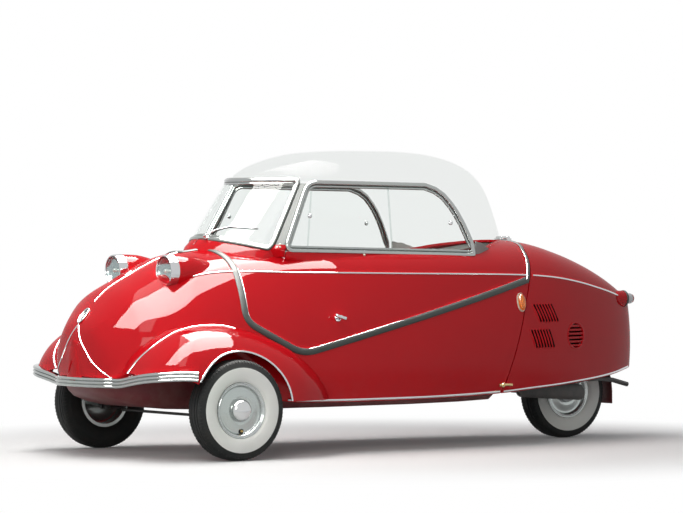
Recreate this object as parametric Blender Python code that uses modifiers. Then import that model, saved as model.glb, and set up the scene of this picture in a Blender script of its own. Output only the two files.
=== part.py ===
"""A three-wheeled bubble car with two seats in line under a clear canopy.

Lengths are in metres. The nose points to -Y, the car's left side is +X and +Z is up.
The origin is on the ground, below the middle of the car's length and width.
"""

import math

import bmesh
import bpy
from mathutils import Matrix, Vector

# Overall sizes
WHEELBASE = 2.030
FRONT_TRACK = 1.080
FRONT_OVERHANG = 0.4384
REAR_OVERHANG = 0.3390
BODY_HALF_WIDTH = 0.460
CROWN_HEIGHT = 0.880
ROOF_HEIGHT = 1.251
DOME_RISE = ROOF_HEIGHT - CROWN_HEIGHT
DOME_HALF_WIDTH = 0.320
FENDER_HALF_WIDTH = 0.614
FENDER_HEIGHT = 0.540

# Walls, fits and running gaps
WALL = 0.016
SEAT_GAP = 0.0003
PIN_GAP = 0.0005
SEAM_GAP = 0.006
OVERRUN = 0.060
WELD = 0.00002
SMOOTH_ANGLE = math.radians(35)

# Wheels
TYRE_RADIUS = 0.2015
TYRE_WIDTH = 0.100
RIM_RADIUS = 0.111
BEAD_RADIUS = 0.105
BEAD_HALF_WIDTH = 0.0385
RIM_HALF_WIDTH = 0.042
RIM_WELL_RADIUS = 0.098
DISC_THICKNESS = 0.006
HUB_RADIUS = 0.046
HUB_DOME = 0.063
HUB_CROWN = 0.022
HUB_FACE_SHARES = (0.38, 0.64, 0.86)
DISC_FLAT_RADIUS = 0.0736
DISC_DISH = 0.0084
HUB_BOSS_RADIUS = 0.024
HUB_BOSS_REACH = 0.020
AXLE_RADIUS = 0.012
AXLE_REACH = 0.009

# Steered front end
KINGPIN_INSET = 0.056
BOSS_RADIUS = 0.015
BOSS_HEIGHT = 0.044
LUG_HEIGHT = 0.012
YOKE_THICKNESS = 0.010
YOKE_WIDTH = 0.030
STEERING_ARM_LENGTH = 0.085
STEERING_ARM_RADIUS = 0.005
TRACK_ROD_RADIUS = 0.006
ROD_EYE_RADIUS = 0.009
ROD_EYE_HEIGHT = 0.014
SUSPENSION_ARM_RADIUS = 0.017
SUSPENSION_ARM_RISE = 0.050
ARM_STRAIGHT = 0.060
ARM_ROOT_X = 0.230

# Front fender and wheel arch
ARCH_RADIUS = 0.235
ARCH_INNER = 0.470
FENDER_WALL = 0.008

# Canopy seams, as places from the front axle and heights
FRONT_SEAM_TOP = 0.155
FRONT_SEAM_FOOT = 0.128
DOOR_SHOULDER_HEIGHT = 0.545
DOOR_POINT_PLACE = 0.380
DOOR_POINT_HEIGHT = 0.408
DOOR_TAIL_HEIGHT = 0.696
DOOR_CORNER_RADIUS = 0.030
HOOP_WIDTH = 0.018
HINGE_STAND = 0.0241
HINGE_Z = 0.742
HINGE_RADIUS = 0.010
HINGE_LENGTH = 0.040
HINGE_LEAF = 0.006
HINGE_LEAF_REACH = 0.056
CANOPY_HINGE_SHARE = 0.450
CANOPY_HINGE_LENGTH = 0.150
TAIL_HINGE_SHARE = 0.8425
TAIL_HINGE_REACH = 0.017

# Windscreen, a curved sheet that leans back
SCREEN_FOOT_PLACE = 0.165
SCREEN_FOOT_HEIGHT = 0.885
SCREEN_CORNER_HEIGHT = 0.838
SCREEN_HEAD_SHARE = 0.650
SCREEN_HEAD_HEIGHT = CROWN_HEIGHT + SCREEN_HEAD_SHARE * DOME_RISE
SCREEN_FOOT_HALF = 0.275
SCREEN_HEAD_HALF = 0.246
SCREEN_LEAN = 0.70
SCREEN_BOW_RADIUS = 0.185
SCREEN_CORNER = 0.050
FRAME_RADIUS = 0.009
GLASS = 0.005
SCUTTLE_WALL = 0.010

# Front pillars, between the windscreen's frame and the side windows' frames
PILLAR_FOOT = 0.755
PILLAR_HEAD_DROP = 0.036
PILLAR_WALL = 0.012

# Side windows
SIDE_SILL_FRONT = 0.832
SIDE_SILL_REAR = 0.808
SIDE_HEAD_SHARE = 0.625
SIDE_HEAD = CROWN_HEIGHT + SIDE_HEAD_SHARE * DOME_RISE
SIDE_FRONT_FOOT = 0.376
SIDE_FRONT_HEAD = 0.510
SIDE_REAR_FOOT = 1.322
SIDE_FOOT_X = 0.318
SIDE_HEAD_X = 0.284
SIDE_CORNER = 0.045

# Roof dome
DOME_WALL = 0.004
DOME_WINDOW_X = 0.262

# Lamps
HEADLAMP_X = 0.205
HEADLAMP_PLACE = -0.126
HEADLAMP_HEIGHT = 0.752
HEADLAMP_RADIUS = 0.0655
HEADLAMP_LENGTH = 0.246
LENS_RADIUS = 0.056
LENS_DOME = 0.018
TURN_LAMP_PLACE = 1.510
TURN_LAMP_HEIGHT = 0.607
TURN_LAMP_SIZE = (0.020, 0.022, 0.040)
TAIL_LAMP_X = 0.135
TAIL_LAMP_HEIGHT = 0.610
TAIL_LAMP_STAND = -0.0047
TAIL_LAMP_RING = 0.037
TAIL_LAMP_RADIUS = 0.023
TAIL_LAMP_REACH = 0.060
TAIL_LAMP_RING_DEPTH = 0.012

# Belly pan and floor
PAN_WALL = 0.006
PAN_FLANGE_RISE = 0.025
PAN_INSET = 0.012

# Front moulding
MOULDING_HEIGHT = 0.042
MOULDING_DEPTH = 0.016

# Cabin
BULKHEAD_WALL = 0.012
BULKHEAD_SETBACK = 0.010
BULKHEAD_TOP = 0.655
SHELF_HEIGHT = 0.775
SHELF_WALL = 0.008
SHELF_FRONT = 1.400
DASH_PLACE = 0.105
DASH_WALL = 0.012
DASH_FOOT = 0.612
SEAT_BASE_HEIGHT = 0.075
SEAT_HALF_WIDTH = 0.205
SEAT_FRONT = 0.550
SEAT_DEPTH = 0.380
CUSHION_HEIGHT = 0.110
BACK_THICKNESS = 0.090
BACK_TOP = 0.790
BENCH_HALF_WIDTH = 0.250
BENCH_FRONT = 1.055
BENCH_DEPTH = 0.290
BENCH_HEIGHT = 0.180
BENCH_BACK_TOP = 0.640
COLUMN_RADIUS = 0.016
COLUMN_FOOT = 0.020
COLUMN_FOOT_HEIGHT = 0.240
COLUMN_HEAD = 0.460
COLUMN_HEAD_HEIGHT = 0.680
BAR_RADIUS = 0.011
BAR_HALF_WIDTH = 0.170
BAR_SWEEP = 0.050
BAR_HUB_RADIUS = 0.0224
BAR_HUB_LENGTH = 0.048
PEDAL_PLACE = 0.060
PEDAL_HEIGHT = 0.140
PEDAL_SIZE = 0.050
PEDAL_BAR = 0.020
PEDAL_PLACES = (-0.105, -0.050, 0.105)

# Engine bay
ENGINE_HALF_WIDTH = 0.150
ENGINE_FRONT = 1.500
ENGINE_REAR = 1.684
ENGINE_FOOT = 0.2150
ENGINE_TOP = 0.500
SUBFRAME_RADIUS = 0.012
SUBFRAME_HALF = 0.100
SUBFRAME_HEIGHT = 0.227
FORK_RADIUS = 0.016
FORK_HALF = 0.085
FORK_HEIGHT = 0.225
CHAIN_CASE_WIDTH = 0.024
CHAIN_CASE_HEIGHT = 0.070
CHAIN_CASE_RISE = 0.014
GUARD_RADIUS = 0.232
GUARD_WALL = 0.004
GUARD_HALF_WIDTH = 0.058
GUARD_TAB_HEIGHT = 0.310
GUARD_FLAP_HEIGHT = 0.145
SILENCER_RADIUS = 0.042
SILENCER_X = 0.190
SILENCER_FRONT = 1.770
SILENCER_REAR = 1.975
SILENCER_HEIGHT = 0.288
PIPE_RADIUS = 0.011
HEADER_PLACE = 1.640
PIPE_HEIGHT = 0.262
PIPE_END_X = 0.090
PIPE_BEND_SHARE = 1.050
PIPE_END_SHARE = 1.145

# Door handle
HANDLE_PLACE = 0.553
HANDLE_HEIGHT = 0.556
HANDLE_STEM = 0.007
HANDLE_REACH = 0.030
HANDLE_BAR = 0.052

FRONT_AXLE_Y = (FRONT_OVERHANG - WHEELBASE - REAR_OVERHANG) / 2
REAR_AXLE_Y = FRONT_AXLE_Y + WHEELBASE

# Mesh fineness
SPAN_STEPS = 1
SIDE_STEPS = 5
CROWN_STEPS = 6
CORNER_STEPS = 4
TUBE_RESOLUTION = 1
WHEEL_STEPS = 28
LAMP_STEPS = 24
ROD_SIDES = 16
THIN_SIDES = 12
DRUM_SIDES = 20
LENS_STEPS = 4
GUARD_STEPS = 15
BISECTIONS = 24

# Body stations from nose to tail. Columns: along (share of the wheelbase from the front
# axle), half widths at the low edge, mid side and belt (shares of BODY_HALF_WIDTH), heights
# of the low edge, belt and crown (shares of CROWN_HEIGHT), and the fullness of the shoulder.
# Order: along, low_width, low_height, mid_width, belt_width, belt_height, crown, shoulder
BODY_SHARES = (
    (-0.214, 0.090, 0.378, 0.095, 0.057, 0.505, 0.525, 0.60),
    (-0.209, 0.200, 0.375, 0.225, 0.152, 0.542, 0.568, 0.60),
    (-0.200, 0.360, 0.373, 0.385, 0.250, 0.591, 0.619, 0.60),
    (-0.185, 0.460, 0.370, 0.495, 0.326, 0.623, 0.662, 0.60),
    (-0.165, 0.530, 0.369, 0.592, 0.391, 0.665, 0.714, 0.60),
    (-0.138, 0.591, 0.369, 0.691, 0.446, 0.716, 0.770, 0.60),
    (-0.099, 0.670, 0.369, 0.783, 0.500, 0.740, 0.820, 0.60),
    (-0.059, 0.717, 0.369, 0.826, 0.533, 0.778, 0.867, 0.60),
    (-0.015, 0.743, 0.364, 0.852, 0.570, 0.830, 0.911, 0.62),
    (0.034, 0.761, 0.341, 0.874, 0.615, 0.847, 0.939, 0.66),
    (0.074, 0.793, 0.307, 0.896, 0.652, 0.851, 0.952, 0.70),
    (0.123, 0.848, 0.264, 0.922, 0.702, 0.849, 0.966, 0.74),
    (0.197, 0.902, 0.245, 0.957, 0.765, 0.844, 0.984, 0.78),
    (0.320, 0.935, 0.242, 0.989, 0.848, 0.840, 0.995, 0.80),
    (0.468, 0.943, 0.243, 1.000, 0.887, 0.834, 1.000, 0.80),
    (0.591, 0.917, 0.248, 0.978, 0.874, 0.830, 1.000, 0.80),
    (0.700, 0.870, 0.257, 0.930, 0.830, 0.825, 1.000, 0.80),
    (0.788, 0.813, 0.270, 0.874, 0.765, 0.819, 0.995, 0.78),
    (0.862, 0.748, 0.280, 0.800, 0.700, 0.807, 0.980, 0.76),
    (0.936, 0.657, 0.293, 0.700, 0.613, 0.784, 0.939, 0.74),
    (1.010, 0.543, 0.307, 0.578, 0.504, 0.752, 0.881, 0.72),
    (1.069, 0.435, 0.323, 0.461, 0.400, 0.723, 0.820, 0.70),
    (1.113, 0.330, 0.339, 0.352, 0.304, 0.695, 0.764, 0.68),
    (1.143, 0.235, 0.348, 0.252, 0.213, 0.670, 0.720, 0.66),
    (1.160, 0.135, 0.357, 0.148, 0.122, 0.643, 0.677, 0.64),
    (1.167, 0.043, 0.386, 0.052, 0.039, 0.602, 0.623, 0.60),
)

# Left fender stations. Columns: along (share of the wheelbase), inner half width, ridge
# height, outer half width and lip height (shares of FENDER_HALF_WIDTH and FENDER_HEIGHT).
FENDER_SHARES = (
    (-0.173, 0.407, 0.648, 0.651, 0.602),
    (-0.167, 0.423, 0.731, 0.749, 0.602),
    (-0.148, 0.464, 0.830, 0.863, 0.602),
    (-0.123, 0.505, 0.911, 0.941, 0.602),
    (-0.094, 0.546, 0.967, 0.982, 0.556),
    (-0.049, 0.578, 0.996, 0.997, 0.463),
    (0.000, 0.586, 1.000, 1.000, 0.444),
    (0.049, 0.594, 0.967, 0.997, 0.435),
    (0.099, 0.611, 0.911, 0.977, 0.430),
    (0.148, 0.627, 0.830, 0.936, 0.426),
    (0.177, 0.635, 0.763, 0.896, 0.426),
    (0.207, 0.651, 0.667, 0.847, 0.422),
    (0.232, 0.660, 0.556, 0.790, 0.422),
    (0.246, 0.668, 0.454, 0.741, 0.422),
)
FENDER_FULLNESS_SHARE = 2.2

# Dome rings from windscreen head to tail. Columns: crown along and height, then the foot's
# half width, along and height, then the fullness of the arch. Along is a share of the
# wheelbase, heights are shares of DOME_RISE above CROWN_HEIGHT and the half width is one
# of DOME_HALF_WIDTH.
DOME_SHARES = (
    (0.164, 0.656, 0.766, 0.242, 0.646, 2.00),
    (0.202, 0.791, 0.819, 0.261, 0.643, 2.00),
    (0.251, 0.895, 0.850, 0.296, 0.639, 2.00),
    (0.324, 0.973, 0.872, 0.355, 0.632, 2.05),
    (0.436, 1.000, 0.881, 0.443, 0.619, 2.10),
    (0.524, 1.000, 0.884, 0.522, 0.602, 2.10),
    (0.601, 0.980, 0.897, 0.576, 0.498, 2.20),
    (0.660, 0.922, 0.938, 0.621, 0.214, 2.50),
    (0.704, 0.835, 0.988, 0.655, -0.244, 2.80),
    (0.739, 0.713, 0.900, 0.690, -0.231, 2.70),
    (0.764, 0.565, 0.759, 0.724, -0.204, 2.50),
    (0.788, 0.322, 0.584, 0.761, -0.163, 2.30),
    (0.810, 0.106, 0.375, 0.793, -0.123, 2.10),
    (0.833, -0.082, 0.094, 0.830, -0.096, 2.00),
)

# Tail seam, from sill to above the crown: along (wheelbase) and height (CROWN_HEIGHT).
SEAM_SHARES = (
    (0.680, 0.220),
    (0.699, 0.298),
    (0.756, 0.682),
    (0.788, 0.835),
    (0.813, 0.938),
    (0.855, 1.006),
    (0.901, 1.057),
)

# Cabin opening in plan: half width (DOME_HALF_WIDTH) and along (wheelbase).
OPENING_SHARES = (
    (0.000, 0.086),
    (0.500, 0.120),
    (0.800, 0.165),
    (0.900, 0.190),
    (0.985, 0.225),
    (0.985, 0.640),
    (0.930, 0.664),
    (0.750, 0.710),
    (0.480, 0.765),
    (0.240, 0.802),
    (0.000, 0.822),
)

# Rear arc of the side windows: along (wheelbase) and height (from the rear sill to SIDE_HEAD).
SIDE_REAR_SHARES = (
    (0.6475, 0.182),
    (0.6405, 0.289),
    (0.6300, 0.437),
    (0.6160, 0.597),
    (0.6030, 0.713),
    (0.5860, 0.832),
    (0.5660, 0.914),
    (0.5400, 0.968),
)

# Belly pan stations: along (wheelbase), corner half width (BODY_HALF_WIDTH) and bottom
# height (CROWN_HEIGHT).
PAN_SHARES = (
    (-0.203, 0.150, 0.345),
    (-0.188, 0.270, 0.310),
    (-0.163, 0.370, 0.282),
    (-0.123, 0.450, 0.253),
    (-0.074, 0.515, 0.232),
    (0.000, 0.560, 0.226),
    (0.050, 0.610, 0.224),
    (0.100, 0.690, 0.224),
    (0.150, 0.750, 0.224),
    (0.250, 0.800, 0.224),
    (0.468, 0.830, 0.225),
    (0.591, 0.805, 0.228),
    (0.701, 0.750, 0.235),
)

# Front moulding, its mid line on the left half: x (FENDER_HALF_WIDTH), along (wheelbase)
# and height (FENDER_HEIGHT).
MOULDING_SHARES = (
    (0.000, -0.2120, 0.570),
    (0.160, -0.2090, 0.570),
    (0.290, -0.1985, 0.570),
    (0.396, -0.1790, 0.567),
    (0.520, -0.1760, 0.585),
    (0.650, -0.1755, 0.605),
    (0.760, -0.1690, 0.620),
    (0.865, -0.1500, 0.630),
    (0.940, -0.1250, 0.635),
    (0.985, -0.1050, 0.630),
)

# Tyre section on one side: radius between bead and tread, and half width.
TYRE_SHARES = (
    (0.00, 0.74),
    (0.07, 0.74),
    (0.12, 0.88),
    (0.40, 1.00),
    (0.68, 0.98),
    (0.88, 0.86),
    (0.97, 0.72),
    (1.00, 0.45),
)

# Headlamp shell behind its front plane: depth (HEADLAMP_LENGTH) and radius.
POD_SHARES = (
    (0.00, 0.93),
    (0.03, 1.00),
    (0.10, 1.00),
    (0.14, 0.95),
    (0.32, 0.98),
    (0.52, 0.90),
    (0.72, 0.70),
    (0.88, 0.42),
)

FINISHES = {
    "red_paint": ((0.52, 0.012, 0.020), 0.25, 0.0),
    "dark_red_paint": ((0.16, 0.01, 0.014), 0.4, 0.0),
    "aluminium": ((0.66, 0.67, 0.68), 0.3, 1.0),
    "chrome": ((0.80, 0.81, 0.82), 0.1, 1.0),
    "clear_glass": ((0.93, 0.95, 0.95), 0.05, 0.0),
    "rubber": ((0.02, 0.02, 0.02), 0.8, 0.0),
    "black_metal": ((0.03, 0.03, 0.03), 0.5, 0.3),
    "grey_trim": ((0.35, 0.35, 0.34), 0.8, 0.0),
    "orange_lens": ((0.75, 0.22, 0.03), 0.2, 0.0),
    "seat_cloth": ((0.30, 0.29, 0.27), 0.9, 0.0),
}

PARTS = bpy.data.collections.new("bubble_car")
CUTTERS = bpy.data.collections.new("cutters")


def clear_scene():
    """Remove what the scene holds and link the two collections."""
    for old in list(bpy.data.objects):
        bpy.data.objects.remove(old, do_unlink=True)
    for collection in (PARTS, CUTTERS):
        bpy.context.scene.collection.children.link(collection)


def along(share):
    """World Y of a share of the wheelbase behind the front axle."""
    return FRONT_AXLE_Y + share * WHEELBASE


def place(distance):
    """World Y of a distance behind the front axle."""
    return FRONT_AXLE_Y + distance


def slope(places, values, index):
    """Slope of the smooth curve at one of its points, flat at a turning point."""
    last = len(places) - 1
    before = max(index - 1, 0)
    after = min(index + 1, last)
    if before == index or after == index:
        return (values[after] - values[before]) / (places[after] - places[before])
    low = (values[index] - values[before]) / (places[index] - places[before])
    high = (values[after] - values[index]) / (places[after] - places[index])
    if low * high <= 0:
        return 0.0
    return 2 * low * high / (low + high)


def smooth(places, values, at):
    """Value at a place on the curve that runs smoothly through the given points."""
    index = 0
    while index < len(places) - 2 and at > places[index + 1]:
        index += 1
    width = places[index + 1] - places[index]
    t = (at - places[index]) / width
    first = slope(places, values, index) * width
    second = slope(places, values, index + 1) * width
    rise = values[index + 1] - values[index]
    return (values[index] + first * t + (3 * rise - 2 * first - second) * t * t
            + (first + second - 2 * rise) * t * t * t)


def row_at(rows, at):
    """One row of a table of stations, read smoothly between its rows."""
    columns = list(zip(*rows))
    return [smooth(columns[0], column, at) for column in columns]


def fine_places(rows, steps):
    """Places of a table's rows, with each span between them divided."""
    places = [row[0] for row in rows]
    fine = []
    for first, second in zip(places, places[1:]):
        for step in range(steps):
            fine.append(first + (second - first) * step / steps)
    fine.append(places[-1])
    return fine


def pushed(points, margin):
    """Points of a section moved outwards, square to the line through their neighbours."""
    if not margin:
        return points
    moved = []
    last = len(points) - 1
    for index, point in enumerate(points):
        before = points[max(index - 1, 0)]
        after = points[min(index + 1, last)]
        run = Vector((after[0] - before[0], after[1] - before[1])).normalized()
        moved.append((point[0] + run.y * margin, point[1] - run.x * margin))
    return moved


def body_section(share, margin=0):
    """Left half of the body's section, as (x, z) from its low edge to its crown."""
    row = row_at(BODY_SHARES, share)
    low = Vector((row[1] * BODY_HALF_WIDTH, row[2] * CROWN_HEIGHT))
    middle = row[3] * BODY_HALF_WIDTH
    belt = Vector((row[4] * BODY_HALF_WIDTH, row[5] * CROWN_HEIGHT))
    crown = Vector((0, row[6] * CROWN_HEIGHT))
    bend = Vector((belt.x * row[7], crown.y))
    bulge = middle - (low.x + belt.x) / 2
    points = []
    for step in range(SIDE_STEPS):
        t = step / SIDE_STEPS
        point = low.lerp(belt, t)
        points.append((point.x + bulge * 4 * t * (1 - t), point.y))
    for step in range(CROWN_STEPS + 1):
        t = step / CROWN_STEPS
        point = belt.lerp(bend, t).lerp(bend.lerp(crown, t), t)
        points.append((point.x, point.y))
    return pushed(points, margin)


def fender_section(share, margin=0):
    """Left fender's section, as (x, z) from its outer lip to its inner ridge."""
    row = row_at(FENDER_SHARES, share)
    inner, outer = row[1] * FENDER_HALF_WIDTH, row[3] * FENDER_HALF_WIDTH
    ridge, lip = row[2] * FENDER_HEIGHT, row[4] * FENDER_HEIGHT
    points = []
    steps = SIDE_STEPS + 2
    for step in range(steps + 1):
        turn = math.pi / 2 * step / steps
        wide = math.cos(turn) ** (2 / FENDER_FULLNESS_SHARE)
        high = math.sin(turn) ** (2 / FENDER_FULLNESS_SHARE)
        points.append((inner + (outer - inner) * wide, lip + (ridge - lip) * high))
    return pushed(points, margin)


def dome_ring(at):
    """One ring of the dome, from its left foot over the crown to its right foot."""
    count = len(DOME_SHARES)
    numbered = [(index / (count - 1),) + row for index, row in enumerate(DOME_SHARES)]
    row = row_at(numbered, at)
    crown_y, crown_z = along(row[1]), CROWN_HEIGHT + row[2] * DOME_RISE
    foot_x, foot_y = row[3] * DOME_HALF_WIDTH, along(row[4])
    foot_z = CROWN_HEIGHT + row[5] * DOME_RISE
    steps = 2 * (CROWN_STEPS + 2)
    ring = []
    for step in range(steps + 1):
        turn = math.pi * step / steps
        across = math.copysign(abs(math.cos(turn)) ** (2 / row[6]), math.cos(turn))
        up = math.sin(turn) ** (2 / row[6])
        ring.append((foot_x * across, crown_y + (foot_y - crown_y) * across * across,
                     foot_z + (crown_z - foot_z) * up))
    return ring


def screen_y(x, z):
    """World Y of the windscreen's surface."""
    lean = (z - SCREEN_FOOT_HEIGHT) * SCREEN_LEAN
    return place(SCREEN_FOOT_PLACE) + lean + x * x / (2 * SCREEN_BOW_RADIUS)


def side_x(z):
    """Half width of the side windows' plane at a height."""
    rise = (z - SIDE_SILL_FRONT) / (SIDE_HEAD - SIDE_SILL_FRONT)
    return SIDE_FOOT_X + (SIDE_HEAD_X - SIDE_FOOT_X) * rise


def rounded(corners, steps=CORNER_STEPS):
    """Closed outline through corners given as (u, v, radius), each one turned by a curve."""
    outline = []
    count = len(corners)
    for index, (u, v, radius) in enumerate(corners):
        here = Vector((u, v))
        if not radius:
            outline.append((u, v))
            continue
        before = Vector(corners[index - 1][:2]) - here
        after = Vector(corners[(index + 1) % count][:2]) - here
        start = here + before.normalized() * min(radius, before.length / 2)
        end = here + after.normalized() * min(radius, after.length / 2)
        for step in range(steps + 1):
            t = step / steps
            point = start.lerp(here, t).lerp(here.lerp(end, t), t)
            outline.append((point.x, point.y))
    return outline


def link(obj, collection):
    """Move an object into one collection only."""
    for old in list(obj.users_collection):
        old.objects.unlink(obj)
    collection.objects.link(obj)


def finish(obj, name):
    """Give an object its own material in one of the car's finishes."""
    colour, roughness, metallic = FINISHES[name]
    material = bpy.data.materials.new(obj.name + "_" + name)
    material.use_nodes = True
    shader = material.node_tree.nodes["Principled BSDF"]
    shader.inputs["Base Color"].default_value = (*colour, 1)
    shader.inputs["Roughness"].default_value = roughness
    shader.inputs["Metallic"].default_value = metallic
    obj.data.materials.clear()
    obj.data.materials.append(material)
    return obj


def from_bmesh(name, source):
    """New object in the parts collection from a bmesh, which is freed."""
    mesh = bpy.data.meshes.new(name)
    source.to_mesh(mesh)
    source.free()
    obj = bpy.data.objects.new(name, mesh)
    PARTS.objects.link(obj)
    return obj


def bake(obj):
    """Turn an object's modifiers into its own mesh."""
    bpy.context.view_layer.update()
    evaluated = obj.evaluated_get(bpy.context.evaluated_depsgraph_get())
    mesh = bpy.data.meshes.new_from_object(evaluated)
    obj.modifiers.clear()
    obj.data = mesh
    return obj


def tidy(obj):
    """Weld an object's mesh, drop what has no area and point its faces outwards."""
    work = bmesh.new()
    work.from_mesh(obj.data)
    bmesh.ops.remove_doubles(work, verts=work.verts, dist=WELD)
    bmesh.ops.dissolve_degenerate(work, edges=work.edges, dist=WELD)
    bmesh.ops.recalc_face_normals(work, faces=work.faces)
    work.to_mesh(obj.data)
    work.free()
    obj.data.shade_smooth()
    obj.data.set_sharp_from_angle(angle=SMOOTH_ANGLE)
    return obj


def as_cutter(obj):
    """Mark an object as a cutter, which is no part of the car."""
    link(obj, CUTTERS)
    obj.hide_render = True
    obj.display_type = "WIRE"
    return obj


def boolean(target, tool, operation="DIFFERENCE"):
    """Cut a target with a tool, or join or intersect them."""
    modifier = target.modifiers.new(operation.lower(), "BOOLEAN")
    modifier.operation = operation
    modifier.solver = "EXACT"
    modifier.object = tool
    bake(target)
    return tidy(target)


def join(target, *tools):
    """Union a target with tools, which are removed."""
    for tool in tools:
        boolean(target, tool, "UNION")
        bpy.data.objects.remove(tool, do_unlink=True)
    return target


def islands(work):
    """Groups of a bmesh's faces that hang together."""
    seen = set()
    groups = []
    for face in work.faces:
        if face in seen:
            continue
        group = [face]
        seen.add(face)
        for member in group:
            for edge in member.edges:
                for other in edge.link_faces:
                    if other not in seen:
                        seen.add(other)
                        group.append(other)
        groups.append(group)
    return groups


def keep_largest(obj):
    """Keep the piece of a cut mesh that has the largest surface."""
    work = bmesh.new()
    work.from_mesh(obj.data)
    groups = islands(work)
    groups.sort(key=lambda group: sum(face.calc_area() for face in group))
    loose = [face for group in groups[:-1] for face in group]
    bmesh.ops.delete(work, geom=loose, context="FACES")
    work.to_mesh(obj.data)
    work.free()
    return obj


def loft(name, rings, closed=False, caps=True):
    """Surface through rings of points, joined end to end and capped where asked."""
    work = bmesh.new()
    rows = [[work.verts.new(point) for point in ring] for ring in rings]
    count = len(rows[0])
    around = count if closed else count - 1
    for first, second in zip(rows, rows[1:]):
        for index in range(around):
            after = (index + 1) % count
            quad = (first[index], second[index], second[after], first[after])
            if 2 * index < around:
                split = ((0, 1, 2), (0, 2, 3))
            else:
                split = ((0, 1, 3), (1, 2, 3))
            for corners in split:
                work.faces.new([quad[corner] for corner in corners])
    if caps:
        work.faces.new(rows[0])
        work.faces.new(reversed(rows[-1]))
    return from_bmesh(name, work)


def shell(obj, wall, margin=0):
    """Give a surface its wall on the inner side, grown all over by a margin."""
    modifier = obj.modifiers.new("wall", "SOLIDIFY")
    modifier.thickness = wall + 2 * margin
    modifier.offset = 2 * margin / modifier.thickness - 1
    modifier.use_even_offset = True
    bake(obj)
    return tidy(obj)


def tube(name, points, radius, cyclic=False, resolution=TUBE_RESOLUTION):
    """Round bar along points, as a welded mesh."""
    curve = bpy.data.curves.new(name, "CURVE")
    curve.dimensions = "3D"
    curve.bevel_depth = radius
    curve.bevel_resolution = resolution
    curve.use_fill_caps = True
    spline = curve.splines.new("POLY")
    spline.points.add(len(points) - 1)
    for target, point in zip(spline.points, points):
        target.co = (*point, 1)
    spline.use_cyclic_u = cyclic
    bar = curve_mesh(name, curve, Matrix.Identity(4))
    work = bmesh.new()
    work.from_mesh(bar.data)
    bmesh.ops.triangulate(work, faces=work.faces, quad_method="FIXED")
    work.to_mesh(bar.data)
    work.free()
    return bar


def curve_mesh(name, curve, matrix):
    """Mesh object made from a curve, which is removed."""
    guide = bpy.data.objects.new(name, curve)
    PARTS.objects.link(guide)
    guide.matrix_world = matrix
    bpy.context.view_layer.update()
    evaluated = guide.evaluated_get(bpy.context.evaluated_depsgraph_get())
    mesh = bpy.data.meshes.new_from_object(evaluated)
    bpy.data.objects.remove(guide, do_unlink=True)
    obj = bpy.data.objects.new(name, mesh)
    obj.data.transform(matrix)
    PARTS.objects.link(obj)
    return tidy(obj)


AXES = {
    "X": Matrix(((0, 0, 1), (1, 0, 0), (0, 1, 0))),
    "Y": Matrix(((1, 0, 0), (0, 0, -1), (0, 1, 0))),
    "Z": Matrix.Identity(3),
}


def prism(name, outline, axis, low, high):
    """Solid of a flat outline, drawn square to an axis and extruded between two places."""
    curve = bpy.data.curves.new(name, "CURVE")
    curve.dimensions = "2D"
    curve.fill_mode = "BOTH"
    curve.extrude = (high - low) / 2
    spline = curve.splines.new("POLY")
    spline.points.add(len(outline) - 1)
    for target, point in zip(spline.points, outline):
        target.co = (point[0], point[1], 0, 1)
    spline.use_cyclic_u = True
    middle = Vector((axis == "X", axis == "Y", axis == "Z")) * (low + high) / 2
    return curve_mesh(name, curve, Matrix.Translation(middle) @ AXES[axis].to_4x4())


def box(name, low, high):
    """Plain block between two corners."""
    bpy.ops.mesh.primitive_cube_add(size=1)
    obj = bpy.context.active_object
    obj.name = name
    obj.data.name = name
    low, high = Vector(low), Vector(high)
    obj.data.transform(Matrix.Translation((low + high) / 2) @ Matrix.Diagonal((*(high - low), 1)))
    link(obj, PARTS)
    return obj


def rod(name, start, end, radius, sides=ROD_SIDES):
    """Straight round bar between two points."""
    start, end = Vector(start), Vector(end)
    bpy.ops.mesh.primitive_cylinder_add(vertices=sides, radius=radius, depth=(end - start).length)
    obj = bpy.context.active_object
    obj.name = name
    obj.data.name = name
    turn = (end - start).to_track_quat("Z", "Y").to_matrix().to_4x4()
    obj.data.transform(Matrix.Translation((start + end) / 2) @ turn)
    link(obj, PARTS)
    return tidy(obj)


def lathe(name, profile, matrix, steps=WHEEL_STEPS, closed=False):
    """Turned solid of a profile of (radius, height), set in place by a matrix."""
    work = bmesh.new()
    verts = [work.verts.new((radius, 0, height)) for radius, height in profile]
    for first, second in zip(verts, verts[1:]):
        work.edges.new((first, second))
    if closed:
        work.edges.new((verts[-1], verts[0]))
    obj = from_bmesh(name, work)
    screw = obj.modifiers.new("turn", "SCREW")
    screw.steps = steps
    screw.render_steps = steps
    screw.use_merge_vertices = True
    screw.merge_threshold = WELD
    bake(obj)
    obj.data.transform(matrix)
    return tidy(obj)


def mirrored(obj, name):
    """Copy of a left-hand object for the right-hand side."""
    other = bpy.data.objects.new(name, obj.data.copy())
    PARTS.objects.link(other)
    other.data.transform(Matrix.Diagonal((-1, 1, 1, 1)))
    return tidy(other)


def body_rings(margin=0, foot=0):
    """Rings of the whole body, each from left low edge over the crown to the right."""
    rings = []
    for share in fine_places(BODY_SHARES, SPAN_STEPS):
        left = body_section(share, margin)
        y = along(share)
        if foot:
            left[0] = (left[0][0], left[0][1] - foot)
        ring = [(x, y, z) for x, z in left]
        ring += [(-x, y, z) for x, z in reversed(left[:-1])]
        rings.append(ring)
    return rings


def body_skin(name, margin=0):
    """Hollow body with its wall, open below, from nose to tail."""
    return shell(loft(name, body_rings(foot=margin)), WALL, margin)


def body_core(name, margin):
    """Solid of the body's outside, grown by a margin."""
    return tidy(loft(name, body_rings(margin), closed=True))


def seam_line(shift):
    """Tail seam in (y, z), moved along the car by a shift."""
    return [(along(share) + shift, height * CROWN_HEIGHT) for share, height in SEAM_SHARES]


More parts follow.
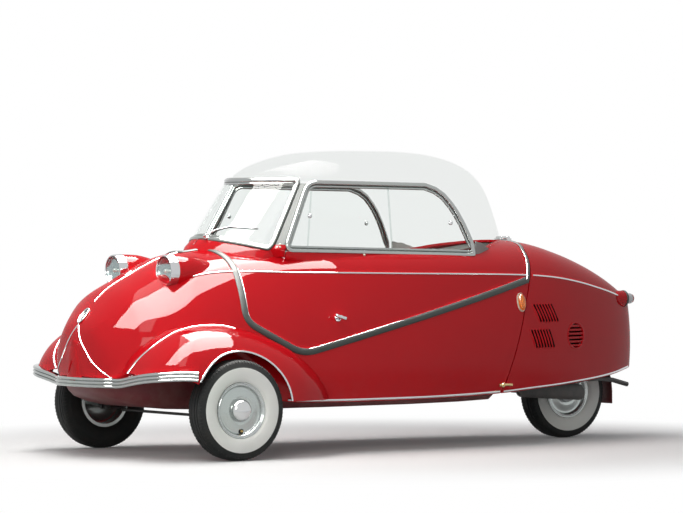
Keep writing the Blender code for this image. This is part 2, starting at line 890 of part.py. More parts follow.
def door_outline(gap):
    """Left outline of the canopy in (y, z), shrunk by a gap all round."""
    seam = seam_line(-HOOP_WIDTH - gap)
    tail = [point for point in seam if point[1] > DOOR_TAIL_HEIGHT]
    reach = (DOOR_TAIL_HEIGHT - seam[2][1]) / (seam[3][1] - seam[2][1])
    tail_y = seam[2][0] + (seam[3][0] - seam[2][0]) * reach
    top = ROOF_HEIGHT
    corners = [
        (place(FRONT_SEAM_TOP) + gap, top, 0),
        (place(FRONT_SEAM_TOP) + gap, SCREEN_CORNER_HEIGHT, 0),
        (place(FRONT_SEAM_FOOT) + gap, DOOR_SHOULDER_HEIGHT + gap, DOOR_CORNER_RADIUS),
        (place(DOOR_POINT_PLACE), DOOR_POINT_HEIGHT + gap, DOOR_CORNER_RADIUS),
        (tail_y, DOOR_TAIL_HEIGHT + gap, 0),
    ]
    corners += [(y, z, 0) for y, z in tail]
    corners += [(tail[-1][0], top, 0)]
    return rounded(corners)


def right_outline(gap):
    """Right outline of the canopy in (y, z), above its hinge line."""
    seam = seam_line(-HOOP_WIDTH - gap)
    tail = [point for point in seam if point[1] > HINGE_Z + gap]
    low = HINGE_Z + gap
    reach = (low - seam[3][1]) / (seam[4][1] - seam[3][1])
    low_y = seam[3][0] + (seam[4][0] - seam[3][0]) * reach
    front = place(FRONT_SEAM_TOP) + gap
    return ([(front, ROOF_HEIGHT), (front, low), (low_y, low)] + tail
            + [(tail[-1][0], ROOF_HEIGHT)])


def canopy_region(name, gap):
    """Solid that holds what belongs to the canopy."""
    left = prism(name, door_outline(gap), "X", 0, BODY_HALF_WIDTH + OVERRUN)
    right = prism(name + "_right", right_outline(gap), "X", -BODY_HALF_WIDTH - OVERRUN, SEAM_GAP)
    return as_cutter(join(left, right))


def tail_region(name, gap):
    """Solid that holds what belongs to the tail cover."""
    seam = seam_line(gap)
    rear = along(BODY_SHARES[-1][0]) + OVERRUN
    outline = [(rear, 0), (seam[0][0], 0)] + seam + [(seam[-1][0], ROOF_HEIGHT), (rear, ROOF_HEIGHT)]
    half = BODY_HALF_WIDTH + OVERRUN
    return as_cutter(prism(name, outline, "X", -half, half))


def screen_rim():
    """Closed mid line of the windscreen's frame."""
    corner = SCREEN_CORNER
    half = [(SCREEN_HEAD_HALF, SCREEN_HEAD_HEIGHT), (SCREEN_FOOT_HALF, SCREEN_CORNER_HEIGHT)]
    corners = [(-half[0][0], half[0][1], corner / 2), (-half[1][0], half[1][1], corner)]
    steps = CROWN_STEPS
    for step in range(1, 2 * steps):
        across = (step / steps - 1)
        drop = (SCREEN_FOOT_HEIGHT - SCREEN_CORNER_HEIGHT) * across * across
        corners.append((SCREEN_FOOT_HALF * across, SCREEN_FOOT_HEIGHT - drop, 0))
    corners += [(half[1][0], half[1][1], corner), (half[0][0], half[0][1], corner / 2)]
    for step in range(2 * steps - 1, 0, -1):
        corners.append((SCREEN_HEAD_HALF * (step / steps - 1), SCREEN_HEAD_HEIGHT, 0))
    return rounded(corners)


def side_rim():
    """Closed mid line of a side window's frame in (y, z)."""
    rise = SIDE_HEAD - SIDE_SILL_REAR
    arc = [(along(share), SIDE_SILL_REAR + height * rise, 0) for share, height in SIDE_REAR_SHARES]
    corners = [
        (place(SIDE_FRONT_FOOT), SIDE_SILL_FRONT, SIDE_CORNER),
        (place(SIDE_REAR_FOOT), SIDE_SILL_REAR, 0),
    ]
    corners += arc
    corners += [(place(SIDE_FRONT_HEAD), SIDE_HEAD, SIDE_CORNER)]
    return rounded(corners)


def screen_frame(name, margin=0):
    """Round frame of the windscreen."""
    points = [(x, screen_y(x, z), z) for x, z in screen_rim()]
    return tube(name, points, FRAME_RADIUS + margin, cyclic=True)


def side_frame(name, margin=0):
    """Round frame of the left side window."""
    points = [(side_x(z), y, z) for y, z in side_rim()]
    return tube(name, points, FRAME_RADIUS + margin, cyclic=True)


def make_cutters():
    """Cutters that more than one piece uses."""
    tools = {
        "skin": as_cutter(body_skin("cut_skin", SEAT_GAP)),
        "core": as_cutter(body_core("cut_core", SEAT_GAP)),
        "canopy_space": canopy_region("cut_canopy_space", 0),
        "tail_space": tail_region("cut_tail_space", 0),
        "screen": as_cutter(screen_frame("cut_screen", SEAT_GAP)),
        "side_left": as_cutter(side_frame("cut_side_left", SEAT_GAP)),
    }
    tools["side_right"] = as_cutter(mirrored(tools["side_left"], "cut_side_right"))
    return tools


def make_body(tools):
    """Lower body with nose, cowl, sides and the hoop behind the canopy."""
    body = body_skin("body_shell")
    boolean(body, tools["canopy_space"])
    boolean(body, tools["tail_space"])
    keep_largest(body)
    finish(body, "red_paint")


def make_tail(tools):
    """Tail cover, one shell over the engine and rear wheel."""
    cover = body_skin("tail_cover")
    region = tail_region("cut_tail_region", SEAM_GAP)
    boolean(cover, region, "INTERSECT")
    keep_largest(cover)
    finish(cover, "red_paint")


def make_canopy_panel(tools):
    """Painted part of the canopy: left door side, cowl, right shoulder and rear deck."""
    panel = body_skin("canopy_panel")
    boolean(panel, canopy_region("cut_canopy_region", SEAM_GAP), "INTERSECT")
    plan = [(share * DOME_HALF_WIDTH, along(rear)) for share, rear in OPENING_SHARES]
    plan += [(-x, y) for x, y in reversed(plan[1:-1])]
    opening = as_cutter(prism("cut_opening", plan, "Z", DOOR_TAIL_HEIGHT, ROOF_HEIGHT))
    boolean(panel, opening)
    for tool in ("screen", "side_left", "side_right"):
        boolean(panel, tools[tool])
    keep_largest(panel)
    finish(panel, "red_paint")


def scuttle_band(name, margin=0):
    """Upright band that follows the foot of the windscreen, grown by a margin."""
    steps = 2 * CROWN_STEPS
    half = SCUTTLE_WALL / 2 + margin
    rings = []
    for step in range(steps + 1):
        across = 2 * step / steps - 1
        x = (SCREEN_FOOT_HALF + margin) * across
        drop = (SCREEN_FOOT_HEIGHT - SCREEN_CORNER_HEIGHT) * across * across
        top = SCREEN_FOOT_HEIGHT - drop + margin
        foot = top - OVERRUN
        rings.append([
            (x, screen_y(x, top) - half, top),
            (x, screen_y(x, foot) - half, foot),
            (x, screen_y(x, foot) + half, foot),
            (x, screen_y(x, top) + half, top),
        ])
    return tidy(loft(name, rings, closed=True))


def make_scuttle(tools):
    """Raised band of the cowl that carries the foot of the windscreen."""
    band = scuttle_band("scuttle")
    boolean(band, tools["skin"])
    boolean(band, tools["screen"])
    keep_largest(band)
    finish(band, "red_paint")
    tools["scuttle"] = as_cutter(scuttle_band("cut_scuttle", SEAT_GAP))


def make_frames(tools):
    """Windscreen frame and the two side window frames with their pillars."""
    finish(screen_frame("windscreen_frame"), "aluminium")
    left = side_frame("side_frame_left")
    right = mirrored(left, "side_frame_right")
    finish(left, "aluminium")
    finish(right, "aluminium")
    rings = []
    steps = CROWN_STEPS
    head = SCREEN_HEAD_HEIGHT - PILLAR_HEAD_DROP
    for step in range(steps + 1):
        share = step / steps
        z = PILLAR_FOOT + (head - PILLAR_FOOT) * share
        x = SCREEN_FOOT_HALF + (SCREEN_HEAD_HALF - SCREEN_FOOT_HALF) * share
        front = Vector((x, screen_y(x, z), z))
        lean = (z - SIDE_SILL_FRONT) / (SIDE_HEAD - SIDE_SILL_FRONT)
        rear_y = SIDE_FRONT_FOOT + (SIDE_FRONT_HEAD - SIDE_FRONT_FOOT) * lean
        rear = Vector((side_x(z), place(rear_y), z))
        across = (rear - front).cross(Vector((0, 0, 1))).normalized() * PILLAR_WALL / 2
        rings.append([front + across, rear + across, rear - across, front - across])
    pillar = tidy(loft("pillar_left", rings, closed=True))
    for tool in ("screen", "side_left", "skin", "scuttle"):
        boolean(pillar, tools[tool])
    keep_largest(pillar)
    finish(mirrored(pillar, "pillar_right"), "red_paint")
    finish(pillar, "red_paint")


def make_glass(tools):
    """Windscreen pane and the two side panes."""
    steps = 2 * CROWN_STEPS
    rings = []
    reach = SCREEN_FOOT_HALF + OVERRUN
    low, high = SCREEN_CORNER_HEIGHT - OVERRUN, SCREEN_HEAD_HEIGHT + OVERRUN
    for step in range(steps + 1):
        x = reach * (2 * step / steps - 1)
        rings.append([
            (x, screen_y(x, low) - GLASS / 2, low),
            (x, screen_y(x, low) + GLASS / 2, low),
            (x, screen_y(x, high) + GLASS / 2, high),
            (x, screen_y(x, high) - GLASS / 2, high),
        ])
    pane = tidy(loft("windscreen_glass", rings, closed=True))
    outline = screen_rim()
    depth = place(0) - OVERRUN
    edge = as_cutter(prism("cut_screen_edge", outline, "Y", depth, place(SIDE_REAR_FOOT)))
    boolean(pane, edge, "INTERSECT")
    boolean(pane, tools["screen"])
    keep_largest(pane)
    finish(pane, "clear_glass")

    low, high = SIDE_SILL_REAR - OVERRUN, SIDE_HEAD + OVERRUN
    front, rear = place(SIDE_FRONT_FOOT) - OVERRUN, place(SIDE_REAR_FOOT) + OVERRUN
    slab = [
        [(side_x(low) - GLASS / 2, y, low), (side_x(low) + GLASS / 2, y, low),
         (side_x(high) + GLASS / 2, y, high), (side_x(high) - GLASS / 2, y, high)]
        for y in (front, rear)
    ]
    pane = tidy(loft("side_glass_left", slab, closed=True))
    edge = as_cutter(prism("cut_side_edge", side_rim(), "X", 0, SIDE_FOOT_X + OVERRUN))
    boolean(pane, edge, "INTERSECT")
    boolean(pane, tools["side_left"])
    keep_largest(pane)
    finish(mirrored(pane, "side_glass_right"), "clear_glass")
    finish(pane, "clear_glass")


def make_dome(tools):
    """Clear roof dome, seated on the frames and on the rear of the canopy."""
    spans = (len(DOME_SHARES) - 1) * SPAN_STEPS
    rings = [dome_ring(step / spans) for step in range(spans + 1)]
    dome = shell(loft("roof_dome", rings, caps=False), DOME_WALL)
    for tool in ("skin", "screen", "side_left", "side_right"):
        boolean(dome, tools[tool])
    window = as_cutter(prism("cut_window", side_rim(), "X", DOME_WINDOW_X, DOME_HALF_WIDTH + OVERRUN))
    boolean(dome, window)
    boolean(dome, as_cutter(mirrored(window, "cut_window_right")))
    keep_largest(dome)
    finish(dome, "clear_glass")


def fender_rings(margin=0):
    """Rings of the left fender, grown and closed through its inner corner for a cutter."""
    rings = []
    places = fine_places(FENDER_SHARES, SPAN_STEPS)
    for share in places:
        section = fender_section(share, margin)
        y = along(share)
        if share == places[0]:
            y -= margin
        ring = [(x, y, z) for x, z in section]
        if margin:
            low = section[0][1] - OVERRUN
            ring = [(section[0][0], y, low)] + ring + [(section[-1][0], y, low)]
        rings.append(ring)
    return rings


def make_fenders(tools):
    """Front fenders with their wheel arches."""
    core = tidy(loft("cut_fender", fender_rings(SEAT_GAP), closed=True))
    tools["fender_left"] = as_cutter(core)
    tools["fender_right"] = as_cutter(mirrored(core, "cut_fender_right"))
    fender = shell(loft("fender_left", fender_rings()), FENDER_WALL)
    arch = lathe("cut_arch", [
        (0, FENDER_HALF_WIDTH + OVERRUN),
        (ARCH_RADIUS, FENDER_HALF_WIDTH + OVERRUN),
        (ARCH_RADIUS, ARCH_INNER),
        (0, ARCH_INNER),
    ], wheel_matrix(0, FRONT_AXLE_Y, 1))
    boolean(fender, as_cutter(arch))
    boolean(fender, tools["core"])
    boolean(fender, canopy_region("cut_canopy_sweep", -SEAM_GAP))
    keep_largest(fender)
    finish(mirrored(fender, "fender_right"), "red_paint")
    finish(fender, "red_paint")


def wheel_matrix(x, y, side):
    """Matrix that lays a turned shape's axis along X, its top end outwards."""
    turn = Matrix(((0, 0, side), (0, 1, 0), (-side, 0, 0))).to_4x4()
    return Matrix.Translation((x, y, TYRE_RADIUS)) @ turn


def make_wheel(name, x, y, side, through):
    """Tyre and rim, the rim bored through or from its inner side for the axle."""
    matrix = wheel_matrix(x, y, side)
    outer = [(BEAD_RADIUS + SEAT_GAP + (TYRE_RADIUS - BEAD_RADIUS - SEAT_GAP) * rise,
              TYRE_WIDTH / 2 * wide) for rise, wide in TYRE_SHARES]
    profile = outer + [(radius, -half) for radius, half in reversed(outer)]
    tyre = lathe("tyre_" + name, profile, matrix, closed=True)
    finish(tyre, "rubber")

    bore = AXLE_RADIUS + PIN_GAP
    back = [
        (RIM_RADIUS, RIM_HALF_WIDTH),
        (RIM_RADIUS, BEAD_HALF_WIDTH),
        (BEAD_RADIUS, BEAD_HALF_WIDTH),
        (BEAD_RADIUS, -BEAD_HALF_WIDTH),
        (RIM_RADIUS, -BEAD_HALF_WIDTH),
        (RIM_RADIUS, -RIM_HALF_WIDTH),
        (RIM_WELL_RADIUS, -RIM_HALF_WIDTH),
        (RIM_WELL_RADIUS, BEAD_HALF_WIDTH / 2 - DISC_THICKNESS),
        (HUB_RADIUS, BEAD_HALF_WIDTH / 2),
        (HUB_BOSS_RADIUS, BEAD_HALF_WIDTH / 2),
        (HUB_BOSS_RADIUS, -HUB_BOSS_REACH),
        (bore, -HUB_BOSS_REACH),
    ]
    face = [
        (HUB_RADIUS, BEAD_HALF_WIDTH - DISC_THICKNESS),
        (DISC_FLAT_RADIUS, BEAD_HALF_WIDTH - DISC_DISH),
        (RIM_WELL_RADIUS - DISC_THICKNESS, BEAD_HALF_WIDTH / 2 + DISC_THICKNESS),
        (RIM_WELL_RADIUS, BEAD_HALF_WIDTH - DISC_THICKNESS),
    ]
    if through:
        end = HUB_DOME - DISC_THICKNESS
        profile = back + [(bore, end), (HUB_BOSS_RADIUS, end)] + face
    else:
        turns = [math.pi / 2 * share for share in HUB_FACE_SHARES]
        crown = [(0, HUB_DOME)]
        crown += [(HUB_RADIUS * math.sin(turn), HUB_DOME - HUB_CROWN * (1 - math.cos(turn)))
                  for turn in turns]
        end = AXLE_REACH + PIN_GAP
        profile = crown + face + back + [(bore, end), (0, end)]
    rim = lathe("rim_" + name, profile, matrix, closed=through)
    finish(rim, "chrome")


def make_knuckle(name, side):
    """Knuckle with stub axle and steering arm, turning about a boss on the suspension arm."""
    x = side * (FRONT_TRACK / 2 - KINGPIN_INSET)
    y, z = FRONT_AXLE_Y, TYRE_RADIUS
    half = BOSS_HEIGHT / 2
    low = half + PIN_GAP
    high = low + LUG_HEIGHT
    knuckle = rod("knuckle_" + name, (x, y, z + low), (x, y, z + high), BOSS_RADIUS)
    lower = rod("lower_lug", (x, y, z - high), (x, y, z - low), BOSS_RADIUS)
    inner = BOSS_RADIUS + PIN_GAP * 2
    spans = sorted((x + side * inner, x + side * (inner + YOKE_THICKNESS)))
    yoke = box("yoke", (spans[0], y - YOKE_WIDTH / 2, z - high), (spans[1], y + YOKE_WIDTH / 2, z + high))
    bridges = []
    for level in (1, -1):
        levels = sorted((z + level * (low + PIN_GAP), z + level * (high - PIN_GAP)))
        reach = sorted((x, x + side * (inner + YOKE_THICKNESS / 2)))
        bridges.append(box("bridge", (reach[0], y - BOSS_RADIUS / 2, levels[0]),
                           (reach[1], y + BOSS_RADIUS / 2, levels[1])))
    stub = rod("stub", (x + side * (inner + YOKE_THICKNESS / 2), y, z),
               (side * (FRONT_TRACK / 2 + AXLE_REACH), y, z), AXLE_RADIUS)
    arm_z = z - (low + high) / 2
    arm = rod("arm", (x, y, arm_z), (x, y + STEERING_ARM_LENGTH + ROD_EYE_RADIUS, arm_z),
              STEERING_ARM_RADIUS, THIN_SIDES)
    join(knuckle, yoke, bridges[0], lower, bridges[1], stub, arm)
    finish(knuckle, "black_metal")


def make_steering_links(tools):
    """Suspension arms with their bosses and the track rod between the steering arms."""
    x = FRONT_TRACK / 2 - KINGPIN_INSET
    y, z = FRONT_AXLE_Y, TYRE_RADIUS
    for name, side in (("left", 1), ("right", -1)):
        boss = rod("suspension_arm_" + name, (side * x, y, z - BOSS_HEIGHT / 2),
                   (side * x, y, z + BOSS_HEIGHT / 2), BOSS_RADIUS)
        arm = tube("arm", [
            (side * (x - BOSS_RADIUS / 2), y, z),
            (side * (x - ARM_STRAIGHT), y, z),
            (side * ARM_ROOT_X, y, z + SUSPENSION_ARM_RISE),
        ], SUSPENSION_ARM_RADIUS)
        join(boss, arm)
        boolean(boss, tools["pan"])
        keep_largest(boss)
        finish(boss, "black_metal")
    half = BOSS_HEIGHT / 2 + PIN_GAP + LUG_HEIGHT / 2
    top = z - half - STEERING_ARM_RADIUS - PIN_GAP
    rear = y + STEERING_ARM_LENGTH
    middle = top - ROD_EYE_HEIGHT / 2
    bar = rod("track_rod", (-x, rear, middle), (x, rear, middle), TRACK_ROD_RADIUS,
              THIN_SIDES)
    eyes = [rod("eye", (side * x, rear, top - ROD_EYE_HEIGHT), (side * x, rear, top), ROD_EYE_RADIUS)
            for side in (1, -1)]
    join(bar, *eyes)
    finish(bar, "black_metal")


def pan_rings():
    """Rings of the belly pan, with a flange on each side that meets the body wall."""
    rings = []
    for share in fine_places(PAN_SHARES, SPAN_STEPS):
        row = row_at(PAN_SHARES, share)
        body = row_at(BODY_SHARES, share)
        low_x = body[1] * BODY_HALF_WIDTH
        top = body[2] * CROWN_HEIGHT + PAN_FLANGE_RISE
        root = max(low_x - WALL - PAN_INSET, low_x / 2)
        corner, bottom = row[1] * BODY_HALF_WIDTH, row[2] * CROWN_HEIGHT
        turn = (top - bottom) / 3
        half = [
            (low_x + PAN_INSET, top),
            (root, top),
            (corner + (root - corner) / 2, bottom + turn),
            (corner, bottom),
        ]
        ring = [(x, along(share), z) for x, z in half]
        ring += [(-x, along(share), z) for x, z in reversed(half)]
        rings.append(ring)
    return rings


def make_pan(tools):
    """Belly pan and floor, one pressed tub inside the body's low edges."""
    thick = shell(loft("cut_pan", pan_rings(), caps=False), PAN_WALL, SEAT_GAP)
    tools["pan"] = as_cutter(thick)
    pan = shell(loft("floor_pan", pan_rings(), caps=False), PAN_WALL)
    skirt = shell(loft("cut_skirt", body_rings(foot=OVERRUN)), WALL, SEAT_GAP)
    tools["skirt"] = as_cutter(skirt)
    boolean(pan, skirt)
    boolean(pan, tail_region("cut_pan_end", -BULKHEAD_SETBACK))
    boolean(pan, tools["skin"])
    keep_largest(pan)
    finish(pan, "dark_red_paint")


def make_moulding(tools):
    """Ribbed front moulding along the nose and the fronts of the fenders."""
    count = len(MOULDING_SHARES)
    numbered = [(index / (count - 1),) + row for index, row in enumerate(MOULDING_SHARES)]
    spans = (count - 1) * SPAN_STEPS
    half = []
    for step in range(spans + 1):
        row = row_at(numbered, step / spans)
        half.append(Vector((row[1] * FENDER_HALF_WIDTH, along(row[2]), row[3] * FENDER_HEIGHT)))
    line = [Vector((-point.x, point.y, point.z)) for point in reversed(half[1:])] + half
    rings = []
    last = len(line) - 1
    for index, point in enumerate(line):
        run = (line[min(index + 1, last)] - line[max(index - 1, 0)]).normalized()
        out = run.cross(Vector((0, 0, 1))).normalized() * MOULDING_DEPTH / 2
        up = Vector((0, 0, MOULDING_HEIGHT / 2))
        rings.append([point - out + up, point + out / 2 + up, point + out, point + out / 2 - up,
                      point - out - up])
    strip = tidy(loft("front_moulding", rings, closed=True))
    for tool in ("core", "fender_left", "fender_right", "pan"):
        boolean(strip, tools[tool])
    keep_largest(strip)
    finish(strip, "aluminium")


def lamp_matrix(x, y, z, facing):
    """Matrix that lays a turned shape's axis along Y, its top end facing front or rear."""
    turn = Matrix(((1, 0, 0), (0, 0, facing), (0, -facing, 0))).to_4x4()
    return Matrix.Translation((x, y, z)) @ turn


def make_lamps(tools):
    """Headlamp shells and lenses, turn lamps and tail lamps."""
    for name, side in (("left", 1), ("right", -1)):
        matrix = lamp_matrix(side * HEADLAMP_X, place(HEADLAMP_PLACE), HEADLAMP_HEIGHT, -1)
        profile = [(0, 0)] + [(radius * HEADLAMP_RADIUS, -depth * HEADLAMP_LENGTH)
                              for depth, radius in POD_SHARES]
        profile += [(0, -HEADLAMP_LENGTH)]
        pod = lathe("headlamp_" + name, profile, matrix, steps=WHEEL_STEPS)
        boolean(pod, tools["core"])
        keep_largest(pod)
        finish(pod, "red_paint")
        turns = [math.pi / 2 * step / LENS_STEPS for step in range(1, LENS_STEPS + 1)]
        profile = [(0, LENS_DOME + SEAT_GAP)]
        profile += [(LENS_RADIUS * math.sin(turn), LENS_DOME * math.cos(turn) + SEAT_GAP)
                    for turn in turns]
        profile += [(0, SEAT_GAP)]
        lens = lathe("headlamp_lens_" + name, profile, matrix, steps=WHEEL_STEPS)
        boolean(lens, tools["core"])
        keep_largest(lens)
        finish(lens, "clear_glass")

        seat = tail_place(TAIL_LAMP_X, TAIL_LAMP_HEIGHT) + TAIL_LAMP_STAND
        matrix = lamp_matrix(side * TAIL_LAMP_X, place(seat), TAIL_LAMP_HEIGHT, 1)
        end = TAIL_LAMP_REACH
        profile = [
            (0, end),
            (TAIL_LAMP_RADIUS / 2, end - TAIL_LAMP_RADIUS / 8),
            (TAIL_LAMP_RADIUS, end - TAIL_LAMP_RADIUS / 2),
            (TAIL_LAMP_RADIUS, TAIL_LAMP_RING_DEPTH),
            (TAIL_LAMP_RING, TAIL_LAMP_RING_DEPTH),
            (TAIL_LAMP_RING, -TAIL_LAMP_REACH),
            (0, -TAIL_LAMP_REACH),
        ]
        lamp = lathe("tail_lamp_" + name, profile, matrix, steps=LAMP_STEPS)
        boolean(lamp, tools["core"])
        keep_largest(lamp)
        finish(lamp, "black_metal")

    bpy.ops.mesh.primitive_uv_sphere_add(segments=DRUM_SIDES, ring_count=DRUM_SIDES // 2, radius=1)
    lamp = bpy.context.active_object
    lamp.name = "turn_lamp_left"
    spot = (skin_x(TURN_LAMP_PLACE, TURN_LAMP_HEIGHT), place(TURN_LAMP_PLACE), TURN_LAMP_HEIGHT)
    lamp.data.transform(Matrix.Translation(spot) @ Matrix.Diagonal((*TURN_LAMP_SIZE, 1)))
    link(lamp, PARTS)
    tidy(lamp)
    boolean(lamp, tools["core"])
    keep_largest(lamp)
    finish(mirrored(lamp, "turn_lamp_right"), "orange_lens")
    finish(lamp, "orange_lens")


def skin_x(distance, height):
    """Half width of the body's side at a distance behind the front axle and a height."""
    points = body_section(distance / WHEELBASE)
    for low, high in zip(points, points[1:]):
        if low[1] <= height <= high[1]:
            return low[0] + (high[0] - low[0]) * (height - low[1]) / (high[1] - low[1])
    return 0


def tail_place(x, height):
    """Distance behind the front axle at which the tail's skin has a half width at a height."""
    inside, outside = WHEELBASE, BODY_SHARES[-1][0] * WHEELBASE
    for _ in range(BISECTIONS):
        middle = (inside + outside) / 2
        if skin_x(middle, height) > x:
            inside = middle
        else:
            outside = middle
    return inside


def seam_y(height):
    """World Y of the tail seam at a height."""
    line = seam_line(0)
    for low, high in zip(line, line[1:]):
        if height <= high[1]:
            break
    return low[0] + (high[0] - low[0]) * (height - low[1]) / (high[1] - low[1])


def seam_profile(low, high):
    """Tail seam in (y, z) between two heights."""
    line = [(seam_y(low), low)]
    line += [point for point in seam_line(0) if low < point[1] < high]
    return line + [(seam_y(high), high)]


def floor_height(distance):
    """Top of the floor pan at a distance behind the front axle."""
    return row_at(PAN_SHARES, distance / WHEELBASE)[2] * CROWN_HEIGHT


def bulkhead_wall(name, margin=0):
    """Slanted wall along the tail seam, grown front and back by a margin."""
    profile = seam_profile(ENGINE_FOOT - 2 * BULKHEAD_WALL, BULKHEAD_TOP)
    back = [(y - BULKHEAD_SETBACK + margin, z) for y, z in profile]
    front = [(y - BULKHEAD_WALL - 2 * margin, z) for y, z in reversed(back)]
    return prism(name, back + front, "X", -BODY_HALF_WIDTH, BODY_HALF_WIDTH)


def make_bulkhead(tools):
    """Wall behind the rear seat, between the body's sides."""
    wall = bulkhead_wall("rear_bulkhead")
    for tool in ("skin", "skirt", "pan"):
        boolean(wall, tools[tool])
    keep_largest(wall)
    finish(wall, "grey_trim")
    tools["bulkhead"] = as_cutter(bulkhead_wall("cut_bulkhead", SEAT_GAP))


def make_shelf(tools):
    """Shelf inside the rear of the canopy."""
    low = (-BODY_HALF_WIDTH, place(SHELF_FRONT), SHELF_HEIGHT)
    high = (BODY_HALF_WIDTH, seam_y(SHELF_HEIGHT) - HOOP_WIDTH - SEAM_GAP, SHELF_HEIGHT + SHELF_WALL)
    shelf = box("rear_shelf", low, high)
    boolean(shelf, tools["skin"])
    keep_largest(shelf)
    finish(shelf, "grey_trim")


def make_dash(tools):
    """Instrument board across the nose, ahead of the canopy's front edge."""
    low = (-BODY_HALF_WIDTH, place(DASH_PLACE), DASH_FOOT)
    high = (BODY_HALF_WIDTH, place(DASH_PLACE) + DASH_WALL, CROWN_HEIGHT)
    board = box("dashboard", low, high)
    boolean(board, tools["skin"])
    keep_inside(board)
    finish(board, "grey_trim")


def keep_inside(obj):
    """Keep the piece of a cut mesh that is nearest the car's middle line."""
    work = bmesh.new()
    work.from_mesh(obj.data)
    groups = islands(work)
    groups.sort(key=lambda group: min(abs(vert.co.x) + vert.co.z for face in group
                                      for vert in face.verts))
    loose = [face for group in groups[1:] for face in group]
    bmesh.ops.delete(work, geom=loose, context="FACES")
    work.to_mesh(obj.data)
    work.free()
    return obj


def soften(obj, width, segments=2):
    """Round an object's edges."""
    modifier = obj.modifiers.new("round", "BEVEL")
    modifier.width = width
    modifier.segments = segments
    bake(obj)
    return tidy(obj)


def make_seats(tools):
    """Front seat and rear bench, each a cushion and a back on a base."""
    floor = floor_height(SEAT_FRONT)
    top = floor + SEAT_BASE_HEIGHT
    front, rear = place(SEAT_FRONT), place(SEAT_FRONT + SEAT_DEPTH)
    inset = CUSHION_HEIGHT / 4
    half = SEAT_HALF_WIDTH
    foot = floor - PAN_WALL
    base = box("front_seat_base", (-half + inset, front + inset, foot), (half - inset, rear, top))
    boolean(base, tools["pan"])
    keep_largest(base)
    finish(base, "black_metal")
    low = top + SEAT_GAP
    cushion = box("front_seat_cushion", (-half, front, low), (half, rear, low + CUSHION_HEIGHT))
    finish(soften(cushion, inset), "seat_cloth")
    back = box("front_seat_back", (-half, rear + SEAT_GAP, top),
               (half, rear + SEAT_GAP + BACK_THICKNESS, BACK_TOP))
    finish(soften(back, inset), "seat_cloth")

    half = BENCH_HALF_WIDTH
    front = place(BENCH_FRONT)
    rear = front + BENCH_DEPTH
    high = floor_height(BENCH_FRONT) + BENCH_HEIGHT
    low = high - BENCH_HEIGHT - PAN_WALL
    cushion = soften(box("rear_seat_cushion", (-half, front, low), (half, rear, high)), inset)
    boolean(cushion, tools["pan"])
    keep_largest(cushion)
    finish(cushion, "seat_cloth")
    foot = high + SEAT_GAP
    setback = BULKHEAD_SETBACK + BULKHEAD_WALL + SEAT_GAP
    lean = [(y - setback, z) for y, z in seam_profile(foot, BENCH_BACK_TOP)]
    outline = lean + [(y - BACK_THICKNESS, z) for y, z in reversed(lean)]
    back = prism("rear_seat_back", outline, "X", -half, half)
    finish(soften(back, inset), "seat_cloth")


def make_controls(tools):
    """Steering column, handlebar and pedals."""
    foot = Vector((0, place(COLUMN_FOOT), COLUMN_FOOT_HEIGHT))
    head = Vector((0, place(COLUMN_HEAD), COLUMN_HEAD_HEIGHT))
    run = (head - foot).normalized()
    column = rod("steering_column", foot, head, COLUMN_RADIUS)
    low = floor_height(COLUMN_FOOT) - PAN_WALL
    stand = rod("stand", (0, foot.y, low), foot, COLUMN_RADIUS)
    join(column, stand)
    boolean(column, tools["pan"])
    keep_largest(column)
    finish(column, "black_metal")
    start = head + run * PIN_GAP
    end = start + run * BAR_HUB_LENGTH
    hub = rod("steering_bar", start, end, BAR_HUB_RADIUS)
    middle = (start + end) / 2
    up = Vector((1, 0, 0)).cross(run)
    bar = tube("bar", [
        middle + Vector((-BAR_HALF_WIDTH, 0, 0)) - up * BAR_SWEEP,
        middle + Vector((-BAR_HALF_WIDTH / 2, 0, 0)),
        middle + Vector((BAR_HALF_WIDTH / 2, 0, 0)),
        middle + Vector((BAR_HALF_WIDTH, 0, 0)) - up * BAR_SWEEP,
    ], BAR_RADIUS)
    finish(join(hub, bar), "black_metal")

    floor = floor_height(PEDAL_PLACE)
    y = place(PEDAL_PLACE)
    half = PEDAL_PLACES[-1] + PEDAL_SIZE / 2
    low = floor - PAN_WALL
    rack = box("pedals", (-half, y, low), (half, y + PEDAL_BAR, floor + PEDAL_BAR))
    for x in PEDAL_PLACES:
        lever = box("lever", (x - PEDAL_BAR / 4, y + PEDAL_BAR / 4, floor + PEDAL_BAR / 2),
                    (x + PEDAL_BAR / 4, y + PEDAL_BAR * 3 / 4, floor + PEDAL_HEIGHT))
        pad = box("pad", (x - PEDAL_SIZE / 2, y, floor + PEDAL_HEIGHT - PEDAL_SIZE / 2),
                  (x + PEDAL_SIZE / 2, y + PEDAL_BAR, floor + PEDAL_HEIGHT + PEDAL_SIZE / 2))
        join(rack, lever, pad)
    boolean(rack, tools["pan"])
    keep_largest(rack)
    finish(rack, "black_metal")


def subframe(name, margin=0):
    """U-shaped tube that carries the engine behind the bulkhead."""
    z = SUBFRAME_HEIGHT
    front = seam_y(z) - BULKHEAD_SETBACK - BULKHEAD_WALL / 2
    rear = place(ENGINE_REAR) - 2 * SUBFRAME_RADIUS
    return tube(name, [
        (-SUBFRAME_HALF, front, z),
        (-SUBFRAME_HALF, rear, z),
        (SUBFRAME_HALF, rear, z),
        (SUBFRAME_HALF, front, z),
    ], SUBFRAME_RADIUS + margin)


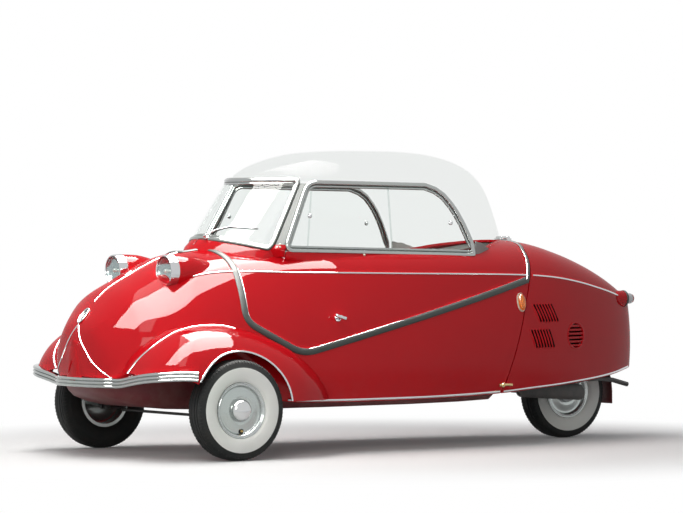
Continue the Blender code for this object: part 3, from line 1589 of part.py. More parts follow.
def fork_bars(name, margin=0):
    """Two arms of the rear wheel's fork and the cross bar that carries them."""
    front = place(ENGINE_REAR) + FORK_RADIUS / 2
    rear = REAR_AXLE_Y + FORK_RADIUS + margin
    return tube(name, [
        (FORK_HALF, rear, TYRE_RADIUS),
        (FORK_HALF, front, FORK_HEIGHT),
        (-FORK_HALF, front, FORK_HEIGHT),
        (-FORK_HALF, rear, TYRE_RADIUS),
    ], FORK_RADIUS + margin)


def make_engine_bay(tools):
    """Subframe, engine, rear fork, chain case, wheel guard and exhaust."""
    frame = subframe("rear_subframe")
    boolean(frame, tools["bulkhead"])
    keep_largest(frame)
    finish(frame, "black_metal")
    block = box("engine_block", (-ENGINE_HALF_WIDTH, place(ENGINE_FRONT), ENGINE_FOOT),
                (ENGINE_HALF_WIDTH, place(ENGINE_REAR), ENGINE_TOP))
    fork_space = as_cutter(fork_bars("cut_fork", SEAT_GAP))
    boolean(block, as_cutter(subframe("cut_subframe", SEAT_GAP)))
    boolean(block, fork_space)
    keep_largest(block)
    finish(block, "black_metal")

    wheel_z = TYRE_RADIUS
    fork = fork_bars("rear_fork")
    axle = rod("axle", (-FORK_HALF, REAR_AXLE_Y, wheel_z), (FORK_HALF, REAR_AXLE_Y, wheel_z),
               AXLE_RADIUS)
    finish(join(fork, axle), "black_metal")

    low = FORK_HALF + FORK_RADIUS / 2
    half = CHAIN_CASE_HEIGHT / 2
    case_front = place(ENGINE_REAR) + CHAIN_CASE_WIDTH
    case = prism("chain_case", rounded([
        (case_front, FORK_HEIGHT - half, half),
        (REAR_AXLE_Y + half, wheel_z - half, half),
        (REAR_AXLE_Y + half, wheel_z + half, half),
        (case_front, FORK_HEIGHT + half + CHAIN_CASE_RISE, half),
    ]), "X", low, low + CHAIN_CASE_WIDTH)
    boolean(case, fork_space)
    keep_largest(case)
    finish(case, "black_metal")

    inner, outer = GUARD_RADIUS, GUARD_RADIUS + GUARD_WALL
    turns = [math.pi * step / GUARD_STEPS for step in range(GUARD_STEPS + 1)]
    arc = [(REAR_AXLE_Y + outer * math.cos(turn), wheel_z + outer * math.sin(turn)) for turn in turns]
    back = [(REAR_AXLE_Y + inner * math.cos(turn), wheel_z + inner * math.sin(turn)) for turn in turns]
    tab_front = place(ENGINE_REAR) + SEAT_GAP
    tab_low, tab_high = GUARD_TAB_HEIGHT, GUARD_TAB_HEIGHT + GUARD_WALL
    split = [index for index, point in enumerate(arc) if point[0] > REAR_AXLE_Y or point[1] > tab_high]
    outline = [(arc[0][0], GUARD_FLAP_HEIGHT)] + [arc[index] for index in split]
    tab_y = REAR_AXLE_Y - math.sqrt(outer * outer - (tab_high - wheel_z) ** 2)
    low_y = REAR_AXLE_Y - math.sqrt(outer * outer - (tab_low - wheel_z) ** 2)
    outline += [(tab_y, tab_high), (tab_front, tab_high), (tab_front, tab_low), (low_y, tab_low)]
    outline += [point for point in arc if point[0] < REAR_AXLE_Y and point[1] < tab_low]
    outline += list(reversed(back)) + [(back[0][0], GUARD_FLAP_HEIGHT)]
    guard = prism("rear_wheel_guard", outline, "X", -GUARD_HALF_WIDTH, GUARD_HALF_WIDTH)
    finish(guard, "dark_red_paint")

    drum = rod("exhaust", (SILENCER_X, place(SILENCER_FRONT), SILENCER_HEIGHT),
               (SILENCER_X, place(SILENCER_REAR), SILENCER_HEIGHT), SILENCER_RADIUS,
               DRUM_SIDES)
    header = tube("header", [
        (ENGINE_HALF_WIDTH + SEAT_GAP, place(HEADER_PLACE), SILENCER_HEIGHT),
        (SILENCER_X - PIPE_RADIUS, place(HEADER_PLACE), SILENCER_HEIGHT),
        (SILENCER_X, place(HEADER_PLACE) + PIPE_RADIUS, SILENCER_HEIGHT),
        (SILENCER_X, place(SILENCER_FRONT) + PIPE_RADIUS, SILENCER_HEIGHT),
    ], PIPE_RADIUS)
    pipe = tube("pipe", [
        (SILENCER_X, place(SILENCER_REAR) - PIPE_RADIUS, PIPE_HEIGHT),
        (SILENCER_X, place(SILENCER_REAR) + PIPE_RADIUS, PIPE_HEIGHT),
        ((PIPE_END_X + SILENCER_X) / 2, along(PIPE_BEND_SHARE), PIPE_HEIGHT),
        (PIPE_END_X, along(PIPE_END_SHARE) - FORK_HALF, PIPE_HEIGHT - PIPE_RADIUS),
        (PIPE_END_X, along(PIPE_END_SHARE), PIPE_HEIGHT - PIPE_RADIUS * 3),
    ], PIPE_RADIUS)
    finish(join(drum, header, pipe), "black_metal")


def make_handle(tools):
    """T handle on the left door side."""
    x = skin_x(HANDLE_PLACE, HANDLE_HEIGHT)
    y, z = place(HANDLE_PLACE), HANDLE_HEIGHT
    stem = rod("door_handle", (x - WALL / 2, y, z), (x + HANDLE_REACH, y, z), HANDLE_STEM,
               THIN_SIDES)
    half = HANDLE_BAR / 2
    lean = HANDLE_BAR / 8
    bar = rod("bar", (x + HANDLE_REACH, y - half, z + lean), (x + HANDLE_REACH, y + half, z - lean),
              HANDLE_STEM, THIN_SIDES)
    join(stem, bar)
    boolean(stem, tools["core"])
    keep_largest(stem)
    finish(stem, "chrome")


def make_hinges(tools):
    """Hinges of the canopy on the right belt and of the tail behind the hoop."""
    y = along(CANOPY_HINGE_SHARE)
    x = -skin_x(CANOPY_HINGE_SHARE * WHEELBASE, HINGE_Z) - HINGE_STAND
    for name, start, low, high in (
            ("canopy_hinge_body", y - CANOPY_HINGE_LENGTH - PIN_GAP / 2,
             HINGE_Z - HINGE_RADIUS, HINGE_Z - HINGE_RADIUS + HINGE_LEAF),
            ("canopy_hinge_leaf", y + PIN_GAP / 2,
             HINGE_Z + HINGE_RADIUS - HINGE_LEAF, HINGE_Z + HINGE_RADIUS)):
        end = start + CANOPY_HINGE_LENGTH
        knuckle = rod(name, (x, start, HINGE_Z), (x, end, HINGE_Z), HINGE_RADIUS)
        leaf = box("leaf", (x, start, low), (x + HINGE_LEAF_REACH, end, high))
        join(knuckle, leaf)
        boolean(knuckle, tools["core"])
        keep_largest(knuckle)
        finish(knuckle, "chrome")

    crown = row_at(BODY_SHARES, TAIL_HINGE_SHARE)[6] * CROWN_HEIGHT
    y, z = along(TAIL_HINGE_SHARE), crown + HINGE_RADIUS
    for name, start, step in (("tail_hinge_body", -HINGE_LENGTH - PIN_GAP / 2, -1),
                              ("tail_hinge_leaf", PIN_GAP / 2, 1)):
        knuckle = rod(name, (start, y, z), (start + HINGE_LENGTH, y, z), HINGE_RADIUS)
        edges = sorted((y, y + step * TAIL_HINGE_REACH))
        leaf = box("leaf", (start, edges[0], z - HINGE_RADIUS * 2), (start + HINGE_LENGTH, edges[1], z))
        join(knuckle, leaf)
        boolean(knuckle, tools["core"])
        keep_largest(knuckle)
        finish(knuckle, "chrome")


def main():
    """Build the car."""
    clear_scene()
    tools = make_cutters()
    make_body(tools)
    make_tail(tools)
    make_canopy_panel(tools)
    make_scuttle(tools)
    make_frames(tools)
    make_glass(tools)
    make_dome(tools)
    make_pan(tools)
    make_fenders(tools)
    make_moulding(tools)
    make_lamps(tools)
    make_bulkhead(tools)
    make_shelf(tools)
    make_dash(tools)
    make_seats(tools)
    make_controls(tools)
    make_engine_bay(tools)
    make_handle(tools)
    make_hinges(tools)
    make_steering_links(tools)
    track = FRONT_TRACK / 2
    make_knuckle("left", 1)
    make_knuckle("right", -1)
    make_wheel("front_left", track, FRONT_AXLE_Y, 1, False)
    make_wheel("front_right", -track, FRONT_AXLE_Y, -1, False)
    make_wheel("rear", 0, REAR_AXLE_Y, 1, True)


main()
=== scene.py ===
"""Looks of the three-wheeled bubble car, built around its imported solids."""

from __future__ import annotations

import logging
import math
from dataclasses import dataclass
from enum import Enum
from typing import Callable, Iterable, Optional, Sequence

import bmesh
import bpy
import numpy as np
from mathutils import Euler, Matrix, Vector
from mathutils.bvhtree import BVHTree


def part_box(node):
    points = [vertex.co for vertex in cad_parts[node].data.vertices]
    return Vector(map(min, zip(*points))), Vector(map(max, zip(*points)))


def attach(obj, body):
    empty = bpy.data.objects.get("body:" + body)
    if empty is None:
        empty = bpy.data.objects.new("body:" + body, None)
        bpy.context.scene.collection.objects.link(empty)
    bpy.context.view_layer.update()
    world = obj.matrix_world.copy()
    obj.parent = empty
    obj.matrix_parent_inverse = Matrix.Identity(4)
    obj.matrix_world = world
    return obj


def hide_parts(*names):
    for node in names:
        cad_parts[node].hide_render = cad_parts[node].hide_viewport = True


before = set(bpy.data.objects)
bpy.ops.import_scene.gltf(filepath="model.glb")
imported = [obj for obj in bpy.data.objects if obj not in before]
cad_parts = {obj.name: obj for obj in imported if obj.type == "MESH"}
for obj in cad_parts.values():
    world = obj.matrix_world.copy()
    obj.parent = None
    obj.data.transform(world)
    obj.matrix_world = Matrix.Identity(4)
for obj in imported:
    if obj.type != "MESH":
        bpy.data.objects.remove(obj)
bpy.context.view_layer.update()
LOG = logging.getLogger("bubble_car")

Outline = list[tuple[float, float]]
SIDES = (("left", 1), ("right", -1))
SHARP_ANGLE = 35.0
WELD = 0.00002

# Overall sizes, in metres
WHEELBASE = 2.030
FRONT_AXLE_Y = -0.9653
REAR_AXLE_Y = FRONT_AXLE_Y + WHEELBASE
BODY_HALF_WIDTH = 0.460
CROWN_HEIGHT = 0.880
ROOF_HEIGHT = 1.251
DOME_HALF_WIDTH = 0.320
FENDER_HALF_WIDTH = 0.614
FENDER_HEIGHT = 0.540
HALF_TRACK = 0.540
WHEEL_RADIUS = 0.2015
WALL = 0.016
STRIP_STEPS = 8
SEAM_GAP = 0.006
HINGE_Z = 0.742

BODY_SHARES = (
    (-0.214, 0.090, 0.378, 0.095, 0.057, 0.505, 0.525, 0.60),
    (-0.209, 0.200, 0.375, 0.225, 0.152, 0.542, 0.568, 0.60),
    (-0.200, 0.360, 0.373, 0.385, 0.250, 0.591, 0.619, 0.60),
    (-0.185, 0.460, 0.370, 0.495, 0.326, 0.623, 0.662, 0.60),
    (-0.165, 0.530, 0.369, 0.592, 0.391, 0.665, 0.714, 0.60),
    (-0.138, 0.591, 0.369, 0.691, 0.446, 0.716, 0.770, 0.60),
    (-0.099, 0.670, 0.369, 0.783, 0.500, 0.740, 0.820, 0.60),
    (-0.059, 0.717, 0.369, 0.826, 0.533, 0.778, 0.867, 0.60),
    (-0.015, 0.743, 0.364, 0.852, 0.570, 0.830, 0.911, 0.62),
    (0.034, 0.761, 0.341, 0.874, 0.615, 0.847, 0.939, 0.66),
    (0.074, 0.793, 0.307, 0.896, 0.652, 0.851, 0.952, 0.70),
    (0.123, 0.848, 0.264, 0.922, 0.702, 0.849, 0.966, 0.74),
    (0.197, 0.902, 0.245, 0.957, 0.765, 0.844, 0.984, 0.78),
    (0.320, 0.935, 0.242, 0.989, 0.848, 0.840, 0.995, 0.80),
    (0.468, 0.943, 0.243, 1.000, 0.887, 0.834, 1.000, 0.80),
    (0.591, 0.917, 0.248, 0.978, 0.874, 0.830, 1.000, 0.80),
    (0.700, 0.870, 0.257, 0.930, 0.830, 0.825, 1.000, 0.80),
    (0.788, 0.813, 0.270, 0.874, 0.765, 0.819, 0.995, 0.78),
    (0.862, 0.748, 0.280, 0.800, 0.700, 0.807, 0.980, 0.76),
    (0.936, 0.657, 0.293, 0.700, 0.613, 0.784, 0.939, 0.74),
    (1.010, 0.543, 0.307, 0.578, 0.504, 0.752, 0.881, 0.72),
    (1.069, 0.435, 0.323, 0.461, 0.400, 0.723, 0.820, 0.70),
    (1.113, 0.330, 0.339, 0.352, 0.304, 0.695, 0.764, 0.68),
    (1.143, 0.235, 0.348, 0.252, 0.213, 0.670, 0.720, 0.66),
    (1.160, 0.135, 0.357, 0.148, 0.122, 0.643, 0.677, 0.64),
    (1.167, 0.043, 0.386, 0.052, 0.039, 0.602, 0.623, 0.60),
)

FENDER_SHARES = (
    (-0.173, 0.407, 0.648, 0.651, 0.602),
    (-0.167, 0.423, 0.731, 0.749, 0.602),
    (-0.148, 0.464, 0.830, 0.863, 0.602),
    (-0.123, 0.505, 0.911, 0.941, 0.602),
    (-0.094, 0.546, 0.967, 0.982, 0.556),
    (-0.049, 0.578, 0.996, 0.997, 0.463),
    (0.000, 0.586, 1.000, 1.000, 0.444),
    (0.049, 0.594, 0.967, 0.997, 0.435),
    (0.099, 0.611, 0.911, 0.977, 0.430),
    (0.148, 0.627, 0.830, 0.936, 0.426),
    (0.177, 0.635, 0.763, 0.896, 0.426),
    (0.207, 0.651, 0.667, 0.847, 0.422),
    (0.232, 0.660, 0.556, 0.790, 0.422),
    (0.246, 0.668, 0.454, 0.741, 0.422),
)

DOME_SHARES = (
    (0.164, 0.898, 0.766, 0.242, 0.895, 2.00),
    (0.202, 0.938, 0.819, 0.261, 0.894, 2.00),
    (0.251, 0.969, 0.850, 0.296, 0.893, 2.00),
    (0.324, 0.992, 0.872, 0.355, 0.891, 2.05),
    (0.436, 1.000, 0.881, 0.443, 0.887, 2.10),
    (0.524, 1.000, 0.884, 0.522, 0.882, 2.10),
    (0.601, 0.994, 0.897, 0.576, 0.851, 2.20),
    (0.660, 0.977, 0.938, 0.621, 0.767, 2.50),
    (0.704, 0.951, 0.988, 0.655, 0.631, 2.80),
    (0.739, 0.915, 0.900, 0.690, 0.635, 2.70),
    (0.764, 0.871, 0.759, 0.724, 0.643, 2.50),
    (0.788, 0.799, 0.584, 0.761, 0.655, 2.30),
    (0.810, 0.735, 0.375, 0.793, 0.667, 2.10),
    (0.833, 0.679, 0.094, 0.830, 0.675, 2.00),
)

SEAM_SHARES = (
    (0.680, 0.220),
    (0.699, 0.298),
    (0.756, 0.682),
    (0.788, 0.835),
    (0.813, 0.938),
    (0.855, 1.006),
    (0.901, 1.057),
)

OPENING_SHARES = (
    (0.000, 0.086),
    (0.500, 0.120),
    (0.800, 0.165),
    (0.900, 0.190),
    (0.985, 0.225),
    (0.985, 0.640),
    (0.930, 0.664),
    (0.750, 0.710),
    (0.480, 0.765),
    (0.240, 0.802),
    (0.000, 0.822),
)

SIDE_REAR_SHARES = (
    (0.6475, 0.690),
    (0.6405, 0.716),
    (0.6300, 0.752),
    (0.6160, 0.791),
    (0.6030, 0.819),
    (0.5860, 0.848),
    (0.5660, 0.868),
    (0.5400, 0.881),
)

MOULDING_SHARES = (
    (0.000, -0.2120, 0.570),
    (0.160, -0.2090, 0.570),
    (0.290, -0.1985, 0.570),
    (0.396, -0.1790, 0.567),
    (0.520, -0.1760, 0.585),
    (0.650, -0.1755, 0.605),
    (0.760, -0.1690, 0.620),
    (0.865, -0.1500, 0.630),
    (0.940, -0.1250, 0.635),
    (0.985, -0.1050, 0.630),
)


def along(share: float) -> float:
    """Place along the car.

    Args:
        share: Share of the wheelbase behind the front axle.

    Returns:
        World Y in metres.
    """
    return FRONT_AXLE_Y + share * WHEELBASE


def place(distance: float) -> float:
    """Place along the car.

    Args:
        distance: Metres behind the front axle.

    Returns:
        World Y in metres.
    """
    return FRONT_AXLE_Y + distance


def smooth_columns(rows: Sequence[Sequence[float]], at: float) -> list[float]:
    """Read a table between its rows with a monotone cubic.

    Args:
        rows: Table whose first column rises.
        at: Value of the first column to read at.

    Returns:
        The row at that place.
    """
    table = np.asarray(rows, float)
    x = table[:, 0]
    step = np.diff(x)[:, None]
    rate = np.diff(table, axis=0) / step
    slopes = np.vstack([rate[:1], rate, rate[-1:]])
    low, high = slopes[:-1], slopes[1:]
    product = low * high
    total = np.where(np.abs(low + high) < 1e-12, 1.0, low + high)
    slope = np.where(product > 0, 2 * product / total, 0.0)
    slope[0], slope[-1] = rate[0], rate[-1]
    i = int(np.clip(np.searchsorted(x, at) - 1, 0, len(x) - 2))
    width = x[i + 1] - x[i]
    t = (at - x[i]) / width
    rise = table[i + 1] - table[i]
    first, second = slope[i] * width, slope[i + 1] * width
    value = table[i] + first * t + (3 * rise - 2 * first - second) * t**2
    return list(value + (first + second - 2 * rise) * t**3)


def rounded(corners: Sequence[tuple[float, float, float]], steps: int = 6) -> Outline:
    """Closed outline whose corners are turned by curves.

    Args:
        corners: Points as (u, v, radius).
        steps: Steps per corner.

    Returns:
        Points of the outline.
    """
    outline: Outline = []
    count = len(corners)
    for index, (u, v, radius) in enumerate(corners):
        here = Vector((u, v))
        if not radius:
            outline.append((u, v))
            continue
        before = Vector(corners[index - 1][:2]) - here
        after = Vector(corners[(index + 1) % count][:2]) - here
        start = here + before.normalized() * min(radius, before.length / 2)
        end = here + after.normalized() * min(radius, after.length / 2)
        for step in range(steps + 1):
            t = step / steps
            point = start.lerp(here, t).lerp(here.lerp(end, t), t)
            outline.append((point.x, point.y))
    return outline


def resample(points: Sequence[Vector], spacing: float, closed: bool = False) -> list[Vector]:
    """Even points along a broken line.

    Args:
        points: Corners of the line.
        spacing: Wanted distance between points.
        closed: Whether the line returns to its start.

    Returns:
        Points at even distances along the line.
    """
    line = [Vector(p) for p in points]
    if closed:
        line.append(line[0].copy())
    lengths = [0.0]
    for a, b in zip(line, line[1:]):
        lengths.append(lengths[-1] + (b - a).length)
    count = max(2, int(round(lengths[-1] / spacing)))
    result = []
    index = 0
    for step in range(count + (0 if closed else 1)):
        at = lengths[-1] * step / count
        while index < len(line) - 2 and at > lengths[index + 1]:
            index += 1
        span = lengths[index + 1] - lengths[index]
        t = (at - lengths[index]) / span if span else 0.0
        result.append(line[index].lerp(line[index + 1], min(t, 1.0)))
    return result


def relax(points: list[Vector], rounds: int = 2) -> list[Vector]:
    """Soften a line while keeping its ends.

    Args:
        points: Points of the line.
        rounds: How often each point moves to its neighbours' middle.

    Returns:
        The softened line.
    """
    line = [p.copy() for p in points]
    for _ in range(rounds):
        inner = [(a + b * 2 + c) / 4 for a, b, c in zip(line, line[1:], line[2:])]
        line = [line[0], *inner, line[-1]]
    return line


class Finish(Enum):
    """Finishes of the car, each with the record's material slot."""

    RED = "red_paint"
    DARK_RED = "dark_red_paint"
    ALUMINIUM = "aluminium"
    CHROME = "chrome"
    GLASS = "clear_glass"
    RUBBER = "rubber"
    BLACK = "black_metal"
    GREY = "grey_trim"
    ORANGE = "orange_lens"
    CLOTH = "seat_cloth"


@dataclass(frozen=True)
class Paint:
    """A glossy or dull coating.

    Attributes:
        colour: Base colour.
        roughness: Roughness under the clear coat.
        coat: Weight of the clear coat.
        sheen: Level of the mirror under the coat.
        metallic: How much the base is metal.
        grain: Size of the surface's fine texture, as a scale.
        relief: Strength of the fine texture.
        dirt: Share of dust and grime, low on the surface and in patches.
    """

    colour: tuple[float, float, float]
    roughness: float = 0.4
    coat: float = 0.0
    sheen: float = 0.5
    metallic: float = 0.0
    grain: float = 260.0
    relief: float = 0.02
    dirt: float = 0.0


@dataclass(frozen=True)
class Weave:
    """A woven cloth.

    Attributes:
        colour: Colour of the threads.
        second: Colour of the crossing threads.
        threads: Threads per metre.
    """

    colour: tuple[float, float, float]
    second: tuple[float, float, float]
    threads: float = 900.0


class NodeTree:
    """Short helper that adds and links nodes in one tree."""

    def __init__(self, tree: bpy.types.NodeTree) -> None:
        """Keep the tree that the nodes go into."""
        self.tree = tree

    def add(self, kind: str, **values: object) -> bpy.types.Node:
        """Add a node.

        Args:
            kind: Node type.
            **values: Properties set on the node.

        Returns:
            The node.
        """
        node = self.tree.nodes.new(kind)
        for key, value in values.items():
            setattr(node, key, value)
        return node

    def link(self, source: bpy.types.NodeSocket, target: bpy.types.NodeSocket) -> None:
        """Link an output to an input.

        Args:
            source: Output socket.
            target: Input socket.
        """
        self.tree.links.new(source, target)

    def feed(self, node: bpy.types.Node, **inputs: object) -> bpy.types.Node:
        """Set a node's inputs by name, from sockets or plain values.

        Args:
            node: Node to feed.
            **inputs: Names with underscores for spaces, and what goes in.

        Returns:
            The node.
        """
        for key, value in inputs.items():
            socket = node.inputs[key.replace("_", " ")]
            if isinstance(value, bpy.types.NodeSocket):
                self.link(value, socket)
            else:
                socket.default_value = value
        return node

    def math(self, operation: str, a: object, b: object = 0.0, clamp: bool = False) -> bpy.types.NodeSocket:
        """Add a math node.

        Args:
            operation: Its operation.
            a: First input.
            b: Second input.
            clamp: Whether the result stays between 0 and 1.

        Returns:
            Its output.
        """
        node = self.add("ShaderNodeMath", operation=operation, use_clamp=clamp)
        for socket, value in zip(node.inputs, (a, b)):
            if isinstance(value, bpy.types.NodeSocket):
                self.link(value, socket)
            else:
                socket.default_value = value
        return node.outputs[0]


class SharedEffects:
    """Node groups that several materials use."""

    def __init__(self) -> None:
        """Make the groups."""
        self.grain = self._grain()
        self.dust = self._dust()
        self.weave = self._weave()
        self.flutes = self._flutes()

    @staticmethod
    def _group(
        name: str, inputs: Sequence[tuple[str, str, float]], outputs: Sequence[tuple[str, str]]
    ) -> bpy.types.NodeTree:
        """Start a node group.

        Args:
            name: Group name.
            inputs: Inputs as (name, socket type, value).
            outputs: Outputs as (name, socket type).

        Returns:
            The group.
        """
        tree = bpy.data.node_groups.new(name, "ShaderNodeTree")
        for label, kind, value in inputs:
            socket = tree.interface.new_socket(label, in_out="INPUT", socket_type=kind)
            if kind == "NodeSocketFloat":
                socket.default_value = value
        for label, kind in outputs:
            tree.interface.new_socket(label, in_out="OUTPUT", socket_type=kind)
        return tree

    def _grain(self) -> bpy.types.NodeTree:
        """Fine relief of a sprayed or cast surface.

        Returns:
            Group that puts out a normal and a value.
        """
        tree = self._group(
            "fine_grain",
            [
                ("Vector", "NodeSocketVector", 0), ("Scale", "NodeSocketFloat", 260),
                ("Strength", "NodeSocketFloat", 0.02)
            ],
            [("Normal", "NodeSocketVector"), ("Value", "NodeSocketFloat")],
        )
        t = NodeTree(tree)
        start, end = t.add("NodeGroupInput"), t.add("NodeGroupOutput")
        noise = t.add("ShaderNodeTexNoise")
        t.feed(noise, Vector=start.outputs["Vector"], Scale=start.outputs["Scale"], Detail=4.0, Roughness=0.6)
        bump = t.add("ShaderNodeBump")
        t.feed(bump, Strength=start.outputs["Strength"], Distance=0.001, Height=noise.outputs["Fac"])
        t.link(bump.outputs["Normal"], end.inputs["Normal"])
        t.link(noise.outputs["Fac"], end.inputs["Value"])
        return tree

    def _dust(self) -> bpy.types.NodeTree:
        """Dust that gathers low on the car and in patches.

        Returns:
            Group that puts out a mask.
        """
        tree = self._group(
            "low_dust",
            [("Vector", "NodeSocketVector", 0), ("Amount", "NodeSocketFloat", 0.2)],
            [("Mask", "NodeSocketFloat")],
        )
        t = NodeTree(tree)
        start, end = t.add("NodeGroupInput"), t.add("NodeGroupOutput")
        patches = t.add("ShaderNodeTexNoise")
        t.feed(patches, Vector=start.outputs["Vector"], Scale=9.0, Detail=6.0, Roughness=0.65)
        split = t.add("ShaderNodeSeparateXYZ")
        t.link(start.outputs["Vector"], split.inputs[0])
        low = t.add("ShaderNodeMapRange")
        t.feed(low, Value=split.outputs["Z"], From_Min=0.05, From_Max=0.55, To_Min=1.0, To_Max=0.25)
        spots = t.add("ShaderNodeMapRange")
        t.feed(spots, Value=patches.outputs["Fac"], From_Min=0.42, From_Max=0.75)
        both = t.math("MULTIPLY", low.outputs[0], spots.outputs[0])
        t.link(t.math("MULTIPLY", both, start.outputs["Amount"], True), end.inputs["Mask"])
        return tree

    def _weave(self) -> bpy.types.NodeTree:
        """Crossing threads of a cloth.

        Returns:
            Group that puts out a height and a mask of the upper threads.
        """
        tree = self._group(
            "cloth_weave",
            [("Vector", "NodeSocketVector", 0), ("Threads", "NodeSocketFloat", 900)],
            [("Height", "NodeSocketFloat"), ("Mask", "NodeSocketFloat")],
        )
        t = NodeTree(tree)
        start, end = t.add("NodeGroupInput"), t.add("NodeGroupOutput")
        bands = []
        for direction in ("X", "Y", "Z"):
            wave = t.add("ShaderNodeTexWave", bands_direction=direction)
            t.feed(wave, Vector=start.outputs["Vector"], Scale=start.outputs["Threads"], Distortion=0.3)
            bands.append(wave.outputs["Fac"])
        pair = t.math("MAXIMUM", bands[0], bands[1])
        height = t.math("MAXIMUM", pair, bands[2])
        t.link(height, end.inputs["Height"])
        t.link(t.math("GREATER_THAN", bands[0], bands[1]), end.inputs["Mask"])
        return tree

    def _flutes(self) -> bpy.types.NodeTree:
        """Upright flutes of a pressed lens.

        Returns:
            Group that puts out a normal.
        """
        tree = self._group(
            "lens_flutes",
            [
                ("Vector", "NodeSocketVector", 0), ("Scale", "NodeSocketFloat", 60),
                ("Strength", "NodeSocketFloat", 0.3)
            ],
            [("Normal", "NodeSocketVector")],
        )
        t = NodeTree(tree)
        start, end = t.add("NodeGroupInput"), t.add("NodeGroupOutput")
        wave = t.add("ShaderNodeTexWave", bands_direction="X", wave_profile="SIN")
        t.feed(wave, Vector=start.outputs["Vector"], Scale=start.outputs["Scale"])
        bump = t.add("ShaderNodeBump")
        t.feed(bump, Strength=start.outputs["Strength"], Distance=0.002, Height=wave.outputs["Fac"])
        t.link(bump.outputs["Normal"], end.inputs["Normal"])
        return tree


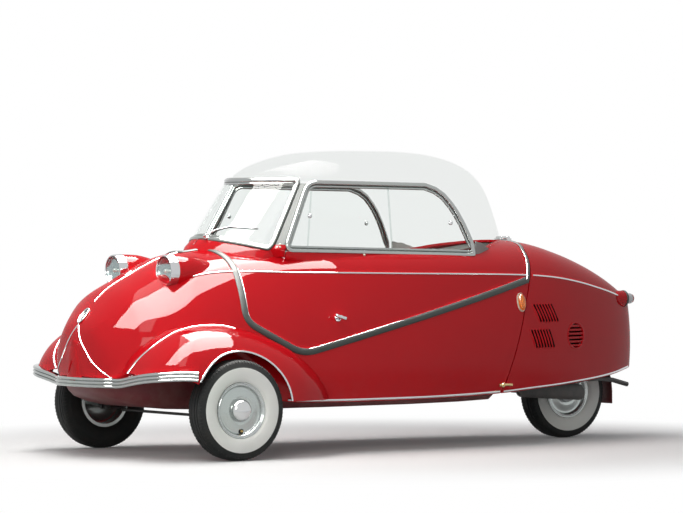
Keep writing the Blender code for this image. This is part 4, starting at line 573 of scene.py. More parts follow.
class MaterialShop:
    """Makes each material once."""

    def __init__(self) -> None:
        """Start with the shared groups and no material."""
        self.effects = SharedEffects()
        self.made: dict[str, bpy.types.Material] = {}

    def _start(self, name: str) -> tuple[bpy.types.Material, NodeTree, bpy.types.Node, bpy.types.NodeSocket]:
        """Start a material with a Principled shader.

        Args:
            name: Material name.

        Returns:
            The material, its tree, its shader and the object coordinates.
        """
        material = bpy.data.materials.new(name)
        material.use_nodes = True
        tree = NodeTree(material.node_tree)
        shader = material.node_tree.nodes["Principled BSDF"]
        coordinates = tree.add("ShaderNodeTexCoord").outputs["Object"]
        return material, tree, shader, coordinates

    def paint(self, name: str, look: Paint) -> bpy.types.Material:
        """Coated or bare hard surface.

        Args:
            name: Material name.
            look: Its finish.

        Returns:
            The material.
        """
        if name in self.made:
            return self.made[name]
        material, t, shader, where = self._start(name)
        grain = t.add("ShaderNodeGroup", node_tree=self.effects.grain)
        t.feed(grain, Vector=where, Scale=look.grain, Strength=look.relief)
        dust = t.add("ShaderNodeGroup", node_tree=self.effects.dust)
        t.feed(dust, Vector=where, Amount=look.dirt)
        drift = t.add("ShaderNodeTexNoise")
        t.feed(drift, Vector=where, Scale=3.0, Detail=3.0)
        tone = t.add("ShaderNodeMix", data_type="RGBA", blend_type="MULTIPLY")
        tone.inputs[0].default_value = 0.10
        tone.inputs[6].default_value = (*look.colour, 1)
        t.link(drift.outputs["Color"], tone.inputs[7])
        dusty = t.add("ShaderNodeMix", data_type="RGBA")
        t.link(dust.outputs["Mask"], dusty.inputs[0])
        t.link(tone.outputs[2], dusty.inputs[6])
        dusty.inputs[7].default_value = (0.30, 0.25, 0.20, 1)
        t.link(dusty.outputs[2], shader.inputs["Base Color"])
        spread = t.add("ShaderNodeMapRange")
        t.feed(
            spread, Value=grain.outputs["Value"], To_Min=look.roughness * 0.85, To_Max=look.roughness * 1.15
        )
        rough = t.math("ADD", spread.outputs[0], t.math("MULTIPLY", dust.outputs["Mask"], 0.4), True)
        t.link(rough, shader.inputs["Roughness"])
        t.link(grain.outputs["Normal"], shader.inputs["Normal"])
        shader.inputs["Metallic"].default_value = look.metallic
        shader.inputs["Specular IOR Level"].default_value = look.sheen
        shader.inputs["Coat Weight"].default_value = look.coat
        shader.inputs["Coat Roughness"].default_value = 0.015
        self.made[name] = material
        return material

    def cloth(self, name: str, look: Weave) -> bpy.types.Material:
        """Woven cloth.

        Args:
            name: Material name.
            look: Its weave.

        Returns:
            The material.
        """
        if name in self.made:
            return self.made[name]
        material, t, shader, where = self._start(name)
        weave = t.add("ShaderNodeGroup", node_tree=self.effects.weave)
        t.feed(weave, Vector=where, Threads=look.threads)
        mix = t.add("ShaderNodeMix", data_type="RGBA")
        t.link(weave.outputs["Mask"], mix.inputs[0])
        mix.inputs[6].default_value = (*look.colour, 1)
        mix.inputs[7].default_value = (*look.second, 1)
        t.link(mix.outputs[2], shader.inputs["Base Color"])
        bump = t.add("ShaderNodeBump")
        t.feed(bump, Strength=0.25, Distance=0.0006, Height=weave.outputs["Height"])
        t.link(bump.outputs["Normal"], shader.inputs["Normal"])
        t.feed(shader, Roughness=0.92, Sheen_Weight=0.25)
        self.made[name] = material
        return material

    def clear(self, name: str, tint: tuple[float, float, float], gloss: float = 1.0) -> bpy.types.Material:
        """Thin clear pane that lets light through and mirrors at its skin.

        Args:
            name: Material name.
            tint: Colour of the light that passes.
            gloss: Strength of the mirror.

        Returns:
            The material.
        """
        if name in self.made:
            return self.made[name]
        material, t, shader, where = self._start(name)
        wear = t.add("ShaderNodeTexNoise")
        t.feed(wear, Vector=where, Scale=6.0, Detail=4.0)
        haze = t.add("ShaderNodeMapRange")
        t.feed(haze, Value=wear.outputs["Fac"], From_Min=0.35, From_Max=0.8, To_Min=0.01, To_Max=0.035)
        passing = t.add("ShaderNodeBsdfTransparent")
        passing.inputs["Color"].default_value = (*tint, 1)
        mirror = t.add("ShaderNodeBsdfGlossy")
        mirror.inputs["Color"].default_value = (1, 1, 1, 1)
        t.link(haze.outputs[0], mirror.inputs["Roughness"])
        rim = t.add("ShaderNodeFresnel")
        rim.inputs["IOR"].default_value = 1.5
        facing = t.math("SUBTRACT", 1.0, t.add("ShaderNodeNewGeometry").outputs["Backfacing"])
        share = t.math("MULTIPLY", t.math("MULTIPLY", rim.outputs[0], gloss), facing, True)
        mix = t.add("ShaderNodeMixShader")
        t.link(share, mix.inputs[0])
        t.link(passing.outputs[0], mix.inputs[1])
        t.link(mirror.outputs[0], mix.inputs[2])
        material.node_tree.nodes.remove(shader)
        output = material.node_tree.nodes["Material Output"]
        t.link(mix.outputs[0], output.inputs["Surface"])
        self.made[name] = material
        return material

    def lens(
        self, name: str, colour: tuple[float, float, float], flutes: float, clear: float
    ) -> bpy.types.Material:
        """Pressed lens with flutes.

        Args:
            name: Material name.
            colour: Colour of the lens.
            flutes: Scale of its flutes.
            clear: How much light passes.

        Returns:
            The material.
        """
        if name in self.made:
            return self.made[name]
        material, t, shader, where = self._start(name)
        group = t.add("ShaderNodeGroup", node_tree=self.effects.flutes)
        t.feed(group, Vector=where, Scale=flutes, Strength=0.35)
        t.link(group.outputs["Normal"], shader.inputs["Normal"])
        shader.inputs["Base Color"].default_value = (*colour, 1)
        t.feed(shader, Roughness=0.06, Transmission_Weight=clear, IOR=1.45, Coat_Weight=0.15)
        self.made[name] = material
        return material

    def red(self) -> bpy.types.Material:
        """The body's red enamel."""
        return self.paint(
            "red_enamel", Paint((0.58, 0.006, 0.012), 0.42, coat=0.32, sheen=0.0, relief=0.003, dirt=0.02)
        )

    def underside(self) -> bpy.types.Material:
        """Dull dark red below the body."""
        return self.paint("underside_enamel", Paint((0.13, 0.010, 0.014), 0.5, relief=0.05, dirt=0.35))

    def chrome(self) -> bpy.types.Material:
        """Polished chrome."""
        return self.paint(
            "polished_chrome", Paint((0.58, 0.59, 0.60), 0.06, metallic=1.0, relief=0.003, dirt=0.04)
        )

    def aluminium(self) -> bpy.types.Material:
        """Satin aluminium trim."""
        return self.paint(
            "satin_aluminium", Paint((0.38, 0.40, 0.39), 0.10, metallic=1.0, relief=0.004, dirt=0.04)
        )

    def silver(self) -> bpy.types.Material:
        """Silver painted wheel disc."""
        return self.paint(
            "silver_wheel_paint",
            Paint((0.44, 0.48, 0.47), 0.20, metallic=0.85, coat=0.2, relief=0.02, dirt=0.20)
        )

    def rubber(self) -> bpy.types.Material:
        """Black tyre rubber."""
        return self.paint(
            "tyre_rubber", Paint((0.012, 0.014, 0.014), 0.62, sheen=0.25, grain=420, relief=0.12, dirt=0.05)
        )

    def white_wall(self) -> bpy.types.Material:
        """White rubber of the tyre's side."""
        return self.paint(
            "white_side_rubber",
            Paint((0.86, 0.88, 0.84), 0.50, sheen=0.3, grain=200, relief=0.04, dirt=0.07)
        )

    def seal(self) -> bpy.types.Material:
        """Dark rubber of seals."""
        return self.paint(
            "seal_rubber", Paint((0.035, 0.045, 0.041), 0.50, sheen=0.4, grain=500, relief=0.05, dirt=0.04)
        )

    def painted_shade_black(self) -> bpy.types.Material:
        """Black that paints the shade inside the louvre slots and behind the vents."""
        return self.paint("slot_shade", Paint((0.004, 0.003, 0.003), 0.9, sheen=0.0, relief=0.0))

    def black(self) -> bpy.types.Material:
        """Black painted metal."""
        return self.paint("black_enamel", Paint((0.022, 0.022, 0.022), 0.42, relief=0.05, dirt=0.30))

    def grey(self) -> bpy.types.Material:
        """Grey inner trim."""
        return self.paint("grey_inner_trim", Paint((0.33, 0.33, 0.32), 0.85, grain=700, relief=0.15))

    def mat(self) -> bpy.types.Material:
        """Ribbed dark floor mat."""
        return self.paint("floor_mat_rubber", Paint((0.03, 0.03, 0.03), 0.8, grain=150, relief=0.2, dirt=0.3))

    def ivory(self) -> bpy.types.Material:
        """Ivory plastic."""
        return self.paint("ivory_plastic", Paint((0.72, 0.66, 0.52), 0.35, relief=0.01))

    def seat(self) -> bpy.types.Material:
        """Seat cloth."""
        return self.cloth("seat_weave", Weave((0.34, 0.32, 0.28), (0.22, 0.21, 0.19)))

    def glass(self) -> bpy.types.Material:
        """Window glass."""
        return self.clear("window_glass", (0.955, 0.965, 0.96), 0.3)

    def dome(self) -> bpy.types.Material:
        """Clear plastic of the dome."""
        return self.clear("dome_acrylic", (0.955, 0.96, 0.957), 0.04)


def new_object(name: str, verts: Sequence, faces: Sequence) -> bpy.types.Object:
    """Object at the origin from plain geometry.

    Args:
        name: Object name.
        verts: Vertex places.
        faces: Vertex indices of each face.

    Returns:
        The object, linked to the scene.
    """
    mesh = bpy.data.meshes.new(name)
    mesh.from_pydata([tuple(v) for v in verts], [], [tuple(f) for f in faces])
    obj = bpy.data.objects.new(name, mesh)
    bpy.context.scene.collection.objects.link(obj)
    return obj


def bake(obj: bpy.types.Object) -> bpy.types.Object:
    """Turn modifiers into the object's own mesh.

    Args:
        obj: Object with modifiers.

    Returns:
        The same object.
    """
    bpy.context.view_layer.update()
    evaluated = obj.evaluated_get(bpy.context.evaluated_depsgraph_get())
    mesh = bpy.data.meshes.new_from_object(evaluated)
    obj.modifiers.clear()
    obj.data = mesh
    return obj


def smooth_shade(obj: bpy.types.Object, angle: float = SHARP_ANGLE) -> bpy.types.Object:
    """Weld a mesh, turn its faces outwards and shade it smooth up to an angle.

    Args:
        obj: Object to finish.
        angle: Edges sharper than this stay sharp, in degrees.

    Returns:
        The same object.
    """
    work = bmesh.new()
    work.from_mesh(obj.data)
    bmesh.ops.remove_doubles(work, verts=work.verts, dist=WELD)
    bmesh.ops.dissolve_degenerate(work, edges=work.edges, dist=WELD)
    bmesh.ops.recalc_face_normals(work, faces=work.faces)
    work.to_mesh(obj.data)
    work.free()
    obj.data.shade_smooth()
    obj.data.set_sharp_from_angle(angle=math.radians(angle))
    return obj


def thicken(obj: bpy.types.Object, thickness: float, offset: float = -1, even: bool = False) -> None:
    """Give a sheet a wall.

    Args:
        obj: The sheet.
        thickness: Thickness of the wall.
        offset: -1 puts the wall inside, 0 on both sides.
        even: Whether the thickness is kept at edges.
    """
    modifier = obj.modifiers.new("wall", "SOLIDIFY")
    modifier.thickness = thickness
    modifier.offset = offset
    modifier.use_even_offset = even


def boolean(
    target: bpy.types.Object, tool: bpy.types.Object, operation: str = "DIFFERENCE"
) -> bpy.types.Object:
    """Cut, join or intersect two meshes.

    Args:
        target: Object that is changed.
        tool: Object that cuts it.
        operation: Boolean operation.

    Returns:
        The target.
    """
    modifier = target.modifiers.new("cut", "BOOLEAN")
    modifier.operation = operation
    modifier.solver = "EXACT"
    modifier.object = tool
    bake(target)
    return smooth_shade(target)


def drop(*objects: bpy.types.Object) -> None:
    """Remove helper objects.

    Args:
        *objects: Objects to remove.
    """
    for obj in objects:
        bpy.data.objects.remove(obj, do_unlink=True)


def merge(name: str, parts: Sequence[bpy.types.Object]) -> bpy.types.Object:
    """Join several meshes into one object and keep their material slots.

    Args:
        name: Name of the result.
        parts: Objects to join; they are removed.

    Returns:
        The joined object.
    """
    materials: list[bpy.types.Material] = []
    work = bmesh.new()
    for part in parts:
        first = len(work.faces)
        work.from_mesh(part.data)
        work.faces.ensure_lookup_table()
        slots = [slot for slot in part.data.materials if slot]
        for slot in slots:
            if slot not in materials:
                materials.append(slot)
        if slots:
            for face in work.faces[first:]:
                own = slots[min(face.material_index, len(slots) - 1)]
                face.material_index = materials.index(own)
    mesh = bpy.data.meshes.new(name)
    work.to_mesh(mesh)
    work.free()
    for material in materials:
        mesh.materials.append(material)
    obj = bpy.data.objects.new(name, mesh)
    bpy.context.scene.collection.objects.link(obj)
    drop(*parts)
    return obj


def keep_largest(obj: bpy.types.Object) -> bpy.types.Object:
    """Keep the piece of a cut mesh that has the most faces.

    Args:
        obj: Object that may have loose pieces.

    Returns:
        The same object.
    """
    work = bmesh.new()
    work.from_mesh(obj.data)
    seen: set = set()
    groups = []
    for face in work.faces:
        if face in seen:
            continue
        group = [face]
        seen.add(face)
        for member in group:
            for edge in member.edges:
                for other in edge.link_faces:
                    if other not in seen:
                        seen.add(other)
                        group.append(other)
        groups.append(group)
    groups.sort(key=len)
    loose = [face for group in groups[:-1] for face in group]
    bmesh.ops.delete(work, geom=loose, context="FACES")
    work.to_mesh(obj.data)
    work.free()
    return obj


def mirrored(obj: bpy.types.Object, name: str) -> bpy.types.Object:
    """Copy for the other side of the car.

    Args:
        obj: Left-hand object.
        name: Name of the copy.

    Returns:
        The mirrored copy.
    """
    other = bpy.data.objects.new(name, obj.data.copy())
    bpy.context.scene.collection.objects.link(other)
    other.data.transform(Matrix.Diagonal((-1, 1, 1, 1)))
    other.data.flip_normals()
    return other


def grid_object(name: str, grid: np.ndarray, closed: bool = False, caps: bool = False) -> bpy.types.Object:
    """Surface through a grid of points.

    Args:
        name: Object name.
        grid: Points as rings by places by 3.
        closed: Whether each ring returns to its start.
        caps: Whether the first and last ring are filled.

    Returns:
        The object.
    """
    rings, count = grid.shape[:2]
    around = count if closed else count - 1
    faces = []
    for ring in range(rings - 1):
        for index in range(around):
            after = (index + 1) % count
            low, high = ring * count, (ring + 1) * count
            faces.append((low + index, high + index, high + after, low + after))
    if caps:
        faces.append(tuple(range(count)))
        faces.append(tuple(reversed(range((rings - 1) * count, rings * count))))
    return new_object(name, grid.reshape(-1, 3), faces)


def lathe(
    name: str, profile: Sequence[tuple[float, float]], matrix: Matrix, steps: int = 64,
    angle: float = SHARP_ANGLE
) -> bpy.types.Object:
    """Turned shape.

    Args:
        name: Object name.
        profile: Points as (radius, height); a radius of zero closes on the axis.
        matrix: Where the turned shape goes.
        steps: Steps round the axis.
        angle: Edges sharper than this stay sharp.

    Returns:
        The object.
    """
    turns = np.linspace(0, 2 * math.pi, steps, endpoint=False)
    grid = np.array([[(r * math.cos(t), r * math.sin(t), h) for t in turns] for r, h in profile])
    obj = grid_object(name, grid, closed=True)
    obj.data.transform(matrix)
    return smooth_shade(obj, angle)


def tube(
    name: str, points: Sequence[Vector], radius: float, cyclic: bool = False, sides: int = 16
) -> bpy.types.Object:
    """Round bar along points.

    Args:
        name: Object name.
        points: Places along the bar.
        radius: Its radius.
        cyclic: Whether it returns to its start.
        sides: Sides of its section.

    Returns:
        The object.
    """
    line = [Vector(p) for p in points]
    count = len(line)
    rings = []
    side = None
    for index, point in enumerate(line):
        before = line[index - 1] if cyclic or index else point
        after = line[(index + 1) % count] if cyclic or index < count - 1 else point
        run = (after - before).normalized()
        if side is None:
            side = run.orthogonal().normalized()
        side = (side - run * side.dot(run)).normalized()
        up = run.cross(side)
        rings.append([
            point + side * radius * math.cos(turn) + up * radius * math.sin(turn)
            for turn in (2 * math.pi * step / sides for step in range(sides))
        ])
    if cyclic:
        rings.append(rings[0])
    obj = grid_object(name, np.array(rings), closed=True, caps=not cyclic)
    return smooth_shade(obj, 50)


@dataclass(frozen=True)
class Station:
    """One place along a swept strip.

    Attributes:
        point: Middle of the strip's foot.
        across: Direction over its width.
        up: Direction out of the surface.
        scale: Size of the section here.
    """

    point: Vector
    across: Vector
    up: Vector
    scale: float = 1.0


def sweep(
    name: str, stations: Sequence[Station], profile: Sequence[tuple[float, float]], cyclic: bool = False,
    angle: float = 40.0
) -> bpy.types.Object:
    """Strip of one section along stations.

    Args:
        name: Object name.
        stations: Places along the strip.
        profile: Closed section as (across, up).
        cyclic: Whether it returns to its start.
        angle: Edges sharper than this stay sharp.

    Returns:
        The object.
    """
    rings = [
        [s.point + (s.across * a + s.up * u) * s.scale for a, u in profile]
        for s in stations
    ]
    if cyclic:
        rings.append(rings[0])
    obj = grid_object(name, np.array(rings), closed=True, caps=not cyclic)
    return smooth_shade(obj, angle)


def half_round(width: float, height: float, sink: float) -> Outline:
    """Section of a half-round strip whose foot is sunk into its surface.

    Args:
        width: Width of the strip.
        height: How far it stands out.
        sink: How deep its foot goes.

    Returns:
        Closed section.
    """
    turns = (math.pi * step / STRIP_STEPS for step in range(STRIP_STEPS + 1))
    crown = [(width / 2 * math.cos(turn), height * math.sin(turn)) for turn in turns]
    return crown + [(-width / 2, -sink), (width / 2, -sink)]


def prism(name: str, outline: Outline, axis: str, low: float, high: float) -> bpy.types.Object:
    """Solid of a flat outline extruded along an axis.

    Args:
        name: Object name.
        outline: Points in the plane square to the axis.
        axis: X, Y or Z.
        low: Start along the axis.
        high: End along the axis.

    Returns:
        The object.
    """
    place_at: dict[str, Callable[[float, float, float], tuple]] = {
        "X": lambda u, v, w: (w, u, v),
        "Y": lambda u, v, w: (u, w, v),
        "Z": lambda u, v, w: (u, v, w),
    }
    rings = [[place_at[axis](u, v, w) for u, v in outline] for w in (low, high)]
    return smooth_shade(grid_object(name, np.array(rings), closed=True, caps=True))


def block(
    name: str, low: Sequence[float], high: Sequence[float], bevel: float = 0.002, segments: int = 2
) -> bpy.types.Object:
    """Block with rounded edges.

    Args:
        name: Object name.
        low: Lowest corner.
        high: Highest corner.
        bevel: Width of its rounded edges.
        segments: Steps over each edge.

    Returns:
        The object.
    """
    outline = [(low[0], low[1]), (high[0], low[1]), (high[0], high[1]), (low[0], high[1])]
    obj = prism(name, outline, "Z", low[2], high[2])
    round_edges(obj, bevel, segments)
    return obj


def round_edges(obj: bpy.types.Object, width: float, segments: int = 2) -> bpy.types.Object:
    """Round an object's sharp edges.

    Args:
        obj: Object to soften.
        width: Width of the rounding.
        segments: Steps over each edge.

    Returns:
        The same object.
    """
    modifier = obj.modifiers.new("round", "BEVEL")
    modifier.width = width
    modifier.segments = segments
    modifier.limit_method = "ANGLE"
    modifier.angle_limit = math.radians(SHARP_ANGLE)
    modifier.harden_normals = False
    bake(obj)
    return smooth_shade(obj, 30)


CAP_STEPS = 6
CAP_TURN = 0.97
SECTION_CENTRE = 0.55


class Form:
    """The car's smooth surfaces as grids of points."""

    SPACING = 0.011
    QUICK_SHARE = 1.8
    SIDE_STEPS = 14
    CROWN_STEPS = 16
    FENDER_STEPS = 22
    FENDER_POWER = 2 / 2.2
    DOME_STEPS = 48
    BODY_FILTER = 0.020
    FENDER_FILTER = 0.012
    DOME_FILTER = 0.022
    NOSE_REACH = -0.008
    TAIL_REACH = 0.006

    def __init__(self) -> None:
        """Make the grids of body, fender and dome."""
        self.spacing = self.SPACING * 1.0
        self.body = self._body_grid()
        self.fender = self._fender_grid()
        self.dome = self._dome_grid()

    @staticmethod
    def _spread(read: Callable[[float], list], low: float, high: float, spacing: float) -> np.ndarray:
        """Rings at even distances along a form.

        Args:
            read: Ring of points at a table place.
            low: First table place.
            high: Last table place.
            spacing: Distance between rings.

        Returns:
            Grid of points.
        """
        dense = np.linspace(low, high, 400)
        rings = np.array([read(at) for at in dense])
        step = np.linalg.norm(np.diff(rings, axis=0), axis=2)
        length = np.concatenate([[0], np.cumsum(np.percentile(step, 80, axis=1))])
        count = int(length[-1] / spacing)
        places = np.interp(np.linspace(0, length[-1], count), length, dense)
        return np.array([read(at) for at in places])

    @staticmethod
    def _soften(grid: np.ndarray, width: float) -> np.ndarray:
        """Smooth a grid from ring to ring and keep its ends.

        Args:
            grid: Grid of points.
            width: Width of the filter in rings.

        Returns:
            The smoothed grid.
        """
        reach = int(width * 3) + 1
        start = 2 * grid[:1] - grid[reach:0:-1]
        end = 2 * grid[-1:] - grid[-2:-reach - 2:-1]
        padded = np.concatenate([start, grid, end])
        weights = np.exp(-0.5 * (np.arange(-reach, reach + 1) / width) ** 2)
        weights /= weights.sum()
        return sum(w * padded[i:i + len(grid)] for i, w in enumerate(weights))

    def _body_ring(self, share: float) -> list:
        """Ring of the body.

        Args:
            share: Place along the wheelbase.

        Returns:
            Points from the left low edge over the crown to the right.
        """
        row = smooth_columns(BODY_SHARES, share)
        low = np.array((row[1] * BODY_HALF_WIDTH, row[2] * CROWN_HEIGHT))
        belt = np.array((row[4] * BODY_HALF_WIDTH, row[5] * CROWN_HEIGHT))
        crown = np.array((0.0, row[6] * CROWN_HEIGHT))
        bend = np.array((belt[0] * row[7], crown[1]))
        bulge = row[3] * BODY_HALF_WIDTH - (low[0] + belt[0]) / 2
        half = []
        for step in range(self.SIDE_STEPS):
            t = step / self.SIDE_STEPS
            x, z = low + (belt - low) * t
            half.append((x + bulge * 4 * t * (1 - t), z))
        for step in range(self.CROWN_STEPS + 1):
            t = step / self.CROWN_STEPS
            x, z = belt * (1 - t) ** 2 + bend * 2 * t * (1 - t) + crown * t**2
            half.append((x, z))
        y = along(share)
        ring = [(x, y, z) for x, z in half]
        return ring + [(-x, y, z) for x, z in reversed(half[:-1])]

    def _body_grid(self) -> np.ndarray:
        """Grid of the whole body with rounded ends.

        Returns:
            Grid of points.
        """
        grid = self._spread(self._body_ring, BODY_SHARES[0][0], BODY_SHARES[-1][0], self.spacing)
        grid = self._soften(grid, self.BODY_FILTER / self.spacing)
        nose, tail = self._cap(grid[0], self.NOSE_REACH), self._cap(grid[-1], self.TAIL_REACH)
        return np.concatenate([nose[::-1], grid, tail])

    @staticmethod
    def _cap(ring: np.ndarray, reach: float) -> np.ndarray:
        """Rings that close an end roundly.

        Args:
            ring: Last ring.
            reach: How far the end stands out along Y.

        Returns:
            The closing rings, from large to small.
        """
        centre = (ring.min(0) + ring.max(0)) / 2
        rings = []
        for step in range(1, CAP_STEPS + 1):
            turn = math.pi / 2 * step / CAP_STEPS * CAP_TURN
            inner = centre + (ring - centre) * math.cos(turn)
            inner[:, 1] = ring[:, 1] + reach * math.sin(turn)
            rings.append(inner)
        return np.array(rings)

    def _fender_ring(self, share: float) -> list:
        """Ring of the left fender.

        Args:
            share: Place along the wheelbase.

        Returns:
            Points from its outer lip to its inner ridge.
        """
        row = smooth_columns(FENDER_SHARES, share)
        inner, outer = row[1] * FENDER_HALF_WIDTH, row[3] * FENDER_HALF_WIDTH
        ridge, lip = row[2] * FENDER_HEIGHT, row[4] * FENDER_HEIGHT
        ring = []
        for step in range(self.FENDER_STEPS + 1):
            turn = math.pi / 2 * step / self.FENDER_STEPS
            wide = math.cos(turn) ** self.FENDER_POWER
            high = math.sin(turn) ** self.FENDER_POWER
            ring.append((inner + (outer - inner) * wide, along(share), lip + (ridge - lip) * high))
        return ring

    def _fender_grid(self) -> np.ndarray:
        """Grid of the left fender.

        Returns:
            Grid of points.
        """
        spacing = self.spacing * 0.7
        grid = self._spread(self._fender_ring, FENDER_SHARES[0][0], FENDER_SHARES[-1][0], spacing)
        return self._soften(grid, self.FENDER_FILTER / spacing)

    @staticmethod
    def _dome_ring(at: float) -> list:
        """Ring of the dome.

        Args:
            at: Place between the first table row at 0 and the last at 1.

        Returns:
            Points from the left foot over the crown to the right foot.
        """
        count = len(DOME_SHARES)
        numbered = [(index / (count - 1),) + row for index, row in enumerate(DOME_SHARES)]
        row = smooth_columns(numbered, at)
        crown_y, crown_z = along(row[1]), row[2] * ROOF_HEIGHT
        foot_x, foot_y, foot_z = row[3] * DOME_HALF_WIDTH, along(row[4]), row[5] * ROOF_HEIGHT
        ring = []
        for step in range(Form.DOME_STEPS + 1):
            turn = math.pi * step / Form.DOME_STEPS
            across = math.copysign(abs(math.cos(turn)) ** (2 / row[6]), math.cos(turn))
            up = abs(math.sin(turn)) ** (2 / row[6])
            ring.append((foot_x * across, crown_y + (foot_y - crown_y) * across * across,
                         foot_z + (crown_z - foot_z) * up))
        return ring

    def _dome_grid(self) -> np.ndarray:
        """Grid of the roof dome.

        Returns:
            Grid of points.
        """
        spacing = self.spacing * 1.3
        grid = self._spread(self._dome_ring, 0.0, 1.0, spacing)
        return self._soften(grid, self.DOME_FILTER / spacing)

    @staticmethod
    def section(grid: np.ndarray, y: float) -> np.ndarray:
        """Ring of a grid at one place along the car.

        Args:
            grid: Grid whose rings lie square to the car.
            y: Place along the car.

        Returns:
            Points of the ring.
        """
        line = grid[:, 0, 1]
        return np.array([
            [np.interp(y, line, grid[:, index, 0]), y, np.interp(y, line, grid[:, index, 2])]
            for index in range(grid.shape[1])
        ])

    def belt(self, y: float, side: int = 1) -> Vector:
        """Place of the belt crease.

        Args:
            y: Place along the car.
            side: 1 for left, -1 for right.

        Returns:
            The point on the crease.
        """
        column = self.body[:, self.SIDE_STEPS]
        x = np.interp(y, column[:, 1], column[:, 0])
        z = np.interp(y, column[:, 1], column[:, 2])
        return Vector((side * x, y, z))


class Probe:
    """Finds points and normals on a surface."""

    def __init__(self, *grids: np.ndarray) -> None:
        """Make a search tree.

        Args:
            grids: Grids of points that form the surface.
        """
        verts: list = []
        faces: list = []
        for grid in grids:
            rings, count = grid.shape[:2]
            first = len(verts)
            verts += [tuple(p) for p in grid.reshape(-1, 3)]
            for ring in range(rings - 1):
                for index in range(count - 1):
                    a = first + ring * count + index
                    faces.append((a, a + count, a + count + 1, a + 1))
        self.tree = BVHTree.FromPolygons(verts, faces)

    def ray(
        self, origin: Sequence[float], direction: Sequence[float], outward: Sequence[float]
    ) -> tuple[Vector, Vector]:
        """Point and averaged outward normal where a ray meets the surface.

        Args:
            origin: Where the ray starts.
            direction: Where it goes.
            outward: Direction that the normal has to agree with.

        Returns:
            The point and the normal.
        """
        start, run = Vector(origin), Vector(direction).normalized()
        point, normal, _, _ = self.tree.ray_cast(start, run)
        if point is None:
            point, normal, _, _ = self.tree.find_nearest(start)
        total = normal.copy() if normal.dot(Vector(outward)) > 0 else -normal
        for shift in (run.orthogonal(), run.cross(run.orthogonal())):
            for size in (0.006, -0.006):
                other, near, _, _ = self.tree.ray_cast(start + shift.normalized() * size, run)
                if other is not None and (other - point).length < 0.03:
                    total += near if near.dot(Vector(outward)) > 0 else -near
        return point, total.normalized()

    def side(self, y: float, z: float, side: int = 1) -> tuple[Vector, Vector]:
        """Point on the flank.

        Args:
            y: Place along the car.
            z: Height.
            side: 1 for left, -1 for right.

        Returns:
            The point and the normal.
        """
        return self.ray((side * 2, y, z), (-side, 0, 0), (side, 0, 0.2))

    def top(self, x: float, y: float) -> tuple[Vector, Vector]:
        """Point on the upper side.

        Args:
            x: Place across the car.
            y: Place along the car.

        Returns:
            The point and the normal.
        """
        return self.ray((x, y, 3), (0, 0, -1), (0, 0, 1))

    def radial(self, y: float, turn: float) -> tuple[Vector, Vector]:
        """Point seen from inside a section.

        Args:
            y: Place along the car.
            turn: Angle from the left, over the top, in radians.

        Returns:
            The point and the normal.
        """
        run = Vector((math.cos(turn), 0, math.sin(turn)))
        return self.ray((0, y, SECTION_CENTRE), run, run)

    def stations(
        self, points: Sequence[tuple[Vector, Vector]], lift: float = 0.0, cyclic: bool = False
    ) -> list[Station]:
        """Stations of a strip that follows points on the surface.

        Args:
            points: Points with their normals.
            lift: How far the strip's foot stands off the surface.
            cyclic: Whether the strip returns to its start.

        Returns:
            The stations.
        """
        result = []
        count = len(points)
        for index, (point, normal) in enumerate(points):
            before = points[index - 1][0] if cyclic or index else point
            after = points[(index + 1) % count][0] if cyclic or index < count - 1 else point
            run = (after - before).normalized()
            across = normal.cross(run).normalized()
            result.append(Station(point + normal * lift, across, normal))
        return result


class Crew:
    """Puts finished pieces into the frame."""

    def __init__(self, shop: MaterialShop, repeater: Repeater) -> None:
        """Start with no piece.

        Args:
            shop: Makes the materials.
            repeater: Repeats small pieces.
        """
        self.shop = shop
        self.repeater = repeater
        self.count = 0

    def add(
        self, obj: bpy.types.Object, body: str, finish: Finish,
        material: Optional[bpy.types.Material] = None, stands_for: Iterable[str] = ()
    ) -> bpy.types.Object:
        """Finish a piece and let it ride on its body.

        Args:
            obj: The piece.
            body: Body it rides on.
            finish: Its slot in the record; not used.
            material: Its material, unless it has its own.
            stands_for: CAD nodes that it replaces.

        Returns:
            The piece.
        """
        if material is not None:
            obj.data.materials.clear()
            obj.data.materials.append(material)
        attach(obj, body)
        nodes = list(stands_for)
        if nodes:
            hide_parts(*nodes)
        self.count += 1
        return obj


def seam_line(shift: float) -> Outline:
    """Tail seam in (y, z).

    Args:
        shift: Distance that it is moved along the car.

    Returns:
        Points from the sill to above the crown.
    """
    dense = np.linspace(SEAM_SHARES[0][0], SEAM_SHARES[-1][0], 40)
    table = np.array(SEAM_SHARES)
    return [(along(s) + shift, float(np.interp(s, table[:, 0], table[:, 1])) * CROWN_HEIGHT) for s in dense]


def seam_y(height: float) -> float:
    """Place of the tail seam at a height.

    Args:
        height: World Z.

    Returns:
        World Y.
    """
    table = np.array(SEAM_SHARES)
    return along(float(np.interp(height / CROWN_HEIGHT, table[:, 1], table[:, 0])))


HOOP_WIDTH = 0.018
DOOR_TOP = 0.838
DOOR_SHOULDER = (0.128, 0.545)
DOOR_POINT = (0.380, 0.408)
DOOR_TAIL_HEIGHT = 0.696
FRONT_SEAM_TOP = 0.155


